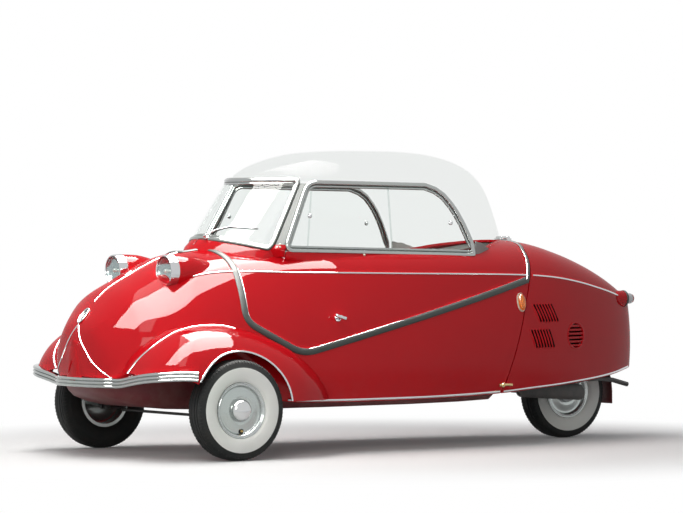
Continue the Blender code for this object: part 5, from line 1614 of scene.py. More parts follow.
def door_outline(gap: float) -> Outline:
    """Left outline of the canopy.

    Args:
        gap: How far it is shrunk all round.

    Returns:
        Closed outline in (y, z).
    """
    seam = seam_line(-HOOP_WIDTH - gap)
    tail = [point for point in seam if point[1] > DOOR_TAIL_HEIGHT + 0.004]
    tail_y = seam_y(DOOR_TAIL_HEIGHT) - HOOP_WIDTH - gap
    corners = [
        (place(FRONT_SEAM_TOP) + gap, ROOF_HEIGHT, 0),
        (place(FRONT_SEAM_TOP) + gap, DOOR_TOP, 0),
        (place(DOOR_SHOULDER[0]) + gap, DOOR_SHOULDER[1] + gap, 0.030),
        (place(DOOR_POINT[0]), DOOR_POINT[1] + gap, 0.030),
        (tail_y, DOOR_TAIL_HEIGHT + gap, 0),
    ]
    corners += [(y, z, 0) for y, z in tail]
    corners += [(tail[-1][0], ROOF_HEIGHT, 0)]
    return rounded(corners, 8)


def right_outline(gap: float) -> Outline:
    """Right outline of the canopy above its hinge line.

    Args:
        gap: How far it is shrunk all round.

    Returns:
        Closed outline in (y, z).
    """
    low = HINGE_Z + gap
    seam = [point for point in seam_line(-HOOP_WIDTH - gap) if point[1] > low + 0.004]
    low_y = seam_y(low) - HOOP_WIDTH - gap
    front = place(FRONT_SEAM_TOP) + gap
    return [(front, ROOF_HEIGHT), (front, low), (low_y, low)] + seam + [(seam[-1][0], ROOF_HEIGHT)]


def canopy_region(name: str, gap: float) -> bpy.types.Object:
    """Solid that holds what belongs to the canopy.

    Args:
        name: Object name.
        gap: How far it is shrunk all round.

    Returns:
        The solid.
    """
    half = BODY_HALF_WIDTH + 0.06
    left = prism(name, door_outline(gap), "X", 0, half)
    right = prism(name + "_right", right_outline(gap), "X", -half, SEAM_GAP)
    boolean(left, right, "UNION")
    drop(right)
    return left


def tail_region(name: str, gap: float) -> bpy.types.Object:
    """Solid that holds what belongs to the tail cover.

    Args:
        name: Object name.
        gap: How far it is shrunk.

    Returns:
        The solid.
    """
    seam = seam_line(gap)
    rear = along(BODY_SHARES[-1][0]) + 0.06
    outline = [(rear, 0), (seam[0][0], 0)] + seam + [(seam[-1][0], ROOF_HEIGHT), (rear, ROOF_HEIGHT)]
    half = BODY_HALF_WIDTH + 0.06
    return prism(name, outline, "X", -half, half)


@dataclass
class Panels:
    """Painted panels and the clear dome.

    Attributes:
        crew: Finishes the pieces.
        form: The smooth surfaces.
    """

    crew: Crew
    form: Form

    def build(self) -> None:
        """Make every panel."""
        cutters = (canopy_region("cut_canopy", 0), tail_region("cut_tail", 0))
        red = self.crew.shop.red()
        skin = self._skin("skin")
        body = self._copy(skin, "body_panels")
        for cutter in cutters:
            boolean(body, cutter)
        self.crew.add(keep_largest(body), "root", Finish.RED, red, ["body_shell"])
        tail = self._copy(skin, "tail_panel")
        region = tail_region("cut_tail_inner", SEAM_GAP)
        boolean(tail, region, "INTERSECT")
        self._louvre_cuts(tail)
        self.crew.add(keep_largest(tail), "tail", Finish.RED, red, ["tail_cover"])
        canopy = self._copy(skin, "canopy_panels")
        inner = canopy_region("cut_canopy_inner", SEAM_GAP)
        boolean(canopy, inner, "INTERSECT")
        plan = [(u * DOME_HALF_WIDTH, along(v)) for u, v in OPENING_SHARES]
        plan += [(-x, y) for x, y in reversed(plan[1:-1])]
        opening = prism("cut_opening", plan, "Z", DOOR_TAIL_HEIGHT, ROOF_HEIGHT)
        boolean(canopy, opening)
        self.crew.add(keep_largest(canopy), "canopy", Finish.RED, red, ["canopy_panel"])
        drop(region, inner, opening, skin)
        self._fenders(red)
        self._dome()
        drop(*cutters)
        LOG.info("panels are done")

    def _skin(self, name: str) -> bpy.types.Object:
        """Hollow body with its wall.

        Args:
            name: Object name.

        Returns:
            The skin.
        """
        obj = grid_object(name, self.form.body, caps=True)
        thicken(obj, WALL * 0.6, even=True)
        smooth_shade(obj)
        bake(obj)
        return smooth_shade(obj)

    @staticmethod
    def _copy(obj: bpy.types.Object, name: str) -> bpy.types.Object:
        """Copy of an object with its own mesh.

        Args:
            obj: Object to copy.
            name: Name of the copy.

        Returns:
            The copy.
        """
        other = bpy.data.objects.new(name, obj.data.copy())
        bpy.context.scene.collection.objects.link(other)
        return other

    def _louvre_cuts(self, tail: bpy.types.Object) -> None:
        """Round vent openings in the tail's flanks.

        Args:
            tail: The tail panel.
        """
        for side in (1, -1):
            turns = [2 * math.pi * step / 48 for step in range(48)]
            outline = [
                (VENT_Y + VENT_RADIUS * math.cos(t), VENT_Z + VENT_RADIUS * math.sin(t)) for t in turns
            ]
            low, high = sorted((side * 0.12, side * 0.5))
            hole = prism("cut_vent", outline, "X", low, high)
            boolean(tail, hole)
            drop(hole)

    def _fenders(self, red: bpy.types.Material) -> None:
        """Front fenders with their arches.

        Args:
            red: Body enamel.
        """
        fender = grid_object("fender_skin_left", self.form.fender, caps=False)
        thicken(fender, 0.006)
        smooth_shade(fender)
        self._face_outwards(fender)
        bake(fender)
        smooth_shade(fender)
        turn = Matrix(((0, 0, 1), (0, 1, 0), (-1, 0, 0))).to_4x4()
        matrix = Matrix.Translation((0, FRONT_AXLE_Y, WHEEL_RADIUS)) @ turn
        arch = lathe(
            "cut_arch", [(0, 0.70), (ARCH_RADIUS, 0.70), (ARCH_RADIUS, 0.47), (0, 0.47)], matrix, 128
        )
        boolean(fender, arch)
        core = grid_object("cut_core", self.form.body, closed=True, caps=True)
        smooth_shade(core)
        boolean(fender, core)
        sweep_space = canopy_region("cut_sweep", -SEAM_GAP)
        boolean(fender, sweep_space)
        keep_largest(fender)
        right = mirrored(fender, "fender_skin_right")
        self.crew.add(fender, "root", Finish.RED, red, ["fender_left"])
        self.crew.add(right, "root", Finish.RED, red, ["fender_right"])
        drop(arch, core, sweep_space)

    @staticmethod
    def _face_outwards(obj: bpy.types.Object) -> None:
        """Turn an open shell's faces away from the wheel.

        Args:
            obj: Open shell on the car's left side.
        """
        total = 0.0
        for face in obj.data.polygons:
            total += face.normal.dot(Vector((0.7, 0, 0.7))) * face.area
        if total < 0:
            obj.data.flip_normals()

    def _dome(self) -> None:
        """Clear dome, open at the side windows."""
        dome = grid_object("dome_shell", self.form.dome)
        smooth_shade(dome)
        total = sum(face.normal.z * face.area for face in dome.data.polygons)
        if total < 0:
            dome.data.flip_normals()
        thicken(dome, 0.004)
        bake(dome)
        smooth_shade(dome)
        for side in (1, -1):
            low, high = sorted((side * 0.262, side * 0.40))
            window = prism("cut_window", side_rim(), "X", low, high)
            boolean(dome, window)
            drop(window)
        keep_largest(dome)
        self.crew.add(dome, "canopy", Finish.GLASS, self.crew.shop.dome(), ["roof_dome"])


ARCH_RADIUS = 0.235
VENT_Y = place(1.850)
VENT_Z = 0.459
VENT_RADIUS = 0.055
VENT_DEPTH = 0.014

SCREEN_FOOT_PLACE = 0.165
SCREEN_FOOT_HEIGHT = 0.885
SCREEN_CORNER_HEIGHT = 0.838
SCREEN_HEAD_HEIGHT = 1.121
SCREEN_FOOT_HALF = 0.275
SCREEN_HEAD_HALF = 0.246
SIDE_SILL_FRONT = 0.832
SIDE_SILL_REAR = 0.808
SIDE_HEAD = 1.112
SIDE_FRONT_FOOT = 0.376
SIDE_FRONT_HEAD = 0.510
SIDE_REAR_FOOT = 1.322
SIDE_FOOT_X = 0.318
SIDE_HEAD_X = 0.284
FRAME_RADIUS = 0.0098


def screen_y(x: float, z: float) -> float:
    """Surface of the windscreen.

    Args:
        x: Place across the car.
        z: Height.

    Returns:
        World Y.
    """
    return place(SCREEN_FOOT_PLACE) + (z - SCREEN_FOOT_HEIGHT) * 0.70 + 2.70 * x * x


def side_x(z: float) -> float:
    """Plane of the side windows.

    Args:
        z: Height.

    Returns:
        Half width at that height.
    """
    rise = (z - SIDE_SILL_FRONT) / (SIDE_HEAD - SIDE_SILL_FRONT)
    return SIDE_FOOT_X + (SIDE_HEAD_X - SIDE_FOOT_X) * rise


def pillar_edges(z: float) -> tuple[Vector, Vector, Vector]:
    """Edges of the left corner panel at one height.

    Args:
        z: Height.

    Returns:
        Its front edge, its rear edge and the direction out of it.
    """
    share = (z - SCREEN_CORNER_HEIGHT) / (SCREEN_HEAD_HEIGHT - SCREEN_CORNER_HEIGHT)
    x = SCREEN_FOOT_HALF + (SCREEN_HEAD_HALF - SCREEN_FOOT_HALF) * share
    lean = (z - SIDE_SILL_FRONT) / (SIDE_HEAD - SIDE_SILL_FRONT)
    front = Vector((x, screen_y(x, z), z))
    rear = Vector((side_x(z), place(SIDE_FRONT_FOOT + (SIDE_FRONT_HEAD - SIDE_FRONT_FOOT) * lean), z))
    return front, rear, Vector((rear.y - front.y, front.x - rear.x, 0)).normalized()


def screen_rim() -> Outline:
    """Closed mid line of the windscreen's frame.

    Returns:
        Points in (x, z).
    """
    corners = [
        (-SCREEN_HEAD_HALF, SCREEN_HEAD_HEIGHT, 0.025), (-SCREEN_FOOT_HALF, SCREEN_CORNER_HEIGHT, 0.05)
    ]
    steps = 12
    for step in range(1, 2 * steps):
        across = step / steps - 1
        drop_by = (SCREEN_FOOT_HEIGHT - SCREEN_CORNER_HEIGHT) * across * across
        corners.append((SCREEN_FOOT_HALF * across, SCREEN_FOOT_HEIGHT - drop_by, 0))
    corners += [(SCREEN_FOOT_HALF, SCREEN_CORNER_HEIGHT, 0.05), (SCREEN_HEAD_HALF, SCREEN_HEAD_HEIGHT, 0.025)]
    for step in range(2 * steps - 1, 0, -1):
        corners.append((SCREEN_HEAD_HALF * (step / steps - 1), SCREEN_HEAD_HEIGHT, 0))
    return rounded(corners, 10)


def side_rim() -> Outline:
    """Closed mid line of a side window's frame.

    Returns:
        Points in (y, z).
    """
    shares = np.array(SIDE_REAR_SHARES)
    heights = np.linspace(shares[0, 1], shares[-1, 1], 30)
    arc = [(along(float(np.interp(h, shares[:, 1], shares[:, 0]))), h * ROOF_HEIGHT, 0) for h in heights]
    corners = [(place(SIDE_FRONT_FOOT), SIDE_SILL_FRONT, 0.045), (place(SIDE_REAR_FOOT), SIDE_SILL_REAR, 0)]
    corners += arc
    corners += [(place(SIDE_FRONT_HEAD), SIDE_HEAD, 0.045)]
    return rounded(corners, 10)


class Repeater:
    """Geometry Nodes group that repeats a piece round an axis."""

    def __init__(self) -> None:
        """Make the group."""
        tree = bpy.data.node_groups.new("repeat_pieces", "GeometryNodeTree")
        face = tree.interface
        kinds = {
            "Geometry": "Geometry", "Count": "Int", "Turn": "Vector", "Pivot": "Vector",
            "Material": "Material"
        }
        for label, kind in kinds.items():
            face.new_socket(label, in_out="INPUT", socket_type="NodeSocket" + kind)
        face.new_socket("Geometry", in_out="OUTPUT", socket_type="NodeSocketGeometry")
        t = NodeTree(tree)
        start, end = t.add("NodeGroupInput"), t.add("NodeGroupOutput")
        single = t.add("GeometryNodeGeometryToInstance")
        t.link(start.outputs["Geometry"], single.inputs[0])
        copies = t.add("GeometryNodeDuplicateElements", domain="INSTANCE")
        t.link(single.outputs[0], copies.inputs["Geometry"])
        t.link(start.outputs["Count"], copies.inputs["Amount"])
        turn = t.add("GeometryNodeRotateInstances")
        t.link(copies.outputs["Geometry"], turn.inputs["Instances"])
        angle = t.add("ShaderNodeVectorMath", operation="SCALE")
        t.link(start.outputs["Turn"], angle.inputs[0])
        t.link(copies.outputs["Duplicate Index"], angle.inputs["Scale"])
        t.link(angle.outputs[0], turn.inputs["Rotation"])
        t.link(start.outputs["Pivot"], turn.inputs["Pivot Point"])
        turn.inputs["Local Space"].default_value = False
        real = t.add("GeometryNodeRealizeInstances")
        t.link(turn.outputs["Instances"], real.inputs[0])
        paint = t.add("GeometryNodeSetMaterial")
        t.link(real.outputs[0], paint.inputs["Geometry"])
        t.link(start.outputs["Material"], paint.inputs["Material"])
        t.link(paint.outputs[0], end.inputs["Geometry"])
        self.tree = tree

    def repeat(
        self, obj: bpy.types.Object, count: int, material: bpy.types.Material, turn: Sequence[float],
        pivot: Sequence[float]
    ) -> bpy.types.Object:
        """Repeat an object and bake the result.

        Args:
            obj: One piece, in its first place.
            count: How many there are.
            material: Their material.
            turn: Step round the axes through the pivot.
            pivot: Point that they turn about.

        Returns:
            The same object with all copies.
        """
        modifier = obj.modifiers.new("repeat", "NODES")
        modifier.node_group = self.tree
        names = {
            item.name: item.identifier for item in self.tree.interface.items_tree if item.in_out == "INPUT"
        }
        modifier[names["Count"]] = count
        modifier[names["Turn"]] = tuple(float(v) for v in turn)
        modifier[names["Pivot"]] = tuple(float(v) for v in pivot)
        modifier[names["Material"]] = material
        bake(obj)
        obj.data.shade_smooth()
        obj.data.set_sharp_from_angle(angle=math.radians(SHARP_ANGLE))
        return obj


@dataclass
class Wheels:
    """Tyres and wheel discs.

    Attributes:
        crew: Finishes the pieces.
    """

    crew: Crew

    SECTION = (
        (0.1056, 0.0370), (0.1090, 0.0372), (0.1125, 0.0385), (0.1160, 0.0425), (0.1220, 0.0462),
        (0.1320, 0.0488), (0.1440, 0.0500), (0.1560, 0.0499), (0.1660, 0.0493), (0.1695, 0.0490),
        (0.1706, 0.0482), (0.1780, 0.0468), (0.1860, 0.0446), (0.1910, 0.0422), (0.1950, 0.0395),
        (0.1975, 0.0365),
    )

    TREAD = (
        (0.1985, 0.0340), (0.1990, 0.0285), (0.1955, 0.0280), (0.1955, 0.0250), (0.1998, 0.0245),
        (0.2005, 0.0130), (0.1965, 0.0125), (0.1965, 0.0095), (0.2010, 0.0090), (0.2015, 0.0000),
    )

    DISC = (
        (0.0440, 0.0330), (0.0500, 0.0325), (0.0540, 0.0345), (0.0600, 0.0340), (0.0720, 0.0300),
        (0.0800, 0.0275), (0.0880, 0.0262), (0.0925, 0.0268), (0.0955, 0.0300), (0.0975, 0.0345),
        (0.1005, 0.0375), (0.1030, 0.0384), (0.1040, 0.0374), (0.1050, 0.0384), (0.1085, 0.0412),
        (0.1112, 0.0418), (0.1120, 0.0402), (0.1110, 0.0385), (0.1052, 0.0383), (0.1052, -0.0383),
        (0.1110, -0.0385), (0.1115, -0.0415), (0.0985, -0.0418), (0.0970, 0.0130), (0.0880, 0.0200),
        (0.0500, 0.0235), (0.0245, 0.0235), (0.0245, -0.0195), (0.0130, -0.0195), (0.0130, 0.0300),
    )

    WHITE_LEVEL = 0.036
    WHITE_INNER = 0.1125
    WHITE_OUTER = 0.1697
    LUG_LOW = (-0.0135, 0, -0.0012)
    LUG_HIGH = (0.0135, 0.0034, 0.0022)
    LUG_BEVEL = 0.0006
    LUG_PLACE = (0.0405, 0.1935)
    LUG_LEAN = math.radians(38)
    LUG_SLANT = 0.25
    LUG_SHARE = 0.55
    LUG_COUNT = 84
    RING_RADIUS = 0.0016
    RING_PLACE = (0.1035, 0.0384)
    VALVE_PLACE = (0.083, 0.006, 0.0262)

    HUB = ((0.0000, 0.0630), (0.0120, 0.0626), (0.0240, 0.0607), (0.0340, 0.0565), (0.0410, 0.0500),
           (0.0445, 0.0425), (0.0455, 0.0360), (0.0462, 0.0335), (0.0440, 0.0325), (0.0000, 0.0325))

    def build(self) -> None:
        """Make the three wheels."""
        places = (
            ("front_left", HALF_TRACK, FRONT_AXLE_Y, 1, "wheel_left"),
            ("front_right", -HALF_TRACK, FRONT_AXLE_Y, -1, "wheel_right"),
            ("rear", 0.0, REAR_AXLE_Y, 1, "wheel_rear"),
        )
        for name, x, y, side, body in places:
            turn = Matrix(((0, 0, side), (0, 1, 0), (-side, 0, 0))).to_4x4()
            matrix = Matrix.Translation((x, y, WHEEL_RADIUS)) @ turn
            self._tyre(name, matrix, body, (x, y, WHEEL_RADIUS))
            self._disc(name, matrix, body, name == "rear")
        LOG.info("wheels are done")

    def _tyre(self, name: str, matrix: Matrix, body: str, centre: tuple[float, float, float]) -> None:
        """Tyre with whitewall and tread.

        Args:
            name: Wheel's name.
            matrix: Wheel's place.
            body: Body it turns with.
            centre: Middle of the wheel.
        """
        half = list(self.SECTION + self.TREAD)
        profile = half + [(r, -x) for r, x in reversed(half[:-1])]
        profile += [profile[0]]
        tyre = lathe("tyre_body_" + name, profile, matrix, 120, 40)
        shop = self.crew.shop
        tyre.data.materials.append(shop.rubber())
        tyre.data.materials.append(shop.white_wall())
        inverse = matrix.inverted()
        for face in tyre.data.polygons:
            spot = inverse @ face.center
            radius = math.hypot(spot.x, spot.y)
            if spot.z > self.WHITE_LEVEL and self.WHITE_INNER < radius < self.WHITE_OUTER:
                face.material_index = 1
        self.crew.add(tyre, body, Finish.RUBBER, None, ["tyre_" + name])
        lug = block("tread_blocks_" + name, self.LUG_LOW, self.LUG_HIGH, self.LUG_BEVEL, 1)
        bars = []
        for edge in (1, -1):
            bar = lug.copy()
            bar.data = lug.data.copy()
            bpy.context.scene.collection.objects.link(bar)
            turn = Euler((0, edge * self.LUG_LEAN, edge * self.LUG_SLANT)).to_matrix().to_4x4()
            seat = Matrix.Translation((edge * self.LUG_PLACE[0], 0, self.LUG_PLACE[1]))
            bar.data.transform(seat @ turn @ Matrix.Diagonal((self.LUG_SHARE, 1, 1, 1)))
            bars.append(bar)
        drop(lug)
        lugs = merge("tread_blocks_" + name, bars)
        lugs.data.transform(Matrix.Translation(centre))
        turn = (2 * math.pi / self.LUG_COUNT, 0, 0)
        self.crew.repeater.repeat(lugs, self.LUG_COUNT, shop.rubber(), turn, centre)
        self.crew.add(lugs, body, Finish.RUBBER)

    def _disc(self, name: str, matrix: Matrix, body: str, through: bool) -> None:
        """Wheel disc, hub dome and valve.

        Args:
            name: Wheel's name.
            matrix: Wheel's place.
            body: Body it turns with.
            through: Whether the axle runs through both sides.
        """
        shop = self.crew.shop
        disc = lathe("wheel_disc_" + name, self.DISC + self.DISC[:1], matrix, 96)
        self.crew.add(disc, body, Finish.CHROME, shop.silver(), ["rim_" + name])
        cap = lathe("hub_cap_" + name, self.HUB, matrix, 72)
        self.crew.add(cap, body, Finish.CHROME, shop.chrome())
        radius, level = self.RING_PLACE
        turns = (2 * math.pi * step / 10 for step in range(11))
        section = [
            (radius + self.RING_RADIUS * math.cos(t), level + self.RING_RADIUS * math.sin(t)) for t in turns
        ]
        ring = lathe("rim_ring_" + name, section, matrix, 96)
        self.crew.add(ring, body, Finish.CHROME, shop.chrome())
        if through:
            return
        seat = matrix @ Matrix.Translation(self.VALVE_PLACE)
        grommet = lathe(
            "valve_grommet_" + name,
            [(0, 0.002), (0.006, 0.003), (0.011, 0.0022), (0.0128, 0), (0.0128, -0.003), (0, -0.003)], seat,
            32
        )
        self.crew.add(grommet, body, Finish.RUBBER, shop.rubber())
        stem = lathe(
            "valve_stem_" + name,
            [
                (0, 0.012), (0.0026, 0.012), (0.003, 0.011), (0.003, 0.006), (0.0042, 0.0055),
                (0.0042, 0.001), (0, 0.001)
            ],
            seat, 24
        )
        self.crew.add(
            stem, body, Finish.CHROME,
            shop.paint("valve_brass", Paint((0.62, 0.43, 0.16), 0.3, metallic=1.0, relief=0.02))
        )


SCREEN_TOP = 0.980


@dataclass
class Glazing:
    """Window frames, panes, pillars and the raised cowl band.

    Attributes:
        crew: Finishes the pieces.
        form: The smooth surfaces.
        body: Finds points on the body.
    """

    crew: Crew
    form: Form
    body: Probe

    def build(self) -> None:
        """Make everything round the windows."""
        shop = self.crew.shop
        line = [Vector((x, screen_y(x, z), z)) for x, z in screen_rim()]
        line = resample(line, 0.008, closed=True)
        frame_bar = tube("screen_trim", line, FRAME_RADIUS, cyclic=True, sides=20)
        self.crew.add(frame_bar, "canopy", Finish.ALUMINIUM, shop.aluminium(), ["windscreen_frame"])
        outer = self._outset(line, 0.0085)
        rubber = tube("screen_rubber", outer, 0.0052, cyclic=True, sides=12)
        self.crew.add(rubber, "canopy", Finish.RUBBER, shop.seal())
        groove = tube("screen_groove", self._outset(line, -0.0095), 0.0048, cyclic=True, sides=12)
        self.crew.add(groove, "canopy", Finish.RUBBER, shop.seal())
        bead = tube("screen_bead", self._outset(line, -0.0155), 0.0052, cyclic=True, sides=16)
        self.crew.add(bead, "canopy", Finish.ALUMINIUM, shop.aluminium())
        pane = self._screen_pane()
        self.crew.add(pane, "canopy", Finish.GLASS, shop.glass(), ["windscreen_glass"])
        self._side_windows()
        self._pillars()
        self._cowl_band()
        self._dome_seal()
        LOG.info("glazing is done")

    def _dome_seal(self) -> None:
        """Grey seal along the dome's rear foot, deeper at the windows' rear corners."""
        grid = self.form.dome
        start = place(SIDE_REAR_FOOT) + 0.010
        sides = [ring for ring in grid[:-1] if ring[0][1] > start]
        rear = [grid[::-1, index] for index in range(1, grid.shape[1] - 1)]
        walks = sides + rear + [ring[::-1] for ring in reversed(sides)]
        middle = Vector((0, start, 0.80))
        feet = [Vector(walk[0]) for walk in walks]
        reach = [0.0]
        for a, b in zip(feet, feet[1:]):
            reach.append(reach[-1] + (b - a).length)
        rows = []
        for walk, foot, at in zip(walks, feet, reach):
            edge = min(at, reach[-1] - at)
            height = 0.020 + 0.052 * math.exp(-((edge / 0.11) ** 2))
            line = resample([Vector(p) for p in walk[:14]], 0.004)
            count = max(2, min(len(line) - 1, int(round(height / 0.004))))
            picks = [line[round(count * share / 5)] for share in range(6)]
            out = (foot - middle).normalized()
            rows.append(
                [tuple(p + out * 0.0016) for p in picks] + [tuple(p - out * 0.0056) for p in reversed(picks)]
            )
        band = smooth_shade(grid_object("dome_seal", np.array(rows), closed=True, caps=True), 50)
        self.crew.add(band, "canopy", Finish.GREY, self.crew.shop.grey())

    @staticmethod
    def _outset(line: list[Vector], distance: float) -> list[Vector]:
        """Closed line moved outwards in its own surface.

        Args:
            line: Points of the line.
            distance: How far it moves.

        Returns:
            The moved line.
        """
        middle = sum(line, Vector()) / len(line)
        moved = []
        for index, point in enumerate(line):
            run = (line[(index + 1) % len(line)] - line[index - 1]).normalized()
            away = point - middle
            away -= run * away.dot(run)
            flat = Vector((away.x, away.z * 0.57, away.z * 0.82)).normalized()
            moved.append(point + flat * distance)
        return moved

    def _screen_pane(self) -> bpy.types.Object:
        """Curved windscreen pane.

        Returns:
            The pane.
        """
        outline = screen_rim()
        rings = []
        for step in range(49):
            x = SCREEN_FOOT_HALF * (step / 24 - 1)
            heights = self._span(outline, x)
            column = []
            for part in range(13):
                z = heights[0] + (heights[1] - heights[0]) * part / 12
                column.append((x, screen_y(x, z), z))
            rings.append(column)
        pane = grid_object("screen_pane", np.array(rings))
        thicken(pane, 0.005, offset=0)
        bake(pane)
        return smooth_shade(pane)

    @staticmethod
    def _span(outline: Outline, x: float) -> tuple[float, float]:
        """Lowest and highest point of an outline at one place across.

        Args:
            outline: Closed outline in (x, z).
            x: Place across.

        Returns:
            The two heights.
        """
        hits = []
        for index, (x0, z0) in enumerate(outline):
            x1, z1 = outline[(index + 1) % len(outline)]
            if (x0 - x) * (x1 - x) <= 0 and x0 != x1:
                hits.append(z0 + (z1 - z0) * (x - x0) / (x1 - x0))
        if not hits:
            return SCREEN_TOP, SCREEN_TOP + 0.001
        return min(hits), max(hits)

    def _side_windows(self) -> None:
        """Frames and panes of the side windows."""
        shop = self.crew.shop
        rim = side_rim()
        for name, side in SIDES:
            line = [Vector((side * side_x(z), y, z)) for y, z in rim]
            bar = tube(
                "window_trim_" + name, resample(line, 0.008, closed=True), FRAME_RADIUS, cyclic=True,
                sides=20
            )
            self.crew.add(bar, "canopy", Finish.ALUMINIUM, shop.aluminium(), ["side_frame_" + name])
            inner = [Vector((p.x - side * 0.004, p.y, p.z)) for p in line]
            shrunk = self._shrunk(inner, 0.0085)
            gasket = tube(
                "window_rubber_" + name, resample(shrunk, 0.008, closed=True), 0.0042, cyclic=True, sides=12
            )
            self.crew.add(gasket, "canopy", Finish.RUBBER, shop.seal())
            bead = tube(
                "window_bead_" + name, resample(self._shrunk(inner, 0.0160), 0.008, closed=True), 0.0056,
                cyclic=True, sides=16
            )
            self.crew.add(bead, "canopy", Finish.ALUMINIUM, shop.aluminium())
            pane = prism("window_pane_" + name, rim, "X", -0.0025, 0.0025)
            for vert in pane.data.vertices:
                vert.co.x += side * side_x(vert.co.z)
            self.crew.add(pane, "canopy", Finish.GLASS, shop.glass(), ["side_glass_" + name])
            self._slider(name, side)
            self._window_sill(name, side)

    @staticmethod
    def _shrunk(line: list[Vector], distance: float) -> list[Vector]:
        """Closed line moved inwards in the plane of the window.

        Args:
            line: Points of the line.
            distance: How far it moves.

        Returns:
            The moved line.
        """
        middle = sum(line, Vector()) / len(line)
        moved = []
        for index, point in enumerate(line):
            run = (line[(index + 1) % len(line)] - line[index - 1]).normalized()
            inward = middle - point
            inward -= run * inward.dot(run)
            moved.append(point + inward.normalized() * distance)
        return moved

    def _slider(self, name: str, side: int) -> None:
        """Meeting bar and knobs of a sliding pane.

        Args:
            name: Side's name.
            side: 1 for left, -1 for right.
        """
        shop = self.crew.shop
        y = place(0.905)
        low, high = 0.828, 1.106
        points = [Vector((side * (side_x(z) + 0.004), y, z)) for z in np.linspace(low, high, 12)]
        stations = [Station(p, Vector((0, 1, 0)), Vector((side, 0, 0))) for p in points]
        bar = sweep(
            "window_meeting_bar_" + name, stations,
            [(0.0028, 0.003), (-0.0028, 0.003), (-0.003, -0.003), (0.003, -0.003)]
        )
        self.crew.add(bar, "canopy", Finish.GLASS, shop.clear("pane_edge", (0.90, 0.92, 0.915), 0.3))
        knobs = []
        for distance, height in ((0.503, 0.974), (1.207, 0.944)):
            spot = Matrix.Translation((side * (side_x(height) + 0.003), place(distance), height))
            turn = Matrix(((0, 0, side), (0, 1, 0), (-side, 0, 0))).to_4x4()
            knobs.append(
                lathe(
                    "knob",
                    [
                        (0, 0.014), (0.006, 0.0135), (0.009, 0.011), (0.0095, 0.007), (0.005, 0.004),
                        (0.005, 0), (0, 0)
                    ],
                    spot @ turn, 28
                )
            )
        self.crew.add(merge("window_knobs_" + name, knobs), "canopy", Finish.CHROME, shop.chrome())

    def _window_sill(self, name: str, side: int) -> None:
        """Painted wall between a side window's frame and the shoulder below it.

        Args:
            name: Side's name.
            side: 1 for left, -1 for right.
        """
        rings = []
        for share in np.linspace(0, 1, 40):
            y = place(SIDE_FRONT_FOOT + 0.004 + (SIDE_REAR_FOOT - SIDE_FRONT_FOOT - 0.010) * share)
            z = SIDE_SILL_FRONT + (SIDE_SILL_REAR - SIDE_SILL_FRONT) * share
            head = Vector((side * (side_x(z) + 0.006), y, z - 0.004))
            foot = self.body.side(y, z - 0.040, side)[0]
            bend = Vector((head.x, y, foot.z + 0.014))
            line = [head.lerp(bend, t).lerp(bend.lerp(foot, t), t) for t in np.linspace(0, 1, 7)]
            inner = Vector((-side * 0.004, 0, -0.001))
            rings.append([tuple(p) for p in line] + [tuple(p + inner) for p in reversed(line)])
        sill = smooth_shade(grid_object("window_sill_" + name, np.array(rings), closed=True, caps=True), 60)
        self.crew.add(sill, "canopy", Finish.RED, self.crew.shop.red())

    def _pillars(self) -> None:
        """Painted corner panels between windscreen and side windows."""
        shop = self.crew.shop
        for name, side in SIDES:
            foot = self._pillar("pillar_panel_" + name, side, 0.806, 0.856, 0.0075)
            self.crew.add(foot, "canopy", Finish.RED, shop.red(), ["pillar_" + name])
            cover = self._pillar("pillar_cover_" + name, side, 0.854, 1.106, 0.0005)
            self.crew.add(cover, "canopy", Finish.RUBBER, shop.seal())

    @staticmethod
    def _pillar(name: str, side: int, low: float, high: float, crown: float) -> bpy.types.Object:
        """Part of the corner panel beside the windscreen.

        Args:
            name: Piece name.
            side: 1 for left, -1 for right.
            low: Lowest height.
            high: Greatest height.
            crown: How far its middle stands out.

        Returns:
            The panel.
        """
        rings = []
        for z in np.linspace(low, high, 25):
            front, rear, out = pillar_edges(z)
            run = rear - front
            shares = [part / 8 for part in range(9)]
            sunk = 0.034 * max(0.0, (0.838 - z) / 0.032)
            front, rear = front - out * sunk, rear - out * sunk
            ring = [front + run * t + out * (crown * math.sin(math.pi * t) + 0.002) for t in shares]
            ring += [front + run * t - out * 0.006 for t in reversed(shares)]
            rings.append([(side * p.x, p.y, p.z) for p in ring])
        return smooth_shade(grid_object(name, np.array(rings), closed=True, caps=True), 50)

    def _cowl_band(self) -> None:
        """Raised band below the windscreen."""
        shop = self.crew.shop
        rings = []
        for step in range(61):
            across = step / 30 - 1
            x = SCREEN_FOOT_HALF * across
            top = SCREEN_FOOT_HEIGHT - (SCREEN_FOOT_HEIGHT - SCREEN_CORNER_HEIGHT) * across * across
            y = screen_y(x, top)
            rings.append([
                (x, y + 0.010, top - 0.004), (x, y + 0.002, top + 0.001), (x, y - 0.006, top - 0.002),
                (x, y - 0.016, top - 0.014), (x, y - 0.034, top - 0.030), (x, y - 0.044, top - 0.052),
                (x, y + 0.010, top - 0.060),
            ])
        band = smooth_shade(grid_object("cowl_band", np.array(rings), closed=True, caps=True), 40)
        self.crew.add(band, "canopy", Finish.RED, shop.red(), ["scuttle"])
        joint = tube("cowl_joint", [
            (0, screen_y(0, 0.885) - 0.0065, 0.8835), (0, screen_y(0, 0.885) - 0.0165, 0.8715),
            (0, screen_y(0, 0.885) - 0.0345, 0.8555),
        ], 0.0012, sides=8)
        self.crew.add(joint, "canopy", Finish.DARK_RED, shop.underside())


# The seal's bright line stands aside of its middle, and the seal bends forward over the cowl
SEAL_LINE_SHIFT = 0.0140
SEAL_BULGE = 0.090
SEAL_BULGE_REACH = 0.215
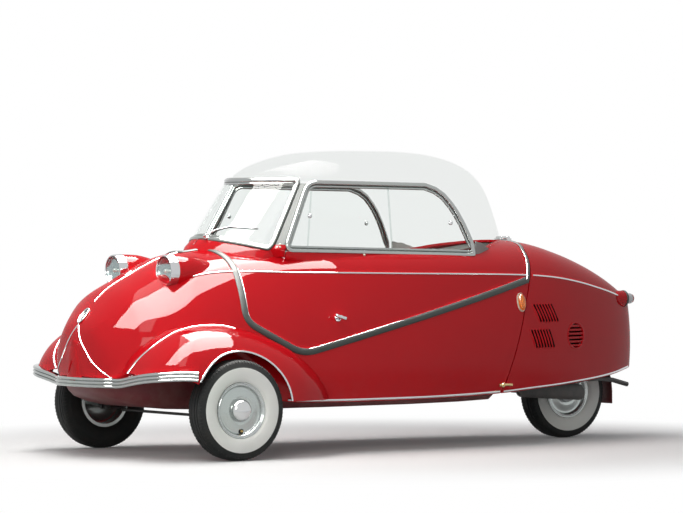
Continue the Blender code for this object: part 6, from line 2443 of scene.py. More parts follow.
# The apron under the nose starts at this ring of the body and stands out at its middle
APRON_BULGE = 0.0080
APRON_RING = 8
BELT_STEP = 0.014
ARCH_BEAD = 0.0045
# Bead between nose and fender: across, along from the nose, height
BEAD_LINE = (
    (0.290, -0.352, 0.350), (0.321, -0.343, 0.378), (0.350, -0.325, 0.414), (0.375, -0.296, 0.447),
    (0.392, -0.267, 0.472),
    (0.405, -0.235, 0.494), (0.412, -0.202, 0.510), (0.414, -0.159, 0.524), (0.410, -0.093, 0.534),
    (0.411, -0.025, 0.538),
    (0.423, 0.013, 0.533), (0.445, 0.055, 0.521),
)


@dataclass
class Trim:
    """Seals, strips, beads and the front moulding.

    Attributes:
        crew: Finishes the pieces.
        form: The smooth surfaces.
        body: Finds points on the body.
        front: Finds points on the body and the fenders.
    """

    crew: Crew
    form: Form
    body: Probe
    front: Probe

    def build(self) -> None:
        """Make all trim."""
        self._seal()
        self._belt_strips()
        self._nose_strips()
        self._fender_beads()
        self._moulding()
        self._sills()
        self._tail_seam_strip()
        self._apron()
        LOG.info("trim is done")

    def _strip(
        self, name: str, points: Sequence[tuple[Vector, Vector]], profile: Outline, body: str,
        finish: Finish, material: bpy.types.Material, lift: float = 0.0
    ) -> bpy.types.Object:
        """Strip along points of a surface.

        Args:
            name: Piece name.
            points: Points with normals.
            profile: Section of the strip.
            body: Body it rides on.
            finish: Its slot.
            material: Its material.
            lift: Height over the surface.

        Returns:
            The strip.
        """
        obj = sweep(name, self.body.stations(points, lift), profile)
        return self.crew.add(obj, body, finish, material)

    def _seal_path(self) -> list[tuple[Vector, Vector]]:
        """Points of the canopy seal from the right, over the cowl, to the left rear.

        Returns:
            Points with normals.
        """
        points = []
        mid = SEAM_GAP / 2
        for turn in np.linspace(math.pi - 0.47, 0.0, 46):
            y = place(FRONT_SEAM_TOP) + mid
            point, normal = self.body.radial(y, turn)
            if turn < math.pi / 2 and point.z < DOOR_TOP:
                break
            bulge = SEAL_BULGE * math.exp(-((point.x / SEAL_BULGE_REACH) ** 2))
            point, normal = self.body.radial(y - bulge, turn)
            points.append((point, normal))
        outline = [
            (place(FRONT_SEAM_TOP) + mid, DOOR_TOP, 0.0),
            (place(DOOR_SHOULDER[0]) + mid, DOOR_SHOULDER[1] + mid, 0.05),
            (place(DOOR_POINT[0]), DOOR_POINT[1] + mid, 0.06),
            (seam_y(DOOR_TAIL_HEIGHT) - HOOP_WIDTH, DOOR_TAIL_HEIGHT + mid, 0.0),
        ]
        outline = [Vector((y, z, 0)) for y, z in rounded(outline, 10)]
        for spot in resample(outline, 0.012):
            points.append(self.body.side(spot.x, spot.y))
        return points

    def _seal(self) -> None:
        """Rubber seal round the canopy with its bright line."""
        shop = self.crew.shop
        path = self._seal_path()
        points = resample([p for p, _ in path], 0.010)
        points = relax(points, 2)
        exact = []
        for point in points:
            near, normal, _, _ = self.body.tree.find_nearest(point)
            if normal.dot(near - Vector((0, near.y, 0.5))) < 0:
                normal = -normal
            exact.append((near, normal))
        profile = [
            (-0.0130, -0.002), (-0.0130, 0.002), (-0.0107, 0.0042), (-0.0045, 0.0058), (0.0034, 0.0060),
            (0.0096, 0.0050), (0.0130, 0.0022), (0.0130, -0.002),
        ]
        self._strip("canopy_seal", exact, profile, "canopy", Finish.RUBBER, shop.seal(), 0.0005)
        self._strip(
            "canopy_seal_line", exact,
            [(a + SEAL_LINE_SHIFT, u) for a, u in half_round(0.0026, 0.0036, 0.002)], "canopy",
            Finish.CHROME, shop.chrome(), 0.0005
        )

    def _belt_points(self, low: float, high: float, side: int) -> list[tuple[Vector, Vector]]:
        """Points of the belt crease.

        Args:
            low: Start along the car.
            high: End along the car.
            side: 1 for left, -1 for right.

        Returns:
            Points with normals.
        """
        points = []
        for y in np.arange(low, high, BELT_STEP):
            point = self.form.belt(y, side)
            first = self.body.side(y, point.z - 0.012, side)[1]
            second = self.body.side(y, point.z + 0.012, side)[1]
            points.append((point, (first + second).normalized()))
        return points

    def _belt_strips(self) -> None:
        """Bright strips along the belt crease."""
        shop = self.crew.shop
        profile = half_round(0.0075, 0.0042, 0.002)
        seam = seam_y(0.735)
        for name, side in SIDES:
            nose_end = place(FRONT_SEAM_TOP) - 0.012 if side > 0 else seam - 0.020
            rows = [("nose", place(-0.030), nose_end, "root")]
            if side > 0:
                rows.append(("door", place(0.170), seam - 0.024, "canopy"))
            rows.append(("tail", seam + 0.010, place(2.245), "tail"))
            for part, low, high, body in rows:
                obj = self._strip(
                    f"belt_strip_{part}_{name}", self._belt_points(low, high, side), profile, body,
                    Finish.CHROME, shop.chrome()
                )
                obj.data.shade_smooth()

    def _nose_strips(self) -> None:
        """Strips on the nose and the plain oval ring where they meet."""
        shop = self.crew.shop
        profile = half_round(0.0050, 0.0034, 0.002)
        centre = []
        for y in np.linspace(place(0.085), place(-0.335), 44):
            centre.append(self.body.top(0.0, y))
        self._strip("nose_strip_centre", centre, profile, "root", Finish.CHROME, shop.chrome())
        branch = (
            (0.000, 0.540), (0.049, 0.470), (0.0855, 0.430), (0.122, 0.390), (0.180, 0.350), (0.243, 0.310)
        )
        dense = [Vector((x, z, 0)) for x, z in branch]
        for name, side in SIDES:
            points = []
            for spot in relax(resample(dense, 0.012), 3):
                x, z = spot.x, spot.y
                points.append(
                    self.body.ray(
                        (side * x * 0.3, place(0.10), z), (side * x * 0.7, -0.5, 0), (side * x, -1, 0.2)
                    )
                )
            self._strip("nose_strip_" + name, points, profile, "root", Finish.CHROME, shop.chrome())
        spot, normal = self.body.ray((0, place(0.10), 0.572), (0, -0.5, 0.0), (0, -1, 0.5))
        turns = [2 * math.pi * step / 48 for step in range(48)]
        run = Vector((1, 0, 0))
        rise = normal.cross(run) * -1
        ring = [spot + normal * 0.003 + run * 0.020 * math.cos(t) + rise * 0.036 * math.sin(t) for t in turns]
        band = tube("nose_ring", ring, 0.0032, cyclic=True, sides=12)
        self.crew.add(band, "root", Finish.CHROME, shop.chrome())
        plate = [
            [
                spot + normal * (
                    0.0022 - 0.0015 * s
                ) + run * 0.019 * s * math.cos(t) + rise * 0.035 * s * math.sin(t)
                for t in turns
            ]
            for s in (0.02, 0.5, 0.8, 1.0)
        ]
        dish = smooth_shade(grid_object("nose_plate", np.array(plate), closed=True), 60)
        self.crew.add(dish, "root", Finish.ALUMINIUM, shop.aluminium())

    def _apron(self) -> None:
        """Painted closing of the nose's lower middle, behind the moulding."""
        ring = self.form.body[APRON_RING]
        half = ring[:len(ring) // 2 + 1]
        order = np.argsort(half[:, 2])
        heights, widths = half[order, 2], half[order, 0]
        front, back = [], []
        for z in np.linspace(heights[0] - 0.020, heights[-1] - 0.001, 26):
            reach = max(float(np.interp(z, heights, widths)), 0.002)
            line = [(reach * t, ring[0, 1] - APRON_BULGE * (1 - t * t), z) for t in np.linspace(-1, 1, 21)]
            front.append(line)
            back.append([(x, y + 0.004, z) for x, y, z in reversed(line)])
        rings = [a + b for a, b in zip(front, back)]
        apron = smooth_shade(grid_object("nose_apron", np.array(rings), closed=True, caps=True), 60)
        self.crew.add(apron, "root", Finish.RED, self.crew.shop.red())

    def _fender_beads(self) -> None:
        """Beads at the foot of the fenders and round the arches."""
        shop = self.crew.shop
        tree = self.front.tree
        for name, side in SIDES:
            bead = []
            for spot in relax(resample(self._junction(side), 0.010), 4):
                near, normal, _, _ = tree.find_nearest(spot)
                if normal.dot(Vector((side * 0.5, 0, 1))) < 0:
                    normal = -normal
                bead.append((near, normal))
            self._strip(
                "fender_bead_" + name, bead, half_round(0.007, 0.0045, 0.003), "root", Finish.CHROME,
                shop.chrome()
            )
            arch = []
            for turn in np.linspace(math.radians(4), math.radians(150), 80):
                y = FRONT_AXLE_Y + ARCH_RADIUS * math.cos(turn)
                z = WHEEL_RADIUS + ARCH_RADIUS * math.sin(turn)
                hit, _, _, _ = tree.ray_cast(Vector((side * 2, y, z)), Vector((-side, 0, 0)))
                if hit is None or abs(hit.x) < 0.46:
                    continue
                out = Vector((0, math.cos(turn), math.sin(turn)))
                arch.append((hit, out))
            stations = [Station(point, Vector((side, 0, 0)), out) for point, out in arch]
            turns = (2 * math.pi * step / 12 for step in range(12))
            section = [(ARCH_BEAD * math.cos(t) + 0.001, ARCH_BEAD * math.sin(t) - 0.001) for t in turns]
            self.crew.add(sweep("arch_bead_" + name, stations, section), "root", Finish.CHROME, shop.chrome())

    def _junction(self, side: int) -> list[Vector]:
        """Line between the nose and a fender, from the moulding backwards.

        Args:
            side: 1 for left, -1 for right.

        Returns:
            Points along the line.
        """
        return [Vector((side * x, place(y), z)) for x, y, z in BEAD_LINE]

    def _moulding(self) -> None:
        """Ribbed moulding across the nose and the fenders."""
        count = len(MOULDING_SHARES)
        numbered = [(index / (count - 1),) + row for index, row in enumerate(MOULDING_SHARES)]
        half = []
        for step in range(91):
            row = smooth_columns(numbered, step / 90)
            half.append(Vector((row[1] * FENDER_HALF_WIDTH, along(row[2]), row[3] * FENDER_HEIGHT)))
        half = relax(half, 8)
        line = [Vector((-p.x, p.y, p.z)) for p in reversed(half[1:])] + half
        stations = []
        for index, point in enumerate(line):
            run = (line[min(index + 1, len(line) - 1)] - line[max(index - 1, 0)]).normalized()
            out = run.cross(Vector((0, 0, 1))).normalized()
            up = out.cross(run).normalized()
            stations.append(Station(point, up if up.z > 0 else -up, out))
        profile: Outline = [(0.021, -0.008)]
        for rib in (1, 0, -1):
            for step in range(9):
                turn = math.pi * step / 8
                profile.append((rib * 0.0135 + 0.0062 * math.cos(turn), 0.0085 + 0.0065 * math.sin(turn)))
        profile.append((-0.021, -0.008))
        strip = sweep("nose_moulding", stations, profile, angle=60)
        self.crew.add(strip, "root", Finish.ALUMINIUM, self.crew.shop.aluminium(), ["front_moulding"])

    def _low_edge(self, low: float, high: float, side: int, rise: float) -> list[tuple[Vector, Vector]]:
        """Points just above the body's low edge.

        Args:
            low: Start along the car.
            high: End along the car.
            side: 1 for left, -1 for right.
            rise: Height over the edge.

        Returns:
            Points with normals.
        """
        points = []
        column = self.form.body[:, 0]
        for y in np.arange(low, high, 0.014):
            z = float(np.interp(y, column[:, 1], column[:, 2])) + rise
            points.append(self.body.side(y, z, side))
        return points

    def _sills(self) -> None:
        """Strips along the sills and the tail's lower edge."""
        shop = self.crew.shop
        for name, side in SIDES:
            end = seam_y(0.235) - 0.004
            points = self._low_edge(place(0.330), end, side, 0.008)
            self._strip(
                "sill_strip_" + name, points, half_round(0.0105, 0.0040, 0.002), "root", Finish.CHROME,
                shop.chrome()
            )
            points = self._low_edge(end + 0.016, place(2.300), side, 0.007)
            self._strip(
                "tail_edge_strip_" + name, points, half_round(0.0085, 0.0035, 0.002), "tail", Finish.CHROME,
                shop.chrome()
            )

    def _tail_seam_strip(self) -> None:
        """Rubber and thin bright line up the hoop ahead of the tail."""
        shop = self.crew.shop
        points = []
        for turn in np.linspace(0.10, math.pi - 0.10, 90):
            height = 0.80
            for _ in range(6):
                y = seam_y(height) - HOOP_WIDTH / 2
                point, normal = self.body.radial(y, turn)
                height = point.z
            if height > DOOR_TAIL_HEIGHT - 0.006:
                points.append((point, normal))
        self._strip(
            "hoop_rubber", points, half_round(0.0160, 0.0040, 0.002), "root", Finish.RUBBER, shop.seal()
        )
        line = [(a + 0.0088, u) for a, u in half_round(0.0018, 0.0032, 0.002)]
        self._strip("hoop_line", points, line, "root", Finish.CHROME, shop.chrome())


@dataclass
class Lamps:
    """Headlamps, turn lamps and tail lamps.

    Attributes:
        crew: Finishes the pieces.
        body: Finds points on the body.
    """

    crew: Crew
    body: Probe

    X = 0.205
    Y = place(-0.126)
    Z = 0.752
    RADIUS = 0.0655

    def build(self) -> None:
        """Make all lamps."""
        for name, side in SIDES:
            turn = Matrix(((1, 0, 0), (0, 0, -1), (0, 1, 0))).to_4x4()
            matrix = Matrix.Translation((side * self.X, self.Y, self.Z)) @ turn
            self._headlamp(name, matrix)
            self._turn_lamp(name, side)
            self._tail_lamp(name, side)
        LOG.info("lamps are done")

    def _headlamp(self, name: str, matrix: Matrix) -> None:
        """Pod, bezel, reflector, bulb and lens of a headlamp.

        Args:
            name: Side's name.
            matrix: Lamp's place, its axis forwards.
        """
        shop = self.crew.shop
        pod_rows = (
            (0.030, 0.985), (0.036, 1.000), (0.060, 0.990), (0.078, 0.980), (0.105, 0.955), (0.128, 0.90),
            (0.155, 0.80), (0.177, 0.70), (0.200, 0.55), (0.217, 0.42), (0.232, 0.24), (0.242, 0.0),
        )
        pod = lathe(
            "headlamp_pod_" + name,
            [(0.0, -0.026), (0.060, -0.026)] + [(r * self.RADIUS, -d) for d, r in pod_rows], matrix, 96
        )
        self.crew.add(pod, "root", Finish.RED, shop.red(), ["headlamp_" + name])
        bezel = lathe("headlamp_bezel_" + name, [
            (0.0560, 0.0010), (0.0575, 0.0050), (0.0600, 0.0070), (0.0632, 0.0055), (0.0652, 0.0000),
            (0.0662, -0.0120), (0.0668, -0.0260), (0.0672, -0.0290), (0.0664, -0.0315), (0.0640, -0.0318),
            (0.0600, -0.0300), (0.0560, -0.0100), (0.0560, 0.0010),
        ], matrix, 96)
        self.crew.add(bezel, "root", Finish.CHROME, shop.chrome())
        dish = lathe("headlamp_reflector_" + name, [
            (0.0560, -0.0020), (0.0520, -0.0080), (0.0440, -0.0150), (0.0330, -0.0205), (0.0200, -0.0235),
            (0.0070, -0.0245), (0.0, -0.0247),
        ], matrix, 72)
        self.crew.add(
            dish, "root", Finish.CHROME,
            shop.paint("reflector_silver", Paint((0.50, 0.52, 0.52), 0.16, metallic=1.0, relief=0.0))
        )
        bulb = lathe(
            "headlamp_bulb_" + name,
            [
                (0, 0.004), (0.006, 0.002), (0.009, -0.004), (0.0085, -0.010), (0.006, -0.016),
                (0.006, -0.024), (0, -0.024)
            ],
            matrix, 28
        )
        self.crew.add(
            bulb, "root", Finish.GLASS,
            shop.paint("bulb_glass", Paint((0.85, 0.85, 0.80), 0.12, coat=1.0, relief=0.0))
        )
        lens = lathe("headlamp_glass_" + name, [
            (0.0, 0.0180), (0.0120, 0.0175), (0.0240, 0.0158), (0.0360, 0.0128), (0.0450, 0.0094),
            (0.0520, 0.0055), (0.0562, 0.0018),
            (0.0562, 0.0000), (0.0520, 0.0030), (0.0450, 0.0068), (0.0360, 0.0102), (0.0240, 0.0132),
            (0.0, 0.0150),
        ], matrix, 72)
        self.crew.add(
            lens, "root", Finish.GLASS, shop.clear("lamp_glass", (0.90, 0.93, 0.93), 0.5),
            ["headlamp_lens_" + name]
        )

    def _turn_lamp(self, name: str, side: int) -> None:
        """Turn lamp with its ivory rim.

        Args:
            name: Side's name.
            side: 1 for left, -1 for right.
        """
        shop = self.crew.shop
        y, z = place(1.510), 0.607
        spot, normal = self.body.side(y, z, side)
        rise = (Vector((0, 0, 1)) - normal * normal.z).normalized()
        run = rise.cross(normal).normalized()

        def ring(width: float, height: float, level: float, count: int = 40) -> list:
            """Oval ring over the surface.

            Args:
                width: Half width along the car.
                height: Half height.
                level: Height over the surface.
                count: Number of points.

            Returns:
                Points of the ring.
            """
            turns = (2 * math.pi * step / count for step in range(count))
            return [
                spot + run * width * math.cos(t) + rise * height * math.sin(t) + normal * level
                for t in turns
            ]

        rows = [
            (0.022, 0.039, -0.006), (0.0235, 0.041, 0.001), (0.0230, 0.0405, 0.005),
            (0.0205, 0.0375, 0.0065), (0.0190, 0.0355, 0.004)
        ]
        rim = smooth_shade(
            grid_object("turn_lamp_rim_" + name, np.array([ring(*r) for r in rows]), closed=True, caps=True),
            50
        )
        self.crew.add(rim, "root", Finish.ORANGE, shop.ivory())
        rows = [
            (0.0190, 0.0355, 0.003), (0.0186, 0.0350, 0.009), (0.0165, 0.0315, 0.0145),
            (0.0125, 0.0245, 0.0185), (0.0065, 0.0130, 0.0200), (0.0004, 0.0008, 0.0203)
        ]
        lens = smooth_shade(
            grid_object("turn_lamp_lens_" + name, np.array([ring(*r) for r in rows]), closed=True, caps=True),
            60
        )
        self.crew.add(
            lens, "root", Finish.ORANGE, shop.lens("orange_glass", (0.90, 0.24, 0.02), 60.0, 0.35),
            ["turn_lamp_" + name]
        )

    def _tail_lamp(self, name: str, side: int) -> None:
        """Tail lamp with red pod, black ring, grey housing and red lens.

        Args:
            name: Side's name.
            side: 1 for left, -1 for right.
        """
        shop = self.crew.shop
        turn = Matrix(((1, 0, 0), (0, 0, 1), (0, -1, 0))).to_4x4()
        matrix = Matrix.Translation((side * 0.135, place(2.262), 0.610)) @ turn
        pod = lathe(
            "tail_lamp_pod_" + name,
            [
                (0.023, 0.002), (0.0345, 0.002), (0.0352, 0.0), (0.0358, -0.055), (0.023, -0.055),
                (0.023, 0.002)
            ],
            matrix, 64
        )
        self.crew.add(pod, "tail", Finish.RED, shop.red())
        ring = lathe(
            "tail_lamp_ring_" + name,
            [
                (0.0228, 0.0125), (0.029, 0.0135), (0.034, 0.0125), (0.0366, 0.009), (0.0370, 0.004),
                (0.0360, 0.0005), (0.0228, 0.0005), (0.0228, 0.0125)
            ],
            matrix, 64
        )
        self.crew.add(ring, "tail", Finish.BLACK, shop.seal(), ["tail_lamp_" + name])
        housing = lathe(
            "tail_lamp_housing_" + name,
            [
                (0.0232, -0.010), (0.0232, 0.040), (0.0225, 0.043), (0.0215, 0.044), (0.0210, 0.040),
                (0.0, 0.038), (0.0, -0.010)
            ],
            matrix, 56
        )
        self.crew.add(
            housing, "tail", Finish.BLACK,
            shop.paint("lamp_grey", Paint((0.36, 0.37, 0.38), 0.35, metallic=0.6, relief=0.01))
        )
        lens = lathe(
            "tail_lamp_lens_" + name,
            [
                (0.0, 0.0600), (0.007, 0.0592), (0.014, 0.0565), (0.0190, 0.0520), (0.0208, 0.0460),
                (0.0208, 0.0405), (0.0, 0.0405)
            ],
            matrix, 48
        )
        self.crew.add(
            lens, "tail", Finish.ORANGE, shop.lens("red_lamp_glass", (0.60, 0.02, 0.02), 50.0, 0.30)
        )


PIPING_INSET = 0.022
PIPING_DROP = 0.012
SWELL_CAP = 0.022
SWELL_FRAMES = 20


@dataclass
class Cabin:
    """Seats, controls and trim seen through the glass.

    Attributes:
        crew: Finishes the pieces.
    """

    crew: Crew

    CUSHIONS = ("front_seat_cushion", "front_seat_back", "rear_seat_cushion", "rear_seat_back")

    def build(self) -> None:
        """Make the cabin's visible pieces."""
        for node in self.CUSHIONS:
            self._cushion(node)
        self._instruments()
        self._bar()
        LOG.info("cabin is done")

    def _cushion(self, node: str) -> None:
        """Padded cushion in the space of its solid.

        Args:
            node: CAD node that it replaces.
        """
        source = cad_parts[node]
        low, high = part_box(node)
        middle = (low + high) / 2
        obj = bpy.data.objects.new("padded_" + node, source.data.copy())
        bpy.context.scene.collection.objects.link(obj)
        smooth_shade(obj)
        shrink = Vector(((high.x - low.x - 0.024) / (high.x - low.x), 0.90, 0.90))
        matrix = Matrix.Translation(middle) @ Matrix.Diagonal((*shrink, 1)) @ Matrix.Translation(-middle)
        obj.data.transform(matrix)
        remesh = obj.modifiers.new("even", "REMESH")
        remesh.mode = "VOXEL"
        remesh.voxel_size = 0.007
        bake(obj)
        self._inflate(obj)
        self._keep_in(obj, low, high)
        smoother = obj.modifiers.new("soft", "SMOOTH")
        smoother.iterations = 3
        bake(obj)
        smooth_shade(obj, 60)
        self.crew.add(obj, "root", Finish.CLOTH, self.crew.shop.seat(), [node])
        self._piping(node, low, high)

    @staticmethod
    def _inflate(obj: bpy.types.Object) -> None:
        """Swell a cushion by cloth simulation with a cap on its travel.

        Args:
            obj: The cushion.
        """
        start = np.array([v.co[:] for v in obj.data.vertices])
        cloth = obj.modifiers.new("fill", "CLOTH")
        settings = cloth.settings
        settings.quality = 4
        settings.mass = 0.3
        settings.use_pressure = True
        settings.uniform_pressure_force = 4.0
        settings.effector_weights.gravity = 0.0
        settings.tension_stiffness = 12
        settings.bending_stiffness = 0.4
        cloth.collision_settings.use_collision = False
        cloth.point_cache.frame_start = 1
        cloth.point_cache.frame_end = SWELL_FRAMES
        for number in range(1, SWELL_FRAMES + 1):
            bpy.context.scene.frame_set(number)
        bake(obj)
        bpy.context.scene.frame_set(1)
        end = np.array([v.co[:] for v in obj.data.vertices])
        travel = end - start
        length = np.linalg.norm(travel, axis=1, keepdims=True)
        scale = np.minimum(1.0, SWELL_CAP / np.maximum(length, 1e-9))
        for vert, place_at in zip(obj.data.vertices, start + travel * scale):
            vert.co = place_at

    @staticmethod
    def _keep_in(obj: bpy.types.Object, low: Vector, high: Vector) -> None:
        """Press a cushion softly into its space.

        Args:
            obj: The cushion.
            low: Lowest corner of the space.
            high: Highest corner of the space.
        """
        for vert in obj.data.vertices:
            for axis in range(3):
                vert.co[axis] = min(max(vert.co[axis], low[axis] + 0.0015), high[axis] - 0.0015)

    def _piping(self, node: str, low: Vector, high: Vector) -> None:
        """Piped seam round a cushion's front edge.

        Args:
            node: CAD node of the cushion.
            low: Lowest corner of its space.
            high: Highest corner of its space.
        """
        if not node.endswith("cushion"):
            return
        inset = PIPING_INSET
        z = high.z - PIPING_DROP
        corners = [
            (low.x + inset, low.y + inset, z), (high.x - inset, low.y + inset, z),
            (high.x - inset, high.y - inset, z), (low.x + inset, high.y - inset, z),
        ]
        points = resample([Vector(c) for c in corners], 0.02, closed=True)
        middle = sum(points, Vector()) / len(points)
        points = [middle + (p - middle) * (1 - 0.03 * abs(math.sin(index))) for index, p in enumerate(points)]
        cord = tube("piping_" + node, relax(points, 2), 0.0035, cyclic=True, sides=8)
        self.crew.add(
            cord, "root", Finish.CLOTH,
            self.crew.shop.cloth("piping_weave", Weave((0.20, 0.18, 0.16), (0.16, 0.15, 0.13), 1200.0))
        )

    def _instruments(self) -> None:
        """Speed dial and switches on the instrument board."""
        shop = self.crew.shop
        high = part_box("dashboard")[1]
        turn = Matrix(((1, 0, 0), (0, 0, 1), (0, -1, 0))).to_4x4()
        spots = (
            (0.0, 0.765, 0.042), (0.105, 0.745, 0.014), (-0.105, 0.745, 0.014), (0.165, 0.735, 0.011),
            (-0.165, 0.735, 0.011)
        )
        rings, faces = [], []
        for x, z, radius in spots:
            matrix = Matrix.Translation((x, high.y, z)) @ turn
            rings.append(
                lathe(
                    "ring",
                    [
                        (radius, -0.004), (radius, 0.006), (radius * 0.92, 0.008), (radius * 0.86, 0.004),
                        (radius * 0.86, -0.004), (radius, -0.004)
                    ],
                    matrix, 48
                )
            )
            faces.append(
                lathe(
                    "face", [(0, 0.002), (radius * 0.86, 0.002), (radius * 0.86, -0.003), (0, -0.003)],
                    matrix, 48
                )
            )
        self.crew.add(merge("dial_rings", rings), "root", Finish.CHROME, shop.chrome())
        self.crew.add(merge("dial_faces", faces), "root", Finish.BLACK, shop.black())
        tick = block("dial_marks", (-0.0008, -0.0006, 0.026), (0.0008, 0.0006, 0.033), 0.0002, 1)
        tick.data.transform(
            Matrix.Translation((0, high.y + 0.0028, 0.765)) @ Matrix.Rotation(math.radians(-120), 4, "Y")
        )
        pivot = (0, high.y + 0.0028, 0.765)
        self.crew.repeater.repeat(tick, 13, shop.ivory(), turn=(0, math.radians(20), 0), pivot=pivot)
        self.crew.add(tick, "root", Finish.GREY)
        needle = block(
            "dial_needle", (-0.0009, high.y + 0.0034, 0.758), (0.0009, high.y + 0.0044, 0.795), 0.0003, 1
        )
        self.crew.add(needle, "root", Finish.ORANGE, shop.paint("needle_red", Paint((0.6, 0.03, 0.02), 0.4)))

    def _bar(self) -> None:
        """Grips on the handlebar."""
        shop = self.crew.shop
        low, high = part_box("steering_bar")
        head = Vector((0, place(0.460), 0.680))
        foot = Vector((0, place(0.020), 0.240))
        run = (head - foot).normalized()
        middle = head + run * (0.0005 + 0.016 * 1.5)
        up = Vector((1, 0, 0)).cross(run)
        for name, side in SIDES:
            points = [
                middle + Vector((side * 0.092, 0, 0)) - up * 0.004,
                middle + Vector((side * 0.168, 0, 0)) - up * 0.0485
            ]
            grip = tube("grip_" + name, resample(points, 0.01), 0.0145, sides=24)
            self.crew.add(grip, "handlebar", Finish.RUBBER, shop.rubber())


@dataclass
class Fittings:
    """Small fittings: louvres, vents, handle, wiper, screws and latch.

    Attributes:
        crew: Finishes the pieces.
        body: Finds points on the body.
    """

    crew: Crew
    body: Probe

    def build(self) -> None:
        """Make all fittings."""
        self._louvres()
        self._vents()
        self._handle()
        self._wiper()
        self._screws()
        self._latch()
        LOG.info("fittings are done")

    def _louvre(
        self, name: str, start: tuple[float, float], end: tuple[float, float], side: int
    ) -> bpy.types.Object:
        """One raised louvre that follows the tail's flank.

        Args:
            name: Object name.
            start: Upper end as (y, z).
            end: Lower end as (y, z).
            side: 1 for left, -1 for right.

        Returns:
            The louvre.
        """
        points = []
        for t in np.linspace(0, 1, 12):
            points.append(
                self.body.side(start[0] + (end[0] - start[0]) * t, start[1] + (end[1] - start[1]) * t, side)
            )
        stations = []
        for index, station in enumerate(self.body.stations(points)):
            t = index / (len(points) - 1)
            size = max(0.15, math.sin(math.pi * (0.06 + 0.88 * t)) ** 0.5)
            stations.append(Station(station.point, station.across, station.up, size))
        return sweep(
            name, stations,
            [
                (-0.0040, -0.001), (-0.0040, 0.0006), (-0.001, 0.0040), (0.0026, 0.0048), (0.0036, 0.0030),
                (0.0038, -0.001)
            ]
        )

    def _louvres(self) -> None:
        """Rows of slanted louvres on the tail's flanks, with black strips of painted shade in their mouths.
        """
        shop = self.crew.shop
        groups = (
            ((place(1.573), 0.603), (place(1.616), 0.516), 7, 0.0180),
            ((place(1.548), 0.496), (place(1.587), 0.407), 7, 0.0180),
        )
        for name, side in SIDES:
            parts, shades = [], []
            for start, end, count, pitch in groups:
                for number in range(count):
                    shift = pitch * number
                    first = (start[0] + shift, start[1])
                    second = (end[0] + shift, end[1])
                    parts.append(self._louvre("louvre", first, second, side))
                    shades.append(self._shade(first, second, side))
            self.crew.add(merge("louvres_" + name, parts), "tail", Finish.RED, shop.red())
            # Black strips that paint the shade in the louvres' mouths
            self.crew.add(merge("louvre_shade_strips_" + name, shades), "tail", Finish.BLACK, shop.painted_shade_black())

    def _shade(self, start: tuple[float, float], end: tuple[float, float], side: int) -> bpy.types.Object:
        """Black strip on a louvre's rear edge that paints the shade in its mouth.

        Args:
            start: Upper end as (y, z).
            end: Lower end as (y, z).
            side: 1 for left, -1 for right.

        Returns:
            The strip.
        """
        points = []
        for t in np.linspace(0.08, 0.92, 8):
            y = start[0] + (end[0] - start[0]) * t + 0.0090
            points.append(self.body.side(y, start[1] + (end[1] - start[1]) * t, side))
        return sweep(
            "mouth", self.body.stations(points),
            [(-0.0052, -0.001), (-0.0052, 0.0014), (0.0052, 0.0014), (0.0052, -0.001)]
        )

    def _vent_point(self, radius: float, turn: float, side: int) -> tuple[Vector, Vector]:
        """Point of the flank on a circle round the vent's middle.

        Args:
            radius: Distance from the middle.
            turn: Angle round it.
            side: 1 for left, -1 for right.

        Returns:
            The point and the normal.
        """
        return self.body.side(VENT_Y + radius * math.cos(turn), VENT_Z + radius * math.sin(turn), side)

    def _vents(self) -> None:
        """Round vents with level slats in the tail's flanks, and a black disc of painted shade behind them.
        """
        shop = self.crew.shop
        for name, side in SIDES:
            normal = self.body.side(VENT_Y, VENT_Z, side)[1]
            ring = [
                self._vent_point(VENT_RADIUS + 0.001, 2 * math.pi * step / 64, side) for step in range(64)
            ]
            stations = self.body.stations(ring, cyclic=True)
            rim = sweep(
                "vent_rim_" + name, stations,
                [(-0.004, -0.006), (-0.004, 0.0015), (0.0, 0.0028), (0.004, 0.001), (0.004, -0.004)],
                cyclic=True
            )
            self.crew.add(rim, "tail", Finish.RED, shop.red())
            slats = []
            for row in range(6):
                z = VENT_Z - 0.042 + row * 0.0168
                half = math.sqrt(max(VENT_RADIUS**2 - (z - VENT_Z) ** 2, 0.0)) - 0.001
                points = [self.body.side(VENT_Y + half * t, z, side) for t in np.linspace(-1, 1, 12)]
                slats.append(
                    sweep(
                        "slat", self.body.stations(points, -0.004),
                        [
                            (-0.0062, -0.006), (-0.0050, 0.0015), (-0.001, 0.0045), (0.0040, 0.0030),
                            (0.0050, -0.003), (0.0030, -0.005)
                        ]
                    )
                )
            self.crew.add(merge("vent_slats_" + name, slats), "tail", Finish.RED, shop.red())
            # A black disc sunk behind the slats paints the shade inside the vent
            turns = [2 * math.pi * step / 40 for step in range(40)]
            shade_rings = []
            for radius in (0.002, 0.02, 0.04, VENT_RADIUS):
                shade_rings.append(
                    [self._vent_point(radius, turn, side)[0] - normal * VENT_DEPTH for turn in turns]
                )
            shade_disc = smooth_shade(grid_object("vent_painted_shade_" + name, np.array(shade_rings), closed=True), 60)
            self.crew.add(shade_disc, "tail", Finish.BLACK, shop.painted_shade_black())

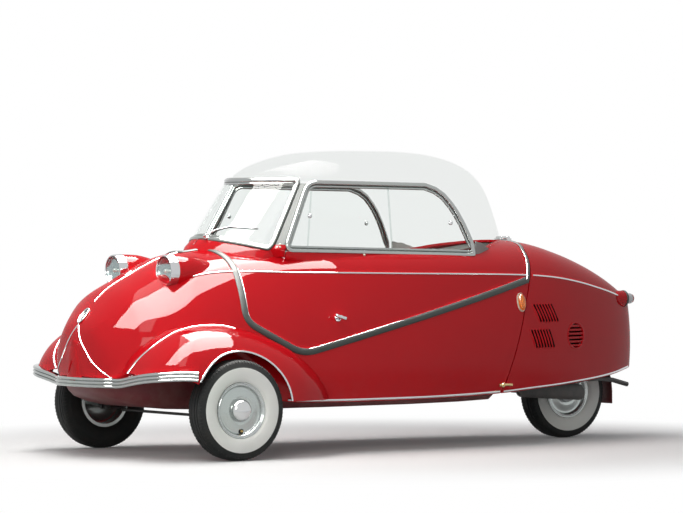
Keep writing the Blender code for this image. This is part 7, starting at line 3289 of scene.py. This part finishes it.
    def _handle(self) -> None:
        """T handle with its rose."""
        shop = self.crew.shop
        y, z = place(0.553), 0.556
        spot, normal = self.body.side(y, z)
        turn = normal.to_track_quat("Z", "Y").to_matrix().to_4x4()
        matrix = Matrix.Translation(spot) @ turn
        rose = lathe(
            "handle_rose",
            [(0, 0.006), (0.009, 0.006), (0.0135, 0.0045), (0.0155, 0.001), (0.0155, -0.002), (0, -0.002)],
            matrix, 40
        )
        stem = lathe(
            "handle_stem",
            [
                (0, 0.036), (0.0065, 0.034), (0.0072, 0.028), (0.0062, 0.016), (0.0072, 0.006), (0.0072, 0),
                (0, 0)
            ],
            matrix, 32
        )
        tip = spot + normal * 0.030
        run = Vector((0, 0.94, -0.28)).normalized()
        rows = []
        for t in np.linspace(-1, 1, 25):
            size = 0.0062 + 0.0018 * abs(t) ** 2 if abs(t) < 0.96 else 0.0045
            rows.append(Station(tip + run * 0.027 * t, run.cross(normal).normalized(), normal, size / 0.0062))
        section = [
            (0.0062 * math.cos(2 * math.pi * s / 16), 0.0055 * math.sin(2 * math.pi * s / 16))
            for s in range(16)
        ]
        bar = sweep("handle_bar", rows, section, angle=50)
        self.crew.add(
            merge("t_handle", [rose, stem, bar]), "canopy", Finish.CHROME, shop.chrome(), ["door_handle"]
        )

    def _wiper(self) -> None:
        """Wiper arm and blade on the windscreen."""
        shop = self.crew.shop

        def on_glass(x: float, z: float, off: float) -> Vector:
            """Point ahead of the windscreen.

            Args:
                x: Place across.
                z: Height.
                off: Distance ahead of the glass.

            Returns:
                The point.
            """
            return Vector((x, screen_y(x, z) - off * 1.2, z + off * 0.5))

        base = Vector((0.055, screen_y(0.055, 0.889) - 0.012, 0.886))
        turn = Vector((0, -0.8, 0.6)).to_track_quat("Z", "Y").to_matrix().to_4x4()
        post = lathe(
            "wiper_post",
            [
                (0, 0.018), (0.006, 0.017), (0.0075, 0.012), (0.006, 0.006), (0.009, 0.002), (0.009, -0.004),
                (0, -0.004)
            ],
            Matrix.Translation(base) @ turn, 28
        )
        arm = tube(
            "wiper_arm",
            [base + Vector((0, -0.009, 0.010)), on_glass(0.090, 0.912, 0.014), on_glass(0.140, 0.926, 0.013)],
            0.0022, sides=10
        )
        sweep_line = []
        for x in np.linspace(0.075, 0.218, 24):
            rise = 0.0195 * math.sin(math.pi / 2 * min(1.0, (x - 0.075) / 0.060))
            sweep_line.append((x, 0.905 + rise - 0.10 * max(0.0, x - 0.150)))
        blade = tube("wiper_blade", [on_glass(x, z, 0.006) for x, z in sweep_line], 0.0028, sides=8)
        spine = tube("wiper_spine", [on_glass(x, z, 0.011) for x, z in sweep_line[2:-2]], 0.0016, sides=8)
        self.crew.add(merge("wiper_metal", [post, arm, spine]), "canopy", Finish.CHROME, shop.chrome())
        self.crew.add(blade, "canopy", Finish.RUBBER, shop.rubber())

    def _screws(self) -> None:
        """Pale screws round the windows."""
        shop = self.crew.shop
        spots = []
        for side in (1, -1):
            for distance, z in ((0.760, 0.812), (1.180, 0.800)):
                spots.append(
                    (Vector((side * (side_x(z) + 0.010), place(distance), z)), Vector((side, 0, 0.25)))
                )
            for rise, share in ((0.846, 0.40), (0.846, 0.62), (0.858, 0.52)):
                front, rear, out = pillar_edges(rise)
                spot = front.lerp(rear, share) + out * 0.0070
                spots.append((Vector((side * spot.x, spot.y, spot.z)), Vector((side * out.x, out.y, 0.2))))
        heads = []
        for spot, out in spots:
            turn = out.normalized().to_track_quat("Z", "Y").to_matrix().to_4x4()
            heads.append(
                lathe(
                    "screw",
                    [
                        (0, 0.0030), (0.0022, 0.0027), (0.0040, 0.0016), (0.0046, 0), (0.0046, -0.004),
                        (0, -0.004)
                    ],
                    Matrix.Translation(spot) @ turn, 20
                )
            )
        self.crew.add(merge("window_screws", heads), "canopy", Finish.ALUMINIUM, shop.ivory())

    def _latch(self) -> None:
        """Latch low on the hoop."""
        shop = self.crew.shop
        z = 0.262
        y = seam_y(z)
        points = [
            self.body.side(y + step, z - 0.04 * abs(step), 1) for step in np.linspace(-0.034, 0.040, 16)
        ]
        strap = self.body.stations(points)
        clip = sweep("latch_strap", strap, half_round(0.0130, 0.0075, 0.002))
        spot, normal = points[4]
        turn = normal.to_track_quat("Z", "Y").to_matrix().to_4x4()
        boss = lathe(
            "latch_boss",
            [(0, 0.0125), (0.0070, 0.0120), (0.0098, 0.0090), (0.0105, 0.004), (0.0105, -0.002), (0, -0.002)],
            Matrix.Translation(spot) @ turn, 32
        )
        brass = shop.paint(
            "latch_brass", Paint((0.62, 0.47, 0.24), 0.25, metallic=1.0, relief=0.02, dirt=0.1)
        )
        self.crew.add(merge("tail_latch", [clip, boss]), "root", Finish.CHROME, brass)


class Camera:
    """The photograph's camera."""

    PLACE = Vector((12.8522, -8.6768, 0.9138))
    RIGHT = Vector((0.55513, 0.83176, -0.00289))
    UP = Vector((-0.00433, 0.00637, 0.99997))
    FORWARD = Vector((-0.83175, 0.55510, -0.00714))

    def build(self) -> bpy.types.Object:
        """Make the camera.

        Returns:
            The camera object.
        """
        data = bpy.data.cameras.new("photo_camera")
        data.lens = 192.82
        data.sensor_width = 36.0
        data.clip_start = 0.1
        data.clip_end = 100.0
        camera = bpy.data.objects.new("photo_camera", data)
        matrix = Matrix((self.RIGHT, self.UP, -self.FORWARD)).transposed().to_4x4()
        camera.matrix_world = Matrix.Translation(self.PLACE) @ matrix
        bpy.context.scene.collection.objects.link(camera)
        bpy.context.scene.camera = camera
        return camera


FLOOR_REACH = 40.0


@dataclass(frozen=True)
class SoftLamp:
    """Rectangular soft lamp.

    Attributes:
        name: Lamp name.
        spot: Its place.
        target: What it points at.
        size: Width and height.
        watts: Its power.
        colour: Its colour.
        gleam: Whether only mirrors and clear coats see it.
    """

    name: str
    spot: tuple[float, float, float]
    target: tuple[float, float, float]
    size: tuple[float, float]
    watts: float
    colour: tuple[float, float, float]
    gleam: bool = False


# A long box overhead, its gleam in the clear coat, and a weak box ahead
SOFT_LAMPS = (
    SoftLamp("overhead_strip", (0.7, -2.0, 3.6), (0.6, -1.9, 0.0), (1.5, 6.0), 150, (1.0, 0.985, 0.96)),
    SoftLamp(
        "overhead_gleam", (0.6, -1.9, 3.59), (0.6, -1.9, 0.0), (1.7, 5.8), 1150, (1.0, 0.97, 0.94), True
    ),
    SoftLamp("belt_gleam", (-0.9, 0.3, 3.59), (-0.9, 0.3, 0.0), (1.5, 1.6), 330, (1.0, 0.97, 0.94), True),
    SoftLamp("front_box", (4.6, -4.6, 2.2), (0, -0.4, 0.5), (2.4, 1.8), 95, (1.0, 0.98, 0.94)),
)


class Studio:
    """Pale floor, background and soft lamps."""

    def build(self) -> None:
        """Make floor, world and lamps."""
        self._floor()
        self._world()
        self._lamps()
        bpy.context.scene.view_settings.view_transform = "Standard"

    @staticmethod
    def _seen(t: NodeTree) -> bpy.types.NodeSocket:
        """Whether a ray comes from the camera, a mirror or a clear pane.

        Args:
            t: Tree helper.

        Returns:
            1 for such a ray, else 0.
        """
        path = t.add("ShaderNodeLightPath")
        through = t.math("MAXIMUM", path.outputs["Is Glossy Ray"], path.outputs["Is Transmission Ray"])
        return t.math("MAXIMUM", path.outputs["Is Camera Ray"], through)

    @staticmethod
    def _floor() -> None:
        """Pale floor that keeps the car's shadow and fades into the white round it."""
        corners = [(x * FLOOR_REACH, y * FLOOR_REACH, 0) for x, y in ((-1, -1), (1, -1), (1, 1), (-1, 1))]
        floor = new_object("studio_floor", corners, [(0, 1, 2, 3)])
        material = bpy.data.materials.new("floor_pale")
        material.use_nodes = True
        t = NodeTree(material.node_tree)
        material.node_tree.nodes.clear()
        where = t.add("ShaderNodeTexCoord").outputs["Object"]
        reach = t.add("ShaderNodeVectorMath", operation="LENGTH")
        t.link(where, reach.inputs[0])
        fade = t.add("ShaderNodeMapRange", interpolation_type="SMOOTHSTEP")
        t.feed(fade, Value=reach.outputs["Value"], From_Min=1.25, From_Max=2.5, To_Min=0.04, To_Max=1.0)
        seen = Studio._seen(t)
        matt = t.add("ShaderNodeBsdfDiffuse")
        tone = t.add("ShaderNodeMix", data_type="RGBA")
        t.link(seen, tone.inputs[0])
        tone.inputs[6].default_value = (0.45, 0.45, 0.45, 1)
        tone.inputs[7].default_value = (0.86, 0.86, 0.86, 1)
        t.link(tone.outputs[2], matt.inputs["Color"])
        white = t.add("ShaderNodeEmission")
        mix = t.add("ShaderNodeMixShader")
        t.link(t.math("MULTIPLY", seen, fade.outputs[0]), mix.inputs[0])
        t.link(matt.outputs[0], mix.inputs[1])
        t.link(white.outputs[0], mix.inputs[2])
        output = t.add("ShaderNodeOutputMaterial")
        t.link(mix.outputs[0], output.inputs["Surface"])
        floor.data.materials.append(material)

    @staticmethod
    def _world() -> None:
        """White where it is seen, in metal and glass too, and softer for the light it gives."""
        world = bpy.data.worlds.new("studio_world")
        bpy.context.scene.world = world
        world.use_nodes = True
        t = NodeTree(world.node_tree)
        world.node_tree.nodes.clear()
        output = t.add("ShaderNodeOutputWorld")
        seen = t.add("ShaderNodeBackground")
        seen.inputs["Color"].default_value = (1, 1, 1, 1)
        seen.inputs["Strength"].default_value = 1.0
        lit = t.add("ShaderNodeBackground")
        lit.inputs["Color"].default_value = (0.96, 0.97, 1.0, 1)
        lit.inputs["Strength"].default_value = 0.28
        shown = Studio._seen(t)
        mix = t.add("ShaderNodeMixShader")
        t.link(shown, mix.inputs[0])
        t.link(lit.outputs[0], mix.inputs[1])
        t.link(seen.outputs[0], mix.inputs[2])
        t.link(mix.outputs[0], output.inputs["Surface"])

    @staticmethod
    def _lamps() -> None:
        """Hang the soft lamps."""
        for soft in SOFT_LAMPS:
            data = bpy.data.lights.new(soft.name, "AREA")
            data.shape = "RECTANGLE"
            data.size, data.size_y = soft.size
            data.energy = soft.watts
            data.color = soft.colour
            lamp = bpy.data.objects.new(soft.name, data)
            lamp.location = soft.spot
            run = Vector(soft.target) - Vector(soft.spot)
            lamp.rotation_euler = run.to_track_quat("-Z", "Y").to_euler()
            lamp.visible_diffuse = not soft.gleam
            bpy.context.scene.collection.objects.link(lamp)


# Node, body, finish and width of the rounded edges
DRESSED_NODES = (
    ("floor_pan", "root", Finish.DARK_RED, 0.0),
    ("rear_bulkhead", "root", Finish.GREY, 0.001),
    ("dashboard", "root", Finish.GREY, 0.002),
    ("front_seat_base", "root", Finish.BLACK, 0.002),
    ("steering_column", "root", Finish.BLACK, 0.0),
    ("pedals", "root", Finish.BLACK, 0.0015),
    ("rear_subframe", "root", Finish.BLACK, 0.0),
    ("engine_block", "root", Finish.BLACK, 0.006),
    ("rear_fork", "root", Finish.BLACK, 0.0),
    ("chain_case", "root", Finish.BLACK, 0.003),
    ("rear_wheel_guard", "root", Finish.DARK_RED, 0.0008),
    ("exhaust", "root", Finish.BLACK, 0.0),
    ("canopy_hinge_body", "root", Finish.CHROME, 0.0006),
    ("tail_hinge_body", "root", Finish.CHROME, 0.0006),
    ("suspension_arm_left", "root", Finish.BLACK, 0.0),
    ("suspension_arm_right", "root", Finish.BLACK, 0.0),
    ("rear_shelf", "canopy", Finish.GREY, 0.002),
    ("canopy_hinge_leaf", "canopy", Finish.CHROME, 0.0006),
    ("tail_hinge_leaf", "tail", Finish.CHROME, 0.0006),
    ("knuckle_left", "steer_left", Finish.BLACK, 0.0008),
    ("knuckle_right", "steer_right", Finish.BLACK, 0.0008),
    ("track_rod", "track_link", Finish.BLACK, 0.0),
    ("steering_bar", "handlebar", Finish.BLACK, 0.0),
)


def dress_nodes(crew: Crew) -> None:
    """Finish the CAD nodes whose shape stays as it is.

    Args:
        crew: Finishes the pieces.
    """
    shop = crew.shop
    materials = {
        Finish.DARK_RED: shop.underside(), Finish.GREY: shop.grey(), Finish.BLACK: shop.black(),
        Finish.CHROME: shop.chrome(),
    }
    for node, body, finish, bevel in DRESSED_NODES:
        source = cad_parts[node]
        obj = bpy.data.objects.new(node + "_dressed", source.data.copy())
        bpy.context.scene.collection.objects.link(obj)
        smooth_shade(obj)
        if bevel:
            round_edges(obj, bevel)
        crew.add(obj, body, finish, materials[finish], [node])


def main() -> None:
    """Dress the whole car."""
    logging.basicConfig(level=logging.INFO)
    Camera().build()
    shop = MaterialShop()
    crew = Crew(shop, Repeater())
    form = Form()
    body = Probe(form.body)
    front = Probe(form.body, form.fender, form.fender * np.array((-1, 1, 1)))
    Panels(crew, form).build()
    Wheels(crew).build()
    Glazing(crew, form, body).build()
    Trim(crew, form, body, front).build()
    Lamps(crew, body).build()
    Cabin(crew).build()
    Fittings(crew, body).build()
    dress_nodes(crew)
    Studio().build()
    LOG.info("%d pieces", crew.count)


if __name__ == "__main__":
    main()
